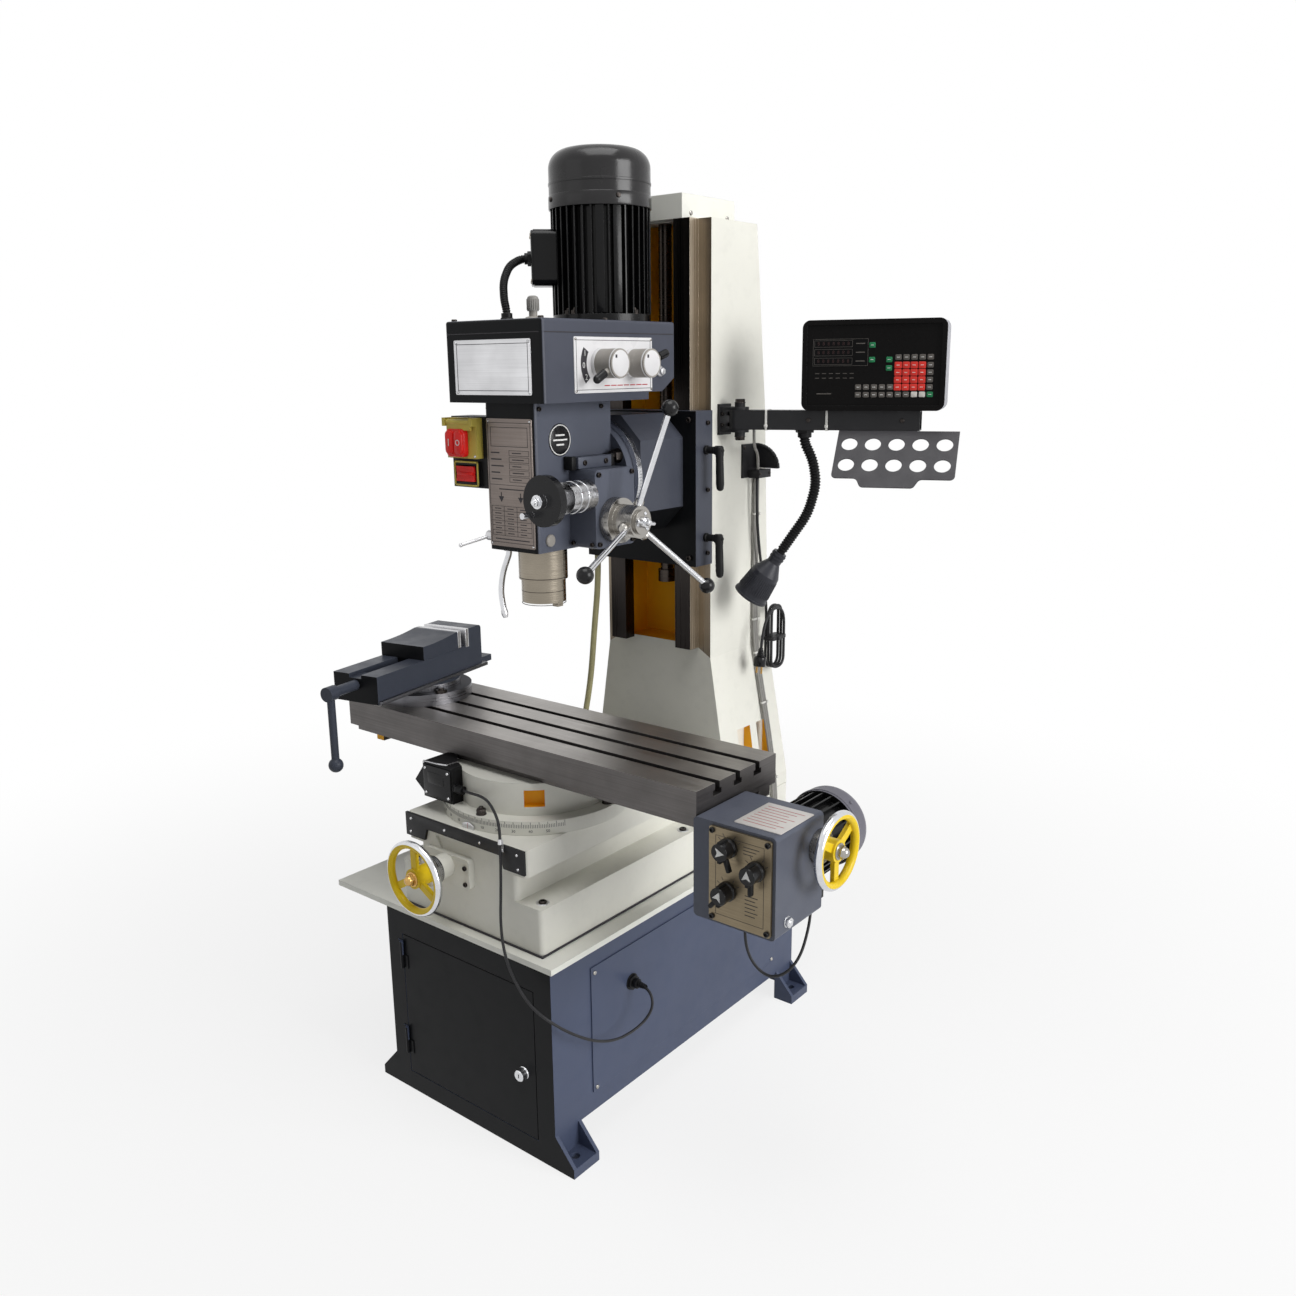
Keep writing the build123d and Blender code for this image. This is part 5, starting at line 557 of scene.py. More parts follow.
def add_figures(shape, matrix, radius, marks, height, size):
    """Figures round local z, reading along the axis."""
    upright = Matrix(((0, 0, 1, radius), (1, 0, 0, 0), (0, 1, 0, height), (0, 0, 0, 1)))
    for angle, words in marks:
        add_text(shape, turned_by(matrix, angle) @ upright, words, size, 0.12)


# Lists of forms
def on_plate(form, face, spots, *values):
    """The same form at several spots of one local frame."""
    return [(form, shifted(face, *spot), *values) for spot in spots]


def on_points(form, out, spots, *values):
    """The same form at several points, looking one way."""
    return [(form, place(spot, out), *values) for spot in spots]


def level_lines(face, *rows):
    """Thin lines along a plate's x: start, end, height and width of each."""
    return [(add_bar, face, (start, height), (end, height), width) for start, end, height, width in rows]


def dial_marks(dial, radius, step, low, length, width, count, unit, height, size):
    """Lines round a dial, one for each step in degrees, and a count of figures at a height."""
    figures = [(360 // count * number, str(unit * number)) for number in range(count)]
    ticks = (add_ticks, dial, radius, range(0, 360, step), low, length, width)
    return [ticks, (add_figures, dial, radius + 0.05, figures, height, size)]


def make_object(name, shape, material):
    """Object made of a finished shape."""
    mesh = bpy.data.meshes.new(name)
    shape.to_mesh(mesh)
    shape.free()
    mesh.materials.append(material)
    mesh.shade_smooth()
    made = bpy.data.objects.new(name, mesh)
    scene.collection.objects.link(made)
    return made


def piece(name, material, body, *parts):
    """One piece that rides on a body, made of several forms: each part is a form, then its values."""
    shape = bmesh.new()
    for form, *values in parts:
        form(shape, *values)
    made = make_object(name, shape, material)
    made.data.set_sharp_from_angle(angle=sharp_angle)
    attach(made, body)
    return made


# Camera, at the photograph's place
azimuth = radians(38.7555)
pitch = radians(-13.826)
roll = radians(-0.602)
ahead = Vector((-sin(azimuth) * cos(pitch), cos(azimuth) * cos(pitch), sin(pitch)))
level = Vector((cos(azimuth), sin(azimuth), 0))
above = level.cross(ahead)
right = level * cos(roll) + above * sin(roll)
camera_data = bpy.data.cameras.new("camera")
camera_data.sensor_width = 36.0
camera_data.lens = 31.836
camera_data.clip_start = 0.05
camera_data.clip_end = 60.0
camera = bpy.data.objects.new("camera", camera_data)
camera.matrix_world = Matrix((right, right.cross(ahead), -ahead)).transposed().to_4x4()
camera.location = Vector((1581.9, -1806.2, 1511.8)) * MM
scene.collection.objects.link(camera)
scene.camera = camera

# Light, background and floor, in metres
scene.view_settings.view_transform = "Standard"
light_aim = Vector((0.0, 0.0, 0.9))


def add_light(name, spot, width, height, power):
    """Soft box lamp aimed at the middle of the machine."""
    data = bpy.data.lights.new(name, "AREA")
    data.shape = "RECTANGLE"
    data.size = width
    data.size_y = height
    data.energy = power
    lamp = bpy.data.objects.new(name, data)
    lamp.location = spot
    lamp.rotation_euler = (light_aim - Vector(spot)).to_track_quat("-Z", "Y").to_euler()
    scene.collection.objects.link(lamp)


add_light("key", (6.5, 0.8, 2.6), 3.6, 3.6, 350)
add_light("front_fill", (-1.4, -4.2, 2.6), 3.0, 2.4, 7)
add_light("top", (0.6, -0.6, 4.4), 2.4, 2.4, 72)

# The background is white where it is seen and dim where it lights the machine
scene.world = bpy.data.worlds.new("studio")
sky = Nodes(scene.world)
white = (1.0, 1.0, 1.0, 1.0)
dim = sky.tree.nodes["Background"]
sky.fill(dim, {"Color": white, "Strength": 0.17})
bright = sky.add("Background", "Background", {"Color": white, "Strength": 1.0})
sky.show(sky.seen_rays(), dim.outputs["Background"], bright, "World Output")

# The floor fades into the white background away from the machine
ground = Nodes(bpy.data.materials.new("floor"))
matte = ground.tree.nodes["Principled BSDF"]
ground.fill(matte, {"Base Color": (0.80, 0.80, 0.80, 1), "Roughness": 0.9})
away = ground.add("VectorMath", "Value", {0: ground.add("TexCoord", "Object", {})}, operation="LENGTH")
fade = ground.spread(away, 0.80, 1.0, 0.6, 3.0, interpolation_type="SMOOTHSTEP")
glow = ground.add("Emission", "Emission", {"Strength": 1.0})
glow_share = ground.calculate("MULTIPLY", ground.seen_rays(), fade)
ground.show(glow_share, matte.outputs["BSDF"], glow, "Material Output")
floor_shape = bmesh.new()
bmesh.ops.create_grid(floor_shape, x_segments=8, y_segments=8, size=14.0)
make_object("floor", floor_shape, ground.owner)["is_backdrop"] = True


# Finish of every CAD node that is seen
def dress(node, material, *rules):
    """Gives a CAD node its materials: the first rule whose test holds for a face, or else the main one."""
    mesh = nodes[node].data
    mesh.materials.clear()
    mesh.materials.append(material)
    for chosen, test in rules:
        mesh.materials.append(chosen)
    for face in mesh.polygons:
        face.material_index = 0
        centre = face.center / MM
        for index, (chosen, test) in enumerate(rules, start=1):
            if test(centre, face.normal):
                face.material_index = index
                break


def behind_arm(spot):
    """Distance behind the middle line of the readout arm."""
    return (spot.y - arm_pivot_y) * cos(arm_turn) - (spot.x - arm_pivot_x) * sin(arm_turn)


def faces_front(low):
    """Test for faces that look to the operator and lie further forward than low."""
    return lambda spot, out: out.y < -0.6 and spot.y < low


def wheel_radius(spot):
    return hypot(spot.x - front_wheel_x, spot.z - front_wheel_z)


def side_radius(spot):
    return hypot(spot.y - side_wheel_y, spot.z - side_wheel_z)


def capstan_radius(spot):
    return hypot(spot.y - capstan_y, spot.z - capstan_z)


def fine_radius(spot):
    return hypot(spot.x - fine_x, spot.z - fine_z)


def speed_lever(spot, out):
    return min(hypot(spot.y - knob_y, spot.z - speed_knob_z) for knob_y in speed_knob_ys.values()) > 36


def in_turntable_pocket(spot, out):
    return 685 < spot.z < 721 and hypot(spot.x, spot.y - turntable_y) < 157 and spot.x > 70


def in_recess(spot, out):
    return abs(spot.x) < 86 and 202 < spot.y < 271 and spot.z > 905


def in_bolt_pocket(spot, out):
    return 150 < abs(spot.x) < 200 and 269 < spot.y < 401 and 571 < spot.z < 701 and abs(out.x) < 0.98


def on_way(spot, out):
    return 70 < abs(spot.x) < 114 and spot.y < 203.5 and spot.z > 899


for material, names in (
    (cream, ("y_bracket", "saddle")),
    (cream_sheet, ("chip_tray", "column_cap")),
    # Painted light: the feed gearbox and its housing take the lighter casting paint
    (painted_light_casting, ("feed_gearbox", "feed_housing")),
    (black_plastic, ("limit_switch", "conduit", "gooseneck")),
    (black_plastic, [f"feed_knob_{number}" for number in feed_knobs]),
    (turned_z, ("motor_rotor", "idler_gear", "quill", "spindle")),
    (powder_black, ("column_brackets", "readout_arm")),
    (plate_tan, ("feed_plate",)),
    (vise_iron, ("vise_base",)),
    (vise_paint, ("vise_screw",)),
    (screw_dark, ("lift_screw",)),
    (red_plastic, ("rocker",)),
    (brushed, ("quill_lock",)),
    (chrome, ("nozzle",)),
    (powder_grey, ("tool_tray",)),
    (lamp_black, ("lamp_shade",)),
):
    for name in names:
        dress(name, material)
for number in speed_knob_ys:
    dress(f"speed_knob_{number}", knob_grey, (gloss_black, speed_lever))
# Painted shade: the cabinet's front faces and the whole door take the dark front paint
dress("cabinet", cabinet_paint, (painted_front_shade, faces_front(-420)))
dress("door", painted_front_shade, (chrome, lambda spot, out: spot.y < -430 and spot.x > 140))
dress("side_cover", cabinet_paint, (black_plastic, lambda spot, out: spot.x > 238.5))
dress("base_casting", cream,
      (ground_side, lambda spot, out: spot.z > 583.7 and abs(spot.x) < 84 and out.y > -0.6))
dress("front_handwheel", wheel_yellow,
      (turned_y, lambda spot, out: spot.y > -471),
      (chrome, lambda spot, out: wheel_radius(spot) > 69.5))
dress("turntable", cream, (amber, in_turntable_pocket))
dress("table", ground_side,
      (ground_top, lambda spot, out: out.z > 0.7 and spot.z > 809),
      (amber, lambda spot, out: spot.x < -446))
dress("feed_motor", motor_black, (feed_cowl_grey, lambda spot, out: spot.y > -47))
dress("side_handwheel", wheel_yellow,
      (turned_x, lambda spot, out: spot.x < 679),
      (chrome, lambda spot, out: side_radius(spot) > 63.5))
# Painted shade: the front faces of the vise body and jaw take the dark front paint
dress("vise_body", vise_paint,
      (vise_iron, lambda spot, out: spot.z < 848.6),
      (painted_front_shade, lambda spot, out: out.y < -0.6))
dress("vise_jaw", vise_paint, (painted_front_shade, lambda spot, out: out.y < -0.6))
dress("column", cream,
      (amber, in_recess),
      (amber, in_bolt_pocket),
      # Painted shade: the fronts and inner faces of the ways take the dark steel, their outer sides the
      # bright ground steel
      (dark_steel_and_painted_shade, lambda spot, out: on_way(spot, out) and out.x * spot.x < 60),
      (way_ground, on_way),
      # Painted shade: the column's front lands take the darker machined metal
      (column_land_painted_shade, lambda spot, out: out.y < -0.9 and abs(spot.x) > 113 and spot.z > 905))
# Painted shade: the carriage's undersides and the front of its slab take the dark front paint
dress("carriage", slate_cast,
      (chrome, lambda spot, out: spot.y < -0.5),
      (painted_front_shade, lambda spot, out: out.z < -0.6 or (out.y < -0.6 and spot.y > 100)))
# Painted light and shade: the head body takes the lighter casting paint, and the front faces of the head,
# gearbox and lid take the dark front paint
dress("head_body", painted_light_casting, (painted_front_shade, faces_front(-240)))
dress("gearbox_housing", slate, (painted_front_shade, faces_front(-270)))
dress("gearbox_lid", slate, (painted_front_shade, faces_front(-270)))
dress("motor", motor_black, (cowl_grey, lambda spot, out: spot.z > 1834))
dress("capstan", turned_x,
      (gloss_black, lambda spot, out: capstan_radius(spot) > 202.5),
      (chrome, lambda spot, out: capstan_radius(spot) > 31.7 and spot.x > 157))
dress("fine_wheel", turned_y,
      (gloss_black, lambda spot, out: -282.6 < spot.y < -265.5 and fine_radius(spot) > 15),
      (chrome, lambda spot, out: spot.y < -282))
dress("switch_box", black_plastic, (frame_yellow, lambda spot, out: spot.y < -246.5 and spot.z > 1338))
dress("readout_box", case_grey, (panel_black, lambda spot, out: behind_arm(spot) < -18))

# Head: plates
sign = on_front(-1.5, -284, 1512)
sign_face = shifted(sign, 0, 0, 1.6)
piece("sign_plate", brushed, "head", (add_prism, sign, rounded(201, 100, 3), -0.3, 1.6, 0.5))
piece("sign_plate_border", plate_line, "head", (add_frame, sign_face, 186, 84, 1.1))
piece("sign_plate_rivets", turned_y, "head", *on_plate(add_pan, sign_face, corners_of(190, 90), 3.0))

data = on_front(0, -249, 1295.5)
data_face = shifted(data, 0, 0, 1.4)
piece("data_plate", plate_grey, "head", (add_prism, data, rounded(121, 245, 3), -0.3, 1.4, 0.4))
piece("data_plate_rivets", turned_y, "head", *on_plate(add_pan, data_face, corners_of(111, 235), 2.2))
data_lines = [(add_frame, data_face, 113, 229, 0.9), (add_frame, data_face, 98, 36, 1.0, (0, 88))]
data_lines += level_lines(data_face, (-56, 56, -3, 0.9), (-30, 34, -11, 2.0), (-45, 45, -108, 2.0))
for row in range(5):
    height = 58 - 12.5 * row
    data_lines.append((add_frame, data_face, 52, 9.5, 0.7, (25, height)))
    data_lines += level_lines(data_face, (-49, -28 + 5 * (row % 3), height, 2.4))
    data_lines += level_lines(data_face, (8, 30 + 7 * (row % 2), height, 1.8))
for middle in (-26, 26):
    arrow = [(middle - 7, -25), (middle, -36), (middle + 7, -25)]
    data_lines.append((add_prism, data_face, arrow, -0.1, 0.3))
    data_lines.append((add_bar, data_face, (middle, -18), (middle, -26), 2.0))
grid_top = -44
grid_step = 9.5
data_lines += level_lines(data_face, *[(-53, 53, grid_top - grid_step * row, 0.7) for row in range(7)])
for row, column in product(range(6), (-36, -2, 32)):
    data_lines += level_lines(data_face, (column - 8, column + 7, grid_top - grid_step * row - 4.8, 1.6))
for column in (-53, -20, 15, 53):
    data_lines.append((add_bar, data_face, (column, grid_top), (column, grid_top - 6 * grid_step), 0.7))
piece("data_plate_lines", plate_line, "head", *data_lines)

speed = on_right(gearbox_side, -87, 1514.5)
speed_face = shifted(speed, 0, 0, 1.4)
first_knob = shifted(speed_face, -41, 2.5)
arc = [polar(56, angle) for angle in range(148, 221, 6)]
arc += [polar(40, angle) for angle in range(220, 147, -6)]
arc_figures = {157: "1", 184: "0", 211: "2"}
red_dashes = [(-30 + 19 * step, -16 + 19 * step, -38, 2.0) for step in range(7)]
piece("speed_plate", plate_white, "head", (add_prism, speed, rounded(229, 102, 3), -0.3, 1.4, 0.4))
piece("speed_plate_border", plate_line, "head", (add_frame, speed_face, 217, 90, 1.0))
piece("speed_plate_arc", plate_line, "head", (add_prism, first_knob, arc, -0.2, 0.35))
piece("speed_plate_figures", mark_white, "head",
      *[(add_text, shifted(first_knob, *polar(48, angle), 0.4), words, 15, 0.15)
        for angle, words in arc_figures.items()])
piece("speed_plate_red_line", plate_red, "head", *level_lines(speed_face, *red_dashes))
piece("speed_plate_rivets", turned_x, "head", *on_plate(add_pan, speed_face, corners_of(221, 94), 2.6))

label = on_right(head_side, -180, 1376.5)
label_face = shifted(label, 0, 0, 1.1)
piece("round_label", gloss_black, "head",
      (add_turned, label, [(0, -0.3), (31, -0.3), (31, 0.6), (30, 1.2), (0, 1.2)], 64))
piece("round_label_ring", mark_white, "head", (add_ring, label_face, 27.2, 29.2, 0, 0.35, 64),
      *level_lines(label_face, (-11, 11, 9, 3.2), (-18, 18, 0, 3.2), (-9, 9, -9, 3.2)))

# Head: plugs, bolts and trims
sight = on_right(gearbox_side, 53, 1501)
piece("sight_plug", brushed, "head",
      (add_turned, sight, [(0, -0.5), (10.5, -0.5), (10.5, 3), (9, 4.4), (0, 4.4)], 32),
      (add_hex, shifted(sight, 0, 0, 3.6), 13, 7))
head_plug = [(0, -0.5), (12, -0.5), (12, 2.4), (10.6, 4), (6, 4.8), (0, 5)]
piece("head_plug", knob_grey, "head", (add_turned, on_right(head_side, -215, 1187.5), head_plug, 36))
piece("head_screws", dark_steel_and_painted_shade, "head",
      *on_points(add_socket, to_right, product((head_side,), (-236, -60), (1436,)), 4.5),
      *on_points(add_socket, to_left, [(-head_side, -236, 1436)], 4.5),
      *on_points(add_socket, to_right, product((133,), (-148, -49), (1177, 1311)), 5),
      *on_points(add_socket, to_front, product((75, 124), (-157,), (1177,)), 4.5))
swivel = on_front(0, 0, swivel_z)
swivel_nuts = [(*polar(94, angle), 30) for angle in (28, 152, 208, 332)]
piece("swivel_nuts", dark_steel_and_painted_shade, "head", *on_plate(add_nut, swivel, swivel_nuts, 24, 17))
bar = on_right(92, -108, 1331.5)
# Painted light: the adjusting bar takes the lighter casting paint
piece("adjust_bar", painted_light_casting, "head", (add_box, bar, (98, 23, 26), 2.0, (0, 0, -13)))
piece("adjust_bar_ends", black_plastic, "head",
      *[(add_box, bar, (12, 26, 22), 1.5, (x, 0, -14)) for x in (-58, 56)])
piece("adjust_bar_screws", dark_steel_and_painted_shade, "head", *on_plate(add_socket, bar, ((-31, 0), (31, 0)), 5.5, 3))

cap = on_top(0, -173, 1597)
piece("oil_cap_base", knob_grey, "head",
      (add_turned, cap, [(0, -0.5), (17, -0.5), (17, 4), (14, 7), (8, 8.5), (8, 20), (0, 20)], 40))
piece("oil_cap", cord_grey, "head",
      (add_turned, cap, [(0, 18), (11, 18), (11, 40), (9.5, 44), (6, 46), (0, 46)], 40),
      *[(add_box, turned_by(cap, 18 * step), (1.8, 1.6, 20), 0.5, (11.2, 0, 30)) for step in range(20)])

# Gearbox lid: seam line round it and screws in its corners
lid_low, lid_high = [Vector(corner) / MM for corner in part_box("gearbox_lid")]
lid_half = (lid_high - lid_low) / 2
seam = on_top(lid_low.x + lid_half.x, lid_low.y + lid_half.y, lid_low.z)
seam_bars = []
for side in (-1, 1):
    seam_bars.append((add_box, seam, (2 * lid_half.x - 14, 1.0, 1.8), 0.0, (0, side * lid_half.y, 0)))
    seam_bars.append((add_box, seam, (1.0, 2 * lid_half.y - 14, 1.8), 0.0, (side * lid_half.x, 0, 0)))
piece("lid_seam", plate_line, "head", *seam_bars)
piece("lid_screws", dark_steel_and_painted_shade, "head",
      *on_points(add_socket, to_top, product((-113, 113), (-271, -96), (lid_high.z,)), 5.5, 4))

# Motor: cowl skirt with its screws, flat pads between the fins, terminal box lid and glands
motor_axis = on_top(0, motor_y, 0)
skirt = [(99.6, 1813), (101.8, 1812.4), (102.4, 1814), (102.2, 1836), (101.2, 1838), (100, 1838)]
piece("cowl_skirt", cowl_grey, "head",
      (add_turned, motor_axis, skirt, 96),
      (add_ring, motor_axis, 99.8, 102.0, 1857, 1862, 96))
cowl_screws = []
for angle in (-29, 61, 151, 241):
    x, y = polar(102.2, angle)
    cowl_screws.append((add_pan, place((x, motor_y + y, 1829), (x, y, 0)), 5.0))
piece("cowl_screws", dark_steel_and_painted_shade, "head", *cowl_screws)
piece("motor_pads", motor_black, "head",
      *[(add_box, turned_by(motor_axis, angle), (14, 17, 200), 1.5, (92.6, 0, 1713))
        for angle in (-50, -30, 130, 150, 40, 60)])
piece("motor_flange_bolts", dark_steel_and_painted_shade, "head",
      *[(add_nut, shifted(turned_by(motor_axis, angle), 92, 0, 1612), 13, 8)
        for angle in (-85, -5, 85, 175, 265)])
box_out = Vector((*polar(1, 225), 0))
box_lid = place(Vector((0, motor_y, 1721.5)) + box_out * 135, box_out, (-box_out.y, box_out.x, 0))
box_face = shifted(box_lid, 0, 0, 4.6)
piece("terminal_lid", motor_black, "head", (add_prism, box_lid, rounded(71, 104, 12), -0.5, 5, 2.0))
piece("terminal_screws", turned_z, "head", *on_plate(add_pan, box_face, corners_of(54, 86), 3.4))
conduit_start = shifted(box_lid, 0, 0, 4)
conduit_foot = place((-92, -152, 1597), to_top)
piece("conduit_glands", black_plastic, "head",
      (add_hex, conduit_start, 25, 8),
      (add_ring, conduit_start, 8.1, 11, 7, 14),
      (add_hex, conduit_foot, 25, 9),
      (add_ring, conduit_foot, 8.1, 11, 8, 18))

# Switch box: yellow border round the rocker, screws, flap with two raised pads and their marks
lower_frame = on_front(switch_x, -253, 1309.5)
piece("rocker_border", frame_yellow, "head",
      *[(add_box, lower_frame, (68, 3.6, 2.4), 0.6, (0, y, 0.8)) for y in (-22.7, 22.7)],
      *[(add_box, lower_frame, (3.6, 49, 2.4), 0.6, (x, 0, 0.8)) for x in (-32.2, 32.2)])
upper_frame = on_front(switch_x, -262, 1379)
piece("switch_screws", turned_y, "head",
      *on_plate(add_pan, upper_frame, ((-36, -34.5), (36, -34.5)), 2.8),
      *on_points(add_pan, to_left, product((-165,), (-237, -200), (1290, 1412)), 3))
flap = on_front(switch_x, -274, 1376)
flap_body = piece("stop_flap_body", red_plastic, "stop_flap",
                  (add_prism, shifted(flap, -7.2, -6), rounded(52, 54, 9), -11, 0, 3.0),
                  *on_plate(add_prism, flap, ((-20, -5), (5.5, -5)), rounded(23, 46, 9), -0.5, 5, 3.2))
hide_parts("stop_flap")
piece("stop_flap_hinge", frame_yellow, "stop_flap",
      (add_box, flap, (66, 16, 6.4), 1.2, (0, 26, -6)),
      (add_ring, place((-151, -268, 1410), to_right), 2.8, 5.2, 0, 66, 28))
piece("stop_flap_marks", mark_white, "stop_flap",
      (add_bar, shifted(flap, -20, -5, 5), (0, -6), (0, 6), 2.0),
      (add_ring, shifted(flap, 5.5, -5, 5), 4.0, 5.8, -0.1, 0.3, 32))
rocker_mid = on_front(switch_x, -256.2, 1309.5)
piece("rocker_bar", red_plastic, "rocker", (add_box, rocker_mid, (42, 5, 5), 1.4, (0, 0, 0.6)))

# Coolant nozzle tip and collar
nozzle_tip = [(0, -6), (6.8, -6), (7.2, -2), (6.6, 4), (4.2, 10), (3, 10), (3, 6), (0, 6)]
piece("nozzle_tip", brushed, "head",
      (add_turned, place((-77, -205, 1026), (9, 0, -40)), nozzle_tip, 24),
      (add_hex, place((-57, -205, 1165), to_floor), 20, 9))

# Dark rings on the quill and the spindle nose
quill_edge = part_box("quill")[0][2] / MM
nose_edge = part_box("spindle")[0][2] / MM
spindle_axis = on_top(0, spindle_y, 0)
piece("quill_rings", screw_dark, "quill",
      (add_ring, spindle_axis, 47, 49.2, quill_edge + 2.2, quill_edge + 4.4, 64))
piece("spindle_rings", screw_dark, "spindle",
      (add_ring, spindle_axis, 43, 44.7, nose_edge + 30, nose_edge + 31.6, 64),
      (add_ring, spindle_axis, 43, 44.7, nose_edge + 4, nose_edge + 5.2, 64))

# Speed knobs: pale faces with an index mark
for number, knob_y in speed_knob_ys.items():
    face = on_right(176.9, knob_y, speed_knob_z)
    body = f"speed_knob_{number}"
    piece(f"speed_knob_face_{number}", plate_white, body,
          (add_turned, face, [(0, 0.9), (22.5, 0.9), (24, 0.2), (24, -0.3)], 48),
          (add_ring, face, 25.2, 27.7, -6, -3.4, 48),
          (add_ring, face, 25.2, 28.2, -49, -42, 48))
    piece(f"speed_knob_mark_{number}", plate_line, body, (add_box, face, (5, 6, 1.2), 0.3, (-13, 13, 0.8)))


# Capstan: cross handle on the hub, dial lines, collars of the levers
def round_capstan(x, radius, angle):
    """Point round the capstan's axis, by degrees."""
    back, up = polar(radius, angle)
    return x, capstan_y + back, capstan_z + up


hub_face = on_right(207.4, capstan_y, capstan_z)
piece("capstan_clamp", chrome, "capstan",
      (add_turned, hub_face, [(0, -0.5), (11, -0.5), (11, 6), (9.5, 9), (5, 10), (0, 10)], 32),
      (add_rod, (213, -129, 1226), (213, -77, 1216), 4.2),
      (add_rod, (205, capstan_y, capstan_z), (226, capstan_y, capstan_z), 6.5),
      *[(add_socket, shifted(turned_by(hub_face, angle), 17.5, 0, -0.3), 3.6, 2) for angle in (70, 190, 310)])
capstan_dial = on_right(133.4, capstan_y, capstan_z)
piece("capstan_dial_lines", plate_line, "capstan",
      *dial_marks(capstan_dial, radius=44, step=6, low=3, length=8, width=0.7,
                  count=10, unit=1, height=16, size=7))
piece("capstan_lever_collars", turned_x, "capstan",
      *[(add_rod, round_capstan(185, 29, angle), round_capstan(190.5, 45, angle), 10)
        for angle in (71.5, 191.5, 311.5)])

# Fine feed: dial lines, hub nut, rings on the dial
fine_dial = on_front(fine_x, -157.4, fine_z)
piece("fine_dial_lines", plate_line, "fine_wheel",
      *dial_marks(fine_dial, radius=30, step=6, low=2, length=9, width=0.6,
                  count=10, unit=1, height=17, size=6.5))
stud_end = [(0, 0), (5.5, 0), (5, 4), (2.5, 6), (0, 6.4)]
piece("fine_wheel_nut", chrome, "fine_wheel",
      (add_hex, place((fine_x, -296, fine_z), to_front), 15, 7),
      (add_turned, place((fine_x, -302, fine_z), to_front), stud_end, 20),
      (add_ring, fine_dial, 29, 31.4, 24, 28),
      (add_ring, fine_dial, 29, 31.4, 44, 48))

# Carriage and column
piece("swivel_lines", plate_line, "carriage", (add_ticks, swivel, 122, range(-60, 241, 3), 1, 9, 0.8))
keeper_heights = (1120, 1255, 1395)
piece("carriage_screws", dark_steel_and_painted_shade, "carriage",
      *on_points(add_socket, to_right, product((152,), (181,), keeper_heights), 5),
      *on_points(add_socket, to_left, product((-152,), (181,), keeper_heights), 5),
      *on_points(add_socket, to_front, product((-136, 136), (141,), (1112, 1402)), 6))
clamp_grip = [(0, -10), (6, -9.6), (8.8, -6), (9.2, 8), (8.2, 14)]
clamp_grip += [(8.6, 40), (8.8, 70), (7.4, 80), (4, 83.6), (0, 84.4)]
clamp_hub = [(0, 0.3), (9.6, 0.3), (9.6, 5), (7.6, 6.4), (7.6, 24), (9.6, 26), (9.6, 33), (0, 33)]
for side, stud_z in (("upper", 1339), ("lower", 1154)):
    lever = piece(f"clamp_handle_{side}", black_plastic, f"clamp_{side}",
                  (add_turned, place((187.5, 176, stud_z), (2, 0, -76)), clamp_grip, 28),
                  (add_turned, place((152.4, 176, stud_z), to_right), clamp_hub, 28),
                  (add_socket, place((196, 176, stud_z), to_right), 4.6, 1.2))
    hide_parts(f"clamp_lever_{side}")
piece("column_bolts", dark_steel_and_painted_shade, "stand",
      *on_points(add_nut, to_top, product((-176, 176), (296, 374), (572,)), 30, 20))
piece("column_cap_screws", turned_x, "stand",
      *on_points(add_pan, to_left, product((-92,), (205, 335), (1816,)), 5),
      *on_points(add_pan, to_right, product((92,), (205, 335), (1816,)), 5))
bracket_ys = (arm_pivot_y - 14, arm_pivot_y + 14)
piece("column_bracket_screws", dark_steel_and_painted_shade, "stand",
      *on_points(add_socket, to_right, product((153,), bracket_ys, (1388, 1411)), 4.5),
      *on_points(add_pan, to_right, product((150,), (325, 368), (1334,)), 4),
      *on_points(add_pan, to_right, product((180,), (343, 381), (1277,)), 3.4),
      (add_hex, place((arm_pivot_x, arm_pivot_y, arm_z + 35), to_top), 19, 8),
      (add_hex, place((arm_pivot_x, arm_pivot_y, arm_z - 35), to_floor), 19, 8))

# Stand
piece("side_cover_screws", turned_x, "stand",
      *on_points(add_pan, to_right, product((cover_side,), (-308, 331), (118, 369)), 4.6))
cabinet_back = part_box("cabinet")[1][1] / MM
back_cover = place((0, cabinet_back, 262), to_back, to_left)
back_face = shifted(back_cover, 0, 0, 1.8)
piece("cabinet_back_cover", cabinet_paint, "stand",
      (add_prism, back_cover, rounded(330, 250, 6), -0.5, 2.0, 0.6))
piece("cabinet_back_screws", turned_y, "stand", *on_plate(add_pan, back_face, corners_of(306, 226), 4.4))
# Folded sill under the cabinet's shelf, behind the lower edge of the door opening
sill = on_right(-198, -425.5, 67)
sill_outline = [(0, 0), (30, 0), (30, -2.6), (2.6, -2.6), (2.6, -33.4), (30, -33.4), (30, -36), (0, -36)]
piece("cabinet_sill", cabinet_paint, "stand", (add_prism, sill, sill_outline, 0, 396))
# Gland of the switch cable, door lock, bolts and seal of the base
gland = place((cover_side, -195, 299), to_right)
boot = [(6.2, 17)]
for ring in range(4):
    rib = 6.8 - 0.6 * ring
    groove = 5.4 - 0.4 * ring
    low = 18 + 5 * ring
    boot += [(rib, low), (rib, low + 3), (groove, low + 3.6), (groove - 0.2, low + 4.6)]
boot.append((3.6, 38))
piece("cabinet_gland", black_plastic, "stand",
      (add_hex, gland, 28, 7.2), (add_ring, gland, 8, 10.4, 9, 17), (add_turned, gland, boot, 24))
lock = on_front(158, -429, 182)
lock_profile = [(13, -0.3), (13, 2), (12, 3), (11.6, 4), (11.6, 15.9)]
lock_profile += [(10, 17.4), (5.8, 17.4), (5.4, 16.8), (0, 16.8)]
piece("door_lock", chrome, "door", (add_turned, lock, lock_profile, 40))
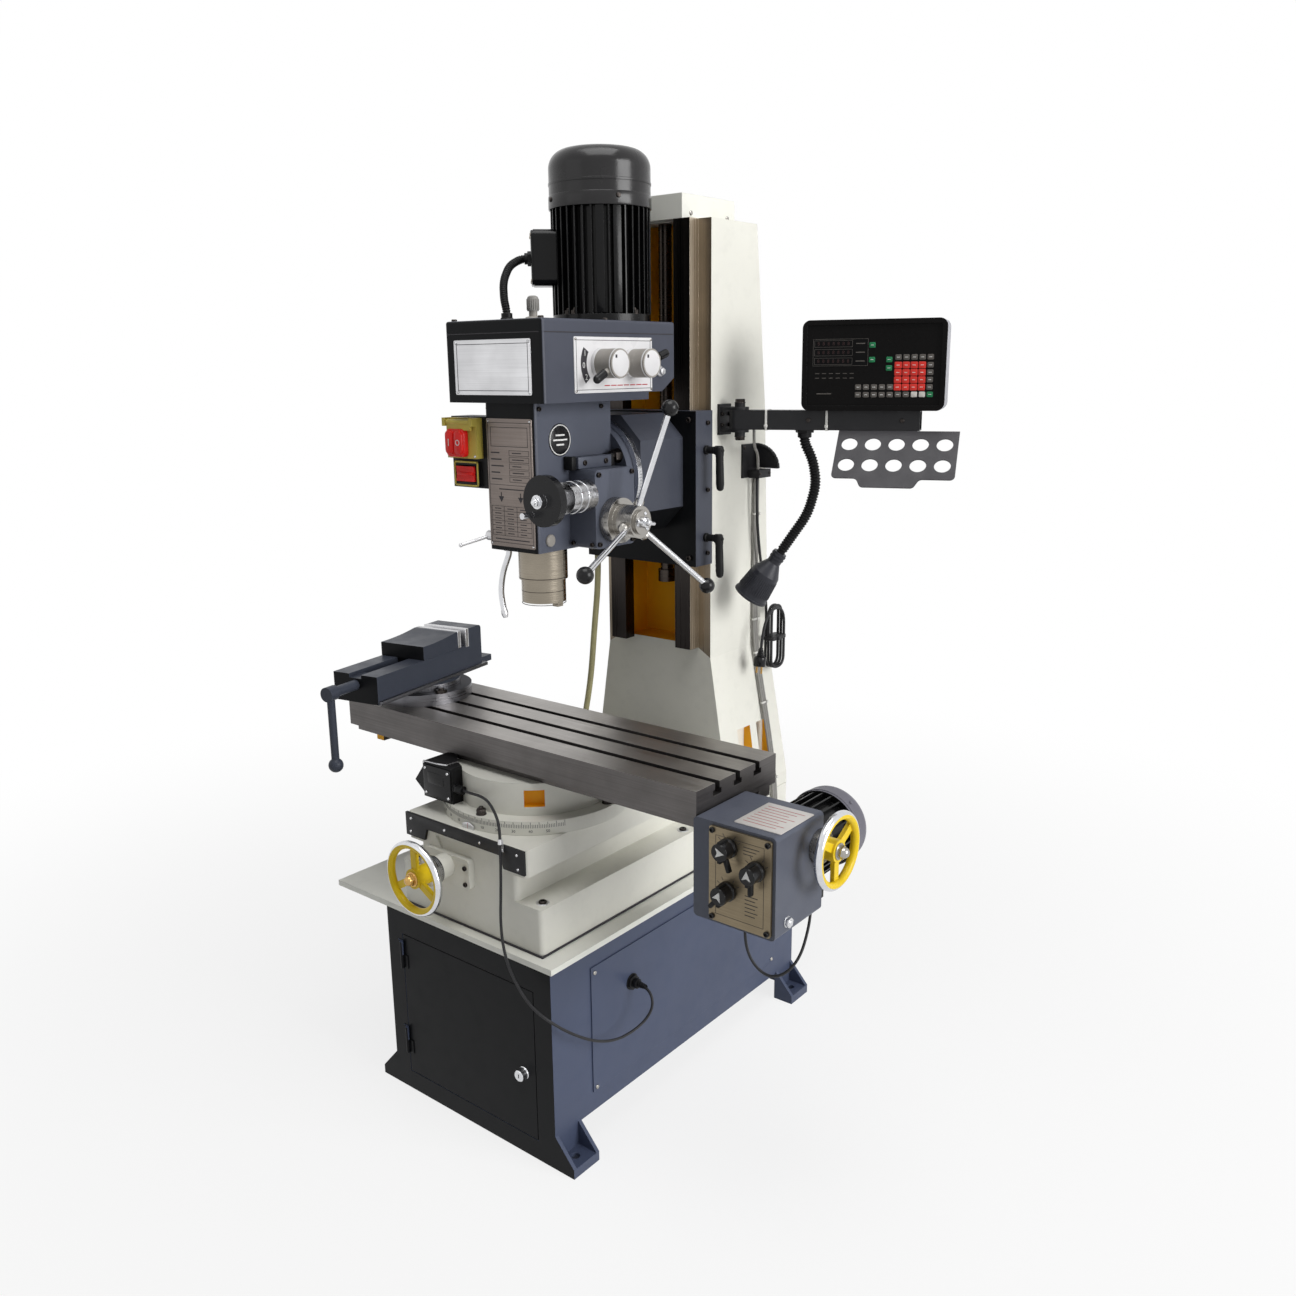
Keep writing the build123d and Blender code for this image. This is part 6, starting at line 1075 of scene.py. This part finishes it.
piece("door_lock_slot", plate_line, "door", (add_box, lock, (1.8, 8, 1.0), 0.2, (0, 0, 16.8)))
base_spots = list(product((-176, 176), (-381, 60), (527,)))
piece("base_bolts", dark_steel_and_painted_shade, "stand",
      *on_points(add_socket, to_top, base_spots, 8, 5),
      *on_points(add_socket, to_front, product((-100, 9), (-423,), (532, 566)), 5, 4))
piece("base_bolt_washers", brushed, "stand", *on_points(add_ring, to_top, base_spots, 8.6, 13, -0.3, 1.6))
piece("base_seal", plate_line, "stand",
      *[(add_box, on_top(x, 23, 433), (3.4, 868, 4), 1.0) for x in (-199.5, 199.5)],
      (add_box, on_top(0, -410.5, 433), (402, 3.4, 4), 1.0))

# Saddle: wiper with its screws, clip of the switch cable, index of the turntable
wiper = on_front(0, -413, 0)
wiper_outline = [(-167, 640.5), (-167, 592), (-112, 592), (-104, 617)]
wiper_outline += [(104, 617), (112, 592), (167, 592), (167, 640.5)]
wiper_screws = [(-152, 602), (-150, 630), (-50, 629), (50, 629), (150, 630), (152, 602)]
piece("saddle_wiper", powder_black, "saddle", (add_prism, wiper, wiper_outline, 0, 6, 1.0))
piece("saddle_wiper_screws", turned_y, "saddle",
      *on_plate(add_pan, shifted(wiper, 0, 0, 6), wiper_screws, 3))
piece("cable_clip", brushed, "saddle",
      (add_ring, place(clip_spot, (4, -4, -30)), 2.9, 4.4, -5, 5, 24),
      (add_box, on_front(112, -420.2, 640), (9, 24, 1.6), 0.5),
      (add_pan, place((112, -421, 632), to_front), 3))
index = on_front(0, -399.5, 640)
index_outline = [(-16, 0), (16, 0), (16, 8), (4, 13), (-4, 13), (-16, 8)]
piece("turntable_index", brushed, "saddle", (add_prism, index, index_outline, 0, 3, 0.5))
piece("turntable_index_line", plate_red, "saddle", (add_bar, shifted(index, 0, 0, 3), (0, 2), (0, 12), 0.9))

# Turntable: degree lines and figures, nuts, limit switch fittings
turn_ring = on_top(0, turntable_y, 640.3)
piece("turntable_lines", plate_line, "turntable",
      (add_ticks, turn_ring, 191, range(-150, -29), 15, 12, 0.9),
      (add_figures, turn_ring, 191.05, [(turn - 90, str(abs(turn))) for turn in range(-50, 51, 10)], 8, 8))
piece("turntable_nuts", dark_steel_and_painted_shade, "turntable",
      *[(add_nut, shifted(turned_by(turn_ring, angle), 176, 0, 28), 17, 12) for angle in (-84, 6, 96, 186)])
switch_face = on_front(-105, -382, 705.3)
switch_gland = place((-62, -372, 699.4), to_right)
piece("limit_switch_cover", gloss_black, "turntable",
      (add_prism, switch_face, rounded(80, 66, 5), -0.4, 3.2, 1.0),
      (add_prism, shifted(switch_face, -2, 8, 3.2), rounded(46, 24, 4), -0.3, 1.2, 0.5),
      (add_hex, switch_gland, 18, 8),
      (add_ring, switch_gland, 3, 8.6, 7, 20.4, 24))
piece("limit_switch_screws", turned_y, "turntable",
      *on_plate(add_pan, shifted(switch_face, 0, 0, 3), corners_of(66, 52), 3.2))
lever_path = [(-140, -386, 741), (-140, -386, 746), (-96, -386, 747.5), (-78, -380, 747), (-78, -350, 746)]
piece("limit_switch_lever", turned_y, "turntable",
      *[(add_rod, start, end, 1.6) for start, end in zip(lever_path, lever_path[1:])])

# Table: plates, plug, motor trims, glands and knobs of the feed
feed_face = on_front(feed_plate_x, -345, feed_plate_z)
piece("feed_plate_screws", gloss_black, "table",
      *on_plate(add_socket, feed_face, corners_of(110, 157), 5.2, 3.6))
feed_lines = [(add_frame, feed_face, 96, 143, 0.7)]
for knob_x, knob_z in feed_knobs.values():
    knob = shifted(feed_face, knob_x - feed_plate_x, knob_z - feed_plate_z)
    feed_lines += [(add_bar, knob, polar(20, angle), polar(25, angle), 1.0) for angle in (30, 60, 120, 150)]
feed_lines += level_lines(feed_face, *[(12, 36 - 5 * (row % 2), -22 - 7 * row, 1.3) for row in range(6)])
feed_lines += level_lines(feed_face, *[(8, 38 - 6 * row, 64 - 6 * row, 1.2) for row in range(3)])
piece("feed_plate_lines", plate_line, "table", *feed_lines)
piece("feed_plug", chrome, "table",
      (add_hex, place((666, -303, 610), to_right), 16, 8),
      (add_turned, place((673, -303, 610), to_right), [(5, 0), (4.6, 2), (0, 3)], 20))
top_label = on_top(616, -268, 770)
top_rows = [(-36, 36 - 9 * (row % 3), 38 - 11 * row, 1.3) for row in range(8)]
piece("feed_top_label", label_pale, "table", (add_prism, top_label, rounded(92, 108, 3), -0.3, 1.2, 0.4))
piece("feed_top_label_lines", plate_red, "table", *level_lines(shifted(top_label, 0, 0, 1.2), *top_rows))
feed_axis = place((585, -190, 672), to_back, to_right)
feed_trim = [(add_ring, feed_axis, 71, 74.2, 143, 148, 80)]
for angle in (40, 130, 220, 310):
    spot = feed_axis @ Vector((*polar(73, angle), 158)) / MM
    out = feed_axis.to_3x3() @ Vector((*polar(1, angle), 0))
    feed_trim.append((add_pan, place(spot, out), 3.6))
piece("feed_motor_trim", feed_cowl_grey, "table", *feed_trim)
piece("feed_motor_grille", motor_black, "table",
      *[(add_ring, feed_axis, 12 + 9 * ring, 16 + 9 * ring, 189, 190.6, 60) for ring in range(4)],
      *[(add_box, turned_by(feed_axis, 45 * step), (40, 3, 1.4), 0.3, (26, 0, 190)) for step in range(8)])
piece("feed_cable_glands", black_plastic, "table",
      *on_points(add_hex, to_floor, feed_glands, 17, 7),
      *on_points(add_ring, to_floor, feed_glands, 2.9, 7, 6.5, 14),
      *on_points(add_ring, to_floor, feed_glands, 2.8, 5, 14, 22))
knob_body = [(15, -29.5), (17.5, -29.5), (17.5, -24), (15.6, -22), (15.6, -1), (14.4, 0.6), (0, 0.6)]
knob_arrow = [(-8.5, -6.5), (0, -3), (8.5, -6.5), (0, 10.5)]
for number, arrow_turn, lever_turn in ((1, -90, 200), (2, 0, 180), (3, -20, 140)):
    knob_x, knob_z = feed_knobs[number]
    face = on_front(knob_x, -375.3, knob_z)
    arrow = shifted(turned_by(face, arrow_turn), 0, 0, 0.6)
    lever = turned_by(face, lever_turn)
    body = f"feed_knob_{number}"
    piece(f"feed_knob_face_{number}", gloss_black, body, (add_turned, face, knob_body, 40))
    piece(f"feed_knob_arrow_{number}", mark_white, body, (add_prism, arrow, knob_arrow, -0.3, 0.5))
    piece(f"feed_knob_lever_{number}", black_plastic, body,
          (add_box, lever, (8, 26, 10), 2.6, (0, 25, -13)))

# Handwheels: dial lines and hub nuts
front_dial = on_front(front_wheel_x, -453.3, front_wheel_z)
side_dial = on_right(666.3, side_wheel_y, side_wheel_z)
piece("front_dial_lines", plate_line, "front_wheel",
      *dial_marks(front_dial, radius=29, step=9, low=1, length=6.5, width=0.6,
                  count=8, unit=10, height=12, size=6))
piece("side_dial_lines", plate_line, "side_wheel",
      *dial_marks(side_dial, radius=30, step=9, low=0.8, length=5, width=0.6,
                  count=8, unit=10, height=8.6, size=5))
nut_dome = [(10, 8), (10, 10), (8.6, 14), (5.5, 17), (0, 18.4)]
for body, nut_place, material in (
    ("front_wheel", place((front_wheel_x, -508.3, front_wheel_z), to_front), brass),
    ("side_wheel", place((707.3, side_wheel_y, side_wheel_z), to_right), turned_x),
):
    piece(f"{body}_nut", material, body,
          (add_ring, nut_place, 6, 15, -0.3, 2.4),
          (add_hex, shifted(nut_place, 0, 0, 2), 21, 8),
          (add_turned, nut_place, nut_dome, 28))

# Vise: jaw plates, bright flange, clamp nuts, degree lines
vise = place((-338, -208, 0), to_top, (cos(vise_turn), sin(vise_turn), 0))
vise_front = vise.to_3x3() @ Vector(to_front)
jaw_screws = [vise @ Vector((x, 81.8, 924)) / MM for x in (-38, 38)]
flange_outline = [(-64, -214), (64, -214), (64, 152), (26, 160), (-26, 160), (-64, 152)]
vise_nuts = [(*polar(92, angle), 835) for angle in (-28, 152)]
piece("vise_jaw_plate", jaw_steel, "vise_jaw", (add_box, vise, (116, 10.6, 38), 1.0, (0, 59.1, 927)))
piece("vise_fixed_plate", jaw_steel, "vise", (add_box, vise, (116, 11.6, 42), 1.0, (0, 87.4, 925)))
piece("vise_jaw_screws", dark_steel_and_painted_shade, "vise", *on_points(add_socket, vise_front, jaw_screws, 5, 0.4))
piece("vise_flange", vise_iron, "vise", (add_prism, vise, flange_outline, 848.6, 856, 1.6))
piece("vise_nuts", dark_steel_and_painted_shade, "table", *on_plate(add_nut, vise, vise_nuts, 22, 6))
piece("vise_lines", plate_line, "vise", (add_ticks, vise, 80, range(0, 360, 5), 837, 9, 0.8, 2))

# Readout: screen, keys and fittings on the panel that is set back in the front
along_arm = Vector((cos(arm_turn), sin(arm_turn), 0))
front_of_arm = Vector((sin(arm_turn), -cos(arm_turn), 0))


def on_arm(along, height):
    """Point over the middle line of the readout arm."""
    return Vector((arm_pivot_x, arm_pivot_y, height)) + along_arm * along


def readout_place(along, forward, height):
    """Frame on the readout that looks to the operator: along the arm, in front of its middle line, height."""
    return place(on_arm(along, height) + front_of_arm * forward, front_of_arm, along_arm)


def on_panel(along, height):
    return readout_place(along, panel_front, height)


def on_readout_back(along, height):
    return readout_place(along, -42, height) @ Matrix.Rotation(pi, 4, "Y")


def keys(spots, width=12.2, height=10.8):
    """Moulded keys at places along and up the panel."""
    return [(add_prism, on_panel(*spot), rounded(width, height, 2.2), -0.3, 2.0, 0.8) for spot in spots]


screen = on_panel(213.5, 1534)
screen_face = shifted(screen, 0, 0, 1.0)
digit_rows = (17, 0, -17)
piece("readout_screen", screen_black, "readout", (add_prism, screen, rounded(112, 54, 3), -0.2, 1.0, 0.3))
screen_lines = [(add_frame, screen_face, 110, 52, 0.7)]
screen_lines += [(add_frame, screen_face, 76, 12.5, 0.6, (-14, row)) for row in digit_rows]
screen_lines += level_lines(screen_face, *[(32, 48, row, 2.0) for row in digit_rows])
for row, column in product(range(2), range(6)):
    screen_lines += level_lines(on_panel(168 + 14 * column, 1493 - 9 * row), (-4, 3, 0, 1.4))
screen_lines += level_lines(on_panel(182, 1453), (-14, 14, 0, 2.2))
piece("readout_lines", key_grey, "readout", *screen_lines)
digit_spots = [(-44 + 10 * column, row, 1.1) for row, column in product(digit_rows, range(7))]
piece("readout_digits", digit_dim, "readout", *on_plate(add_text, screen, digit_spots, "8", 10, 0.1))
pad_columns = [328.9 + 15.6 * column for column in range(4)]
pad_rows = [1508.3 - 14.2 * row for row in range(4)]
red_spots = list(product(pad_columns, pad_rows))
grey_spots = list(product(pad_columns + [391.3], (1523.6,))) + list(product((391.5,), pad_rows))
grey_spots += product([251 + 15.8 * column for column in range(5)], (1466, 1451))
grey_spots += [(330.4, 1451.5), (346.0, 1451.5)]
green_spots = [(277, 1547.7), (277, 1519.4), (311, 1519.4), (311, 1503), (392.6, 1451.5)]
piece("readout_red_keys", key_red, "readout", *keys(red_spots, 14.4, 13.2))
piece("readout_grey_keys", key_grey, "readout", *keys(grey_spots))
piece("readout_white_keys", key_white, "readout", *keys([(361.8, 1451.5), (377.4, 1451.5)]))
piece("readout_green_keys", key_green, "readout", *keys(green_spots))
key_marks = []
for spot in red_spots + grey_spots + green_spots:
    key_marks += level_lines(shifted(on_panel(*spot), 0, 0, 2.0), (-2.4, 2.4, 0, 1.1))
piece("readout_key_marks", mark_white, "readout", *key_marks)
piece("readout_vents", panel_black, "readout",
      *[(add_prism, on_readout_back(206 + 18 * step, 1520), rounded(5, 60, 2.4), -0.2, 0.6, 0.2)
        for step in range(9)])
piece("readout_screws", turned_y, "readout",
      *[(add_pan, on_readout_back(*spot), 3.4) for spot in product((152, 407), (1435, 1582))])
piece("readout_arm_screws", dark_steel_and_painted_shade, "readout",
      *[(add_socket, readout_place(along, 20, arm_z), 4.5, 3) for along in (150, 340)])
bands = []
for along in (60.7, 187.4):
    band = place(on_arm(along, arm_z), along_arm, front_of_arm)
    bands.append((add_prism, band, rounded(42.4, 42.4, 1.6), -2.2, 2.2, 0.5))
    bands.append((add_box, band, (5, 6, 7), 1.0, (22.5, 12, 0)))
piece("readout_arm_ties", tie_white, "readout", *bands)

# Lamp: collar, ribs round the shade, reflector and bulb
neck_start = place(on_arm(139, 1379.5), to_floor)
lamp = place(on_arm(92, 1119), along_arm * -0.5547 + Vector((0, 0, -0.8321)), front_of_arm)
rib_lean = Matrix.Rotation(atan2(38 - 31, 118 - 54), 4, "Y")
rib_count = 44
shade_ribs = [(add_ring, lamp, 14.6, 16.4, 4, 8, 36), (add_ring, lamp, 14.6, 16.4, 12, 16, 36)]
for step in range(rib_count):
    rib = shifted(turned_by(lamp, 360 * step / rib_count), 34.1, 0, 83) @ rib_lean
    shade_ribs.append((add_box, rib, (2.0, 2.4, 40), 0.6))
shade_ribs.append((add_ring, lamp, 36.4, 39.2, 113, 118.6, 48))
piece("lamp_shade_ribs", lamp_black, "readout", *shade_ribs)
piece("lamp_neck_collars", black_plastic, "readout",
      (add_hex, neck_start, 34, 6), (add_ring, neck_start, 9, 14.5, 5, 16, 36))
piece("lamp_reflector", brushed, "readout",
      (add_turned, lamp, [(13, 46), (20, 52), (28, 66), (33, 88), (34.6, 108)], 48))
bulb = [(9, 50), (10, 60), (14, 70), (18.5, 82), (19, 90), (16, 99), (9, 105), (0, 107)]
piece("lamp_bulb", bulb_white, "readout", (add_turned, lamp, bulb, 32))


# Free cords: each follows a smooth line that the part's route points pull into shape
def smooth_line(name, route):
    """Points along the smooth line of a route, in metres."""
    curve = bpy.data.curves.new(name + "_route", "CURVE")
    curve.dimensions = "3D"
    curve.resolution_u = 16
    line = curve.splines.new("NURBS")
    line.points.add(len(route) - 1)
    for point, spot in zip(line.points, route):
        point.co = (*(Vector(spot) * MM), 1.0)
    line.order_u = 3
    line.use_endpoint_u = True
    holder = bpy.data.objects.new(name + "_route", curve)
    mesh = bpy.data.meshes.new_from_object(holder)
    points = [vertex.co.copy() for vertex in mesh.vertices]
    bpy.data.objects.remove(holder)
    bpy.data.meshes.remove(mesh)
    bpy.data.curves.remove(curve)
    return points


def lay_cord(name, node, route, radius, material, *bodies, far_end="object", lay="hanging", with_pieces=()):
    """Cord as one tube that rides on one body, or stays fixed where it lies between bodies; it hides its CAD
    node, if named.
    """
    points = smooth_line(name, route)
    shape = bmesh.new()
    add_tube(shape, points, radius)
    tube = make_object(name, shape, material)
    if len(bodies) == 1:
        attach(tube, bodies[0])
    else:
        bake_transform(tube)
    if node is not None:
        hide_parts(node)


upper_route = [(-42, -372, 699.38), (-16, -372, 699.38), (18, -378, 703), (52, -392, 704), (86, -409, 696)]
upper_route += [(108, -420, 679), clip_spot]
lay_cord("switch_cable_upper_tube", "switch_cable_upper", upper_route, 2.8, cord_black, "turntable", "saddle")
lower_route = [clip_spot, (116, -428, 619), (121, -435, 566), (123, -443, 486), (140, -450, 430)]
lower_route += [(174, -457, 390), (220, -465, 362), (254, -446, 332), (268, -400, 290), (275, -346, 252)]
lower_route += [(280, -292, 231), (286, -246, 232), (294, -215, 247), (297, -199, 272)]
lower_route += [(cover_side + 44, -195, 299), (cover_side + 18, -195, 299)]
lay_cord("switch_cable_lower_tube", "switch_cable_lower", lower_route, 2.8, cord_black, "saddle", "stand")
feed_route = [feed_glands[0], (573, -290, 552), (579, -288, 516), (596, -283, 489), (620, -275, 477)]
feed_route += [(642, -260, 487), (653, -237, 510), (649, -208, 538), (640, -180, 566), feed_glands[1]]
lay_cord("feed_cable_tube", "feed_cable", feed_route, 2.6, cord_black, "table")
hose_route = [(-140, 158, 1094), (-140, 158, 1030), (-150, 152, 920), (-160, 148, 800), (-178, 140, 690)]
hose_route += [(-206, 138, 590), (-224, 152, 510), (-224, 152, 431)]
lay_cord("hose_tube", "hose", hose_route, 7.0, hose_green, "carriage", "stand")
lead_route = [(216, 262, 1379.5), (216, 262, 1356), (206, 281, 1338), (182, 327, 1326), (172, 346, 1310)]
lead_route += [(172, 346, 1286)]
lay_cord("readout_lead_tube", "readout_lead", lead_route, 3.2, cord_grey, "readout", "stand")


def scale_lead_route(strand):
    """Route of one of the three scale leads on the column's side, which lie one behind the other."""
    depth = 364 + 6.8 * strand
    route = [(152, depth, 1268), (152, depth, 1000), (152, depth, 930), (156, depth + 3, 860)]
    route += [(168, depth + 7, 780), (182, depth + 10, 700), (195, depth + 12, 620)]
    return route + [(203, depth + 14, 550), (207, depth + 14, 490), (207, depth + 14, 431)]


for strand, node in enumerate(("scale_leads", None, None)):
    lay_cord(f"scale_lead_tube_{strand + 1}", node, scale_lead_route(strand), 3.0, cord_grey, "stand")
hank_route = [(166, 352, 1268), (166, 352, 1198), (166, 362, 1118), (166, 380, 1043), (166, 400, 968)]
for turn in range(3):
    side = 166 + 8.2 * turn
    if turn > 0:
        hank_route += [(side, 396, 968), (side + 0.6, 395, 924)]
    hank_route += [(side + 1.35, 394, 872), (side + 2.05, 393, 822)]
    hank_route += [(side + 4.1, 443, 822), (side + 4.8, 442, 872)]
    if turn < 2:
        hank_route.append((side + 5.5, 441, 924))
    hank_route.append((side + 6.15, 440, 968))
hank_route += [(194.7, 346, 964), plug_start]

# Mains plug at the cord's end: ribbed tapered relief, moulded body and two pins
plug_place = place(plug_start, (0, -12, -80), to_right)
plug_body = [(0, -1), (4.4, -1), (4.6, 2)]
for ring in range(4):
    wide = 0.8 * ring
    low = 3 + 4 * ring
    plug_body += [(4.8 + wide, low), (6.2 + wide, low + 0.6)]
    plug_body += [(6.3 + wide, low + 2.6), (5.2 + wide, low + 3.2)]
plug_body += [(12.6, 20), (13.8, 22.5), (14, 25), (14, 39.5), (13.2, 41.4), (11.6, 42), (0, 42)]
plug = piece("power_plug", gloss_black, "stand",
             (add_turned, plug_place, plug_body, 28),
             *[(add_box, plug_place, (12, 1.4, 1.6), 0.4, (0, side, 26 + 3.6 * step))
               for side, step in product((-13.4, 13.4), range(4))])
pin = [(0, -1), (2.3, -1), (2.3, 15), (1.6, 17), (0, 17.4)]
piece("power_plug_pins", brass, "stand",
      *on_plate(add_turned, plug_place, ((-6.4, 0, 41), (6.4, 0, 41)), pin, 16))
lay_cord("power_cord_tube", "power_cord", hank_route, 3.25, cord_black, "stand",
         far_end="plug", lay="coiled", with_pieces=(plug,))


# Ties on the leads and on the hank, and the rolled edge of the cord hook
def spot_at_height(points, height):
    """Point of a line nearest to a height in millimetres, and the line's direction there."""
    index = min(range(1, len(points) - 1), key=lambda k: abs(points[k].z / MM - height))
    return points[index] / MM, points[index + 1] - points[index - 1]


def hook_spot(angle):
    """Point on the edge of the cord hook, by degrees."""
    return 150 + 56 * cos(radians(angle)), 375, 1288 + 50.4 * sin(radians(angle))


middle_lead = smooth_line("tie_guide", scale_lead_route(1))
lead_ties = []
for height in (1192, 1060, 940, 860, 744, 560):
    spot, heading = spot_at_height(middle_lead, height)
    tie = place(spot, heading, to_right)
    lead_ties.append((add_prism, tie, rounded(8.6, 22.4, 4.2), -2.2, 2.2, 0.5))
    lead_ties.append((add_box, tie, (5, 6, 6), 1.0, (5.5, -6, 0)))
piece("scale_lead_ties", tie_white, "stand", *lead_ties)
hank_tie = on_top(176, 418, 893)
piece("hank_tie", cord_black, "stand",
      (add_prism, hank_tie, rounded(33, 57, 6), -4, 4, 1.0),
      (add_box, hank_tie, (8, 9, 10), 1.5, (17, -8, 0)))
piece("hook_edge", powder_black, "stand",
      *[(add_rod, hook_spot(angle), hook_spot(angle + 15), 4.2) for angle in range(0, 90, 15)])

low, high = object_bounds()
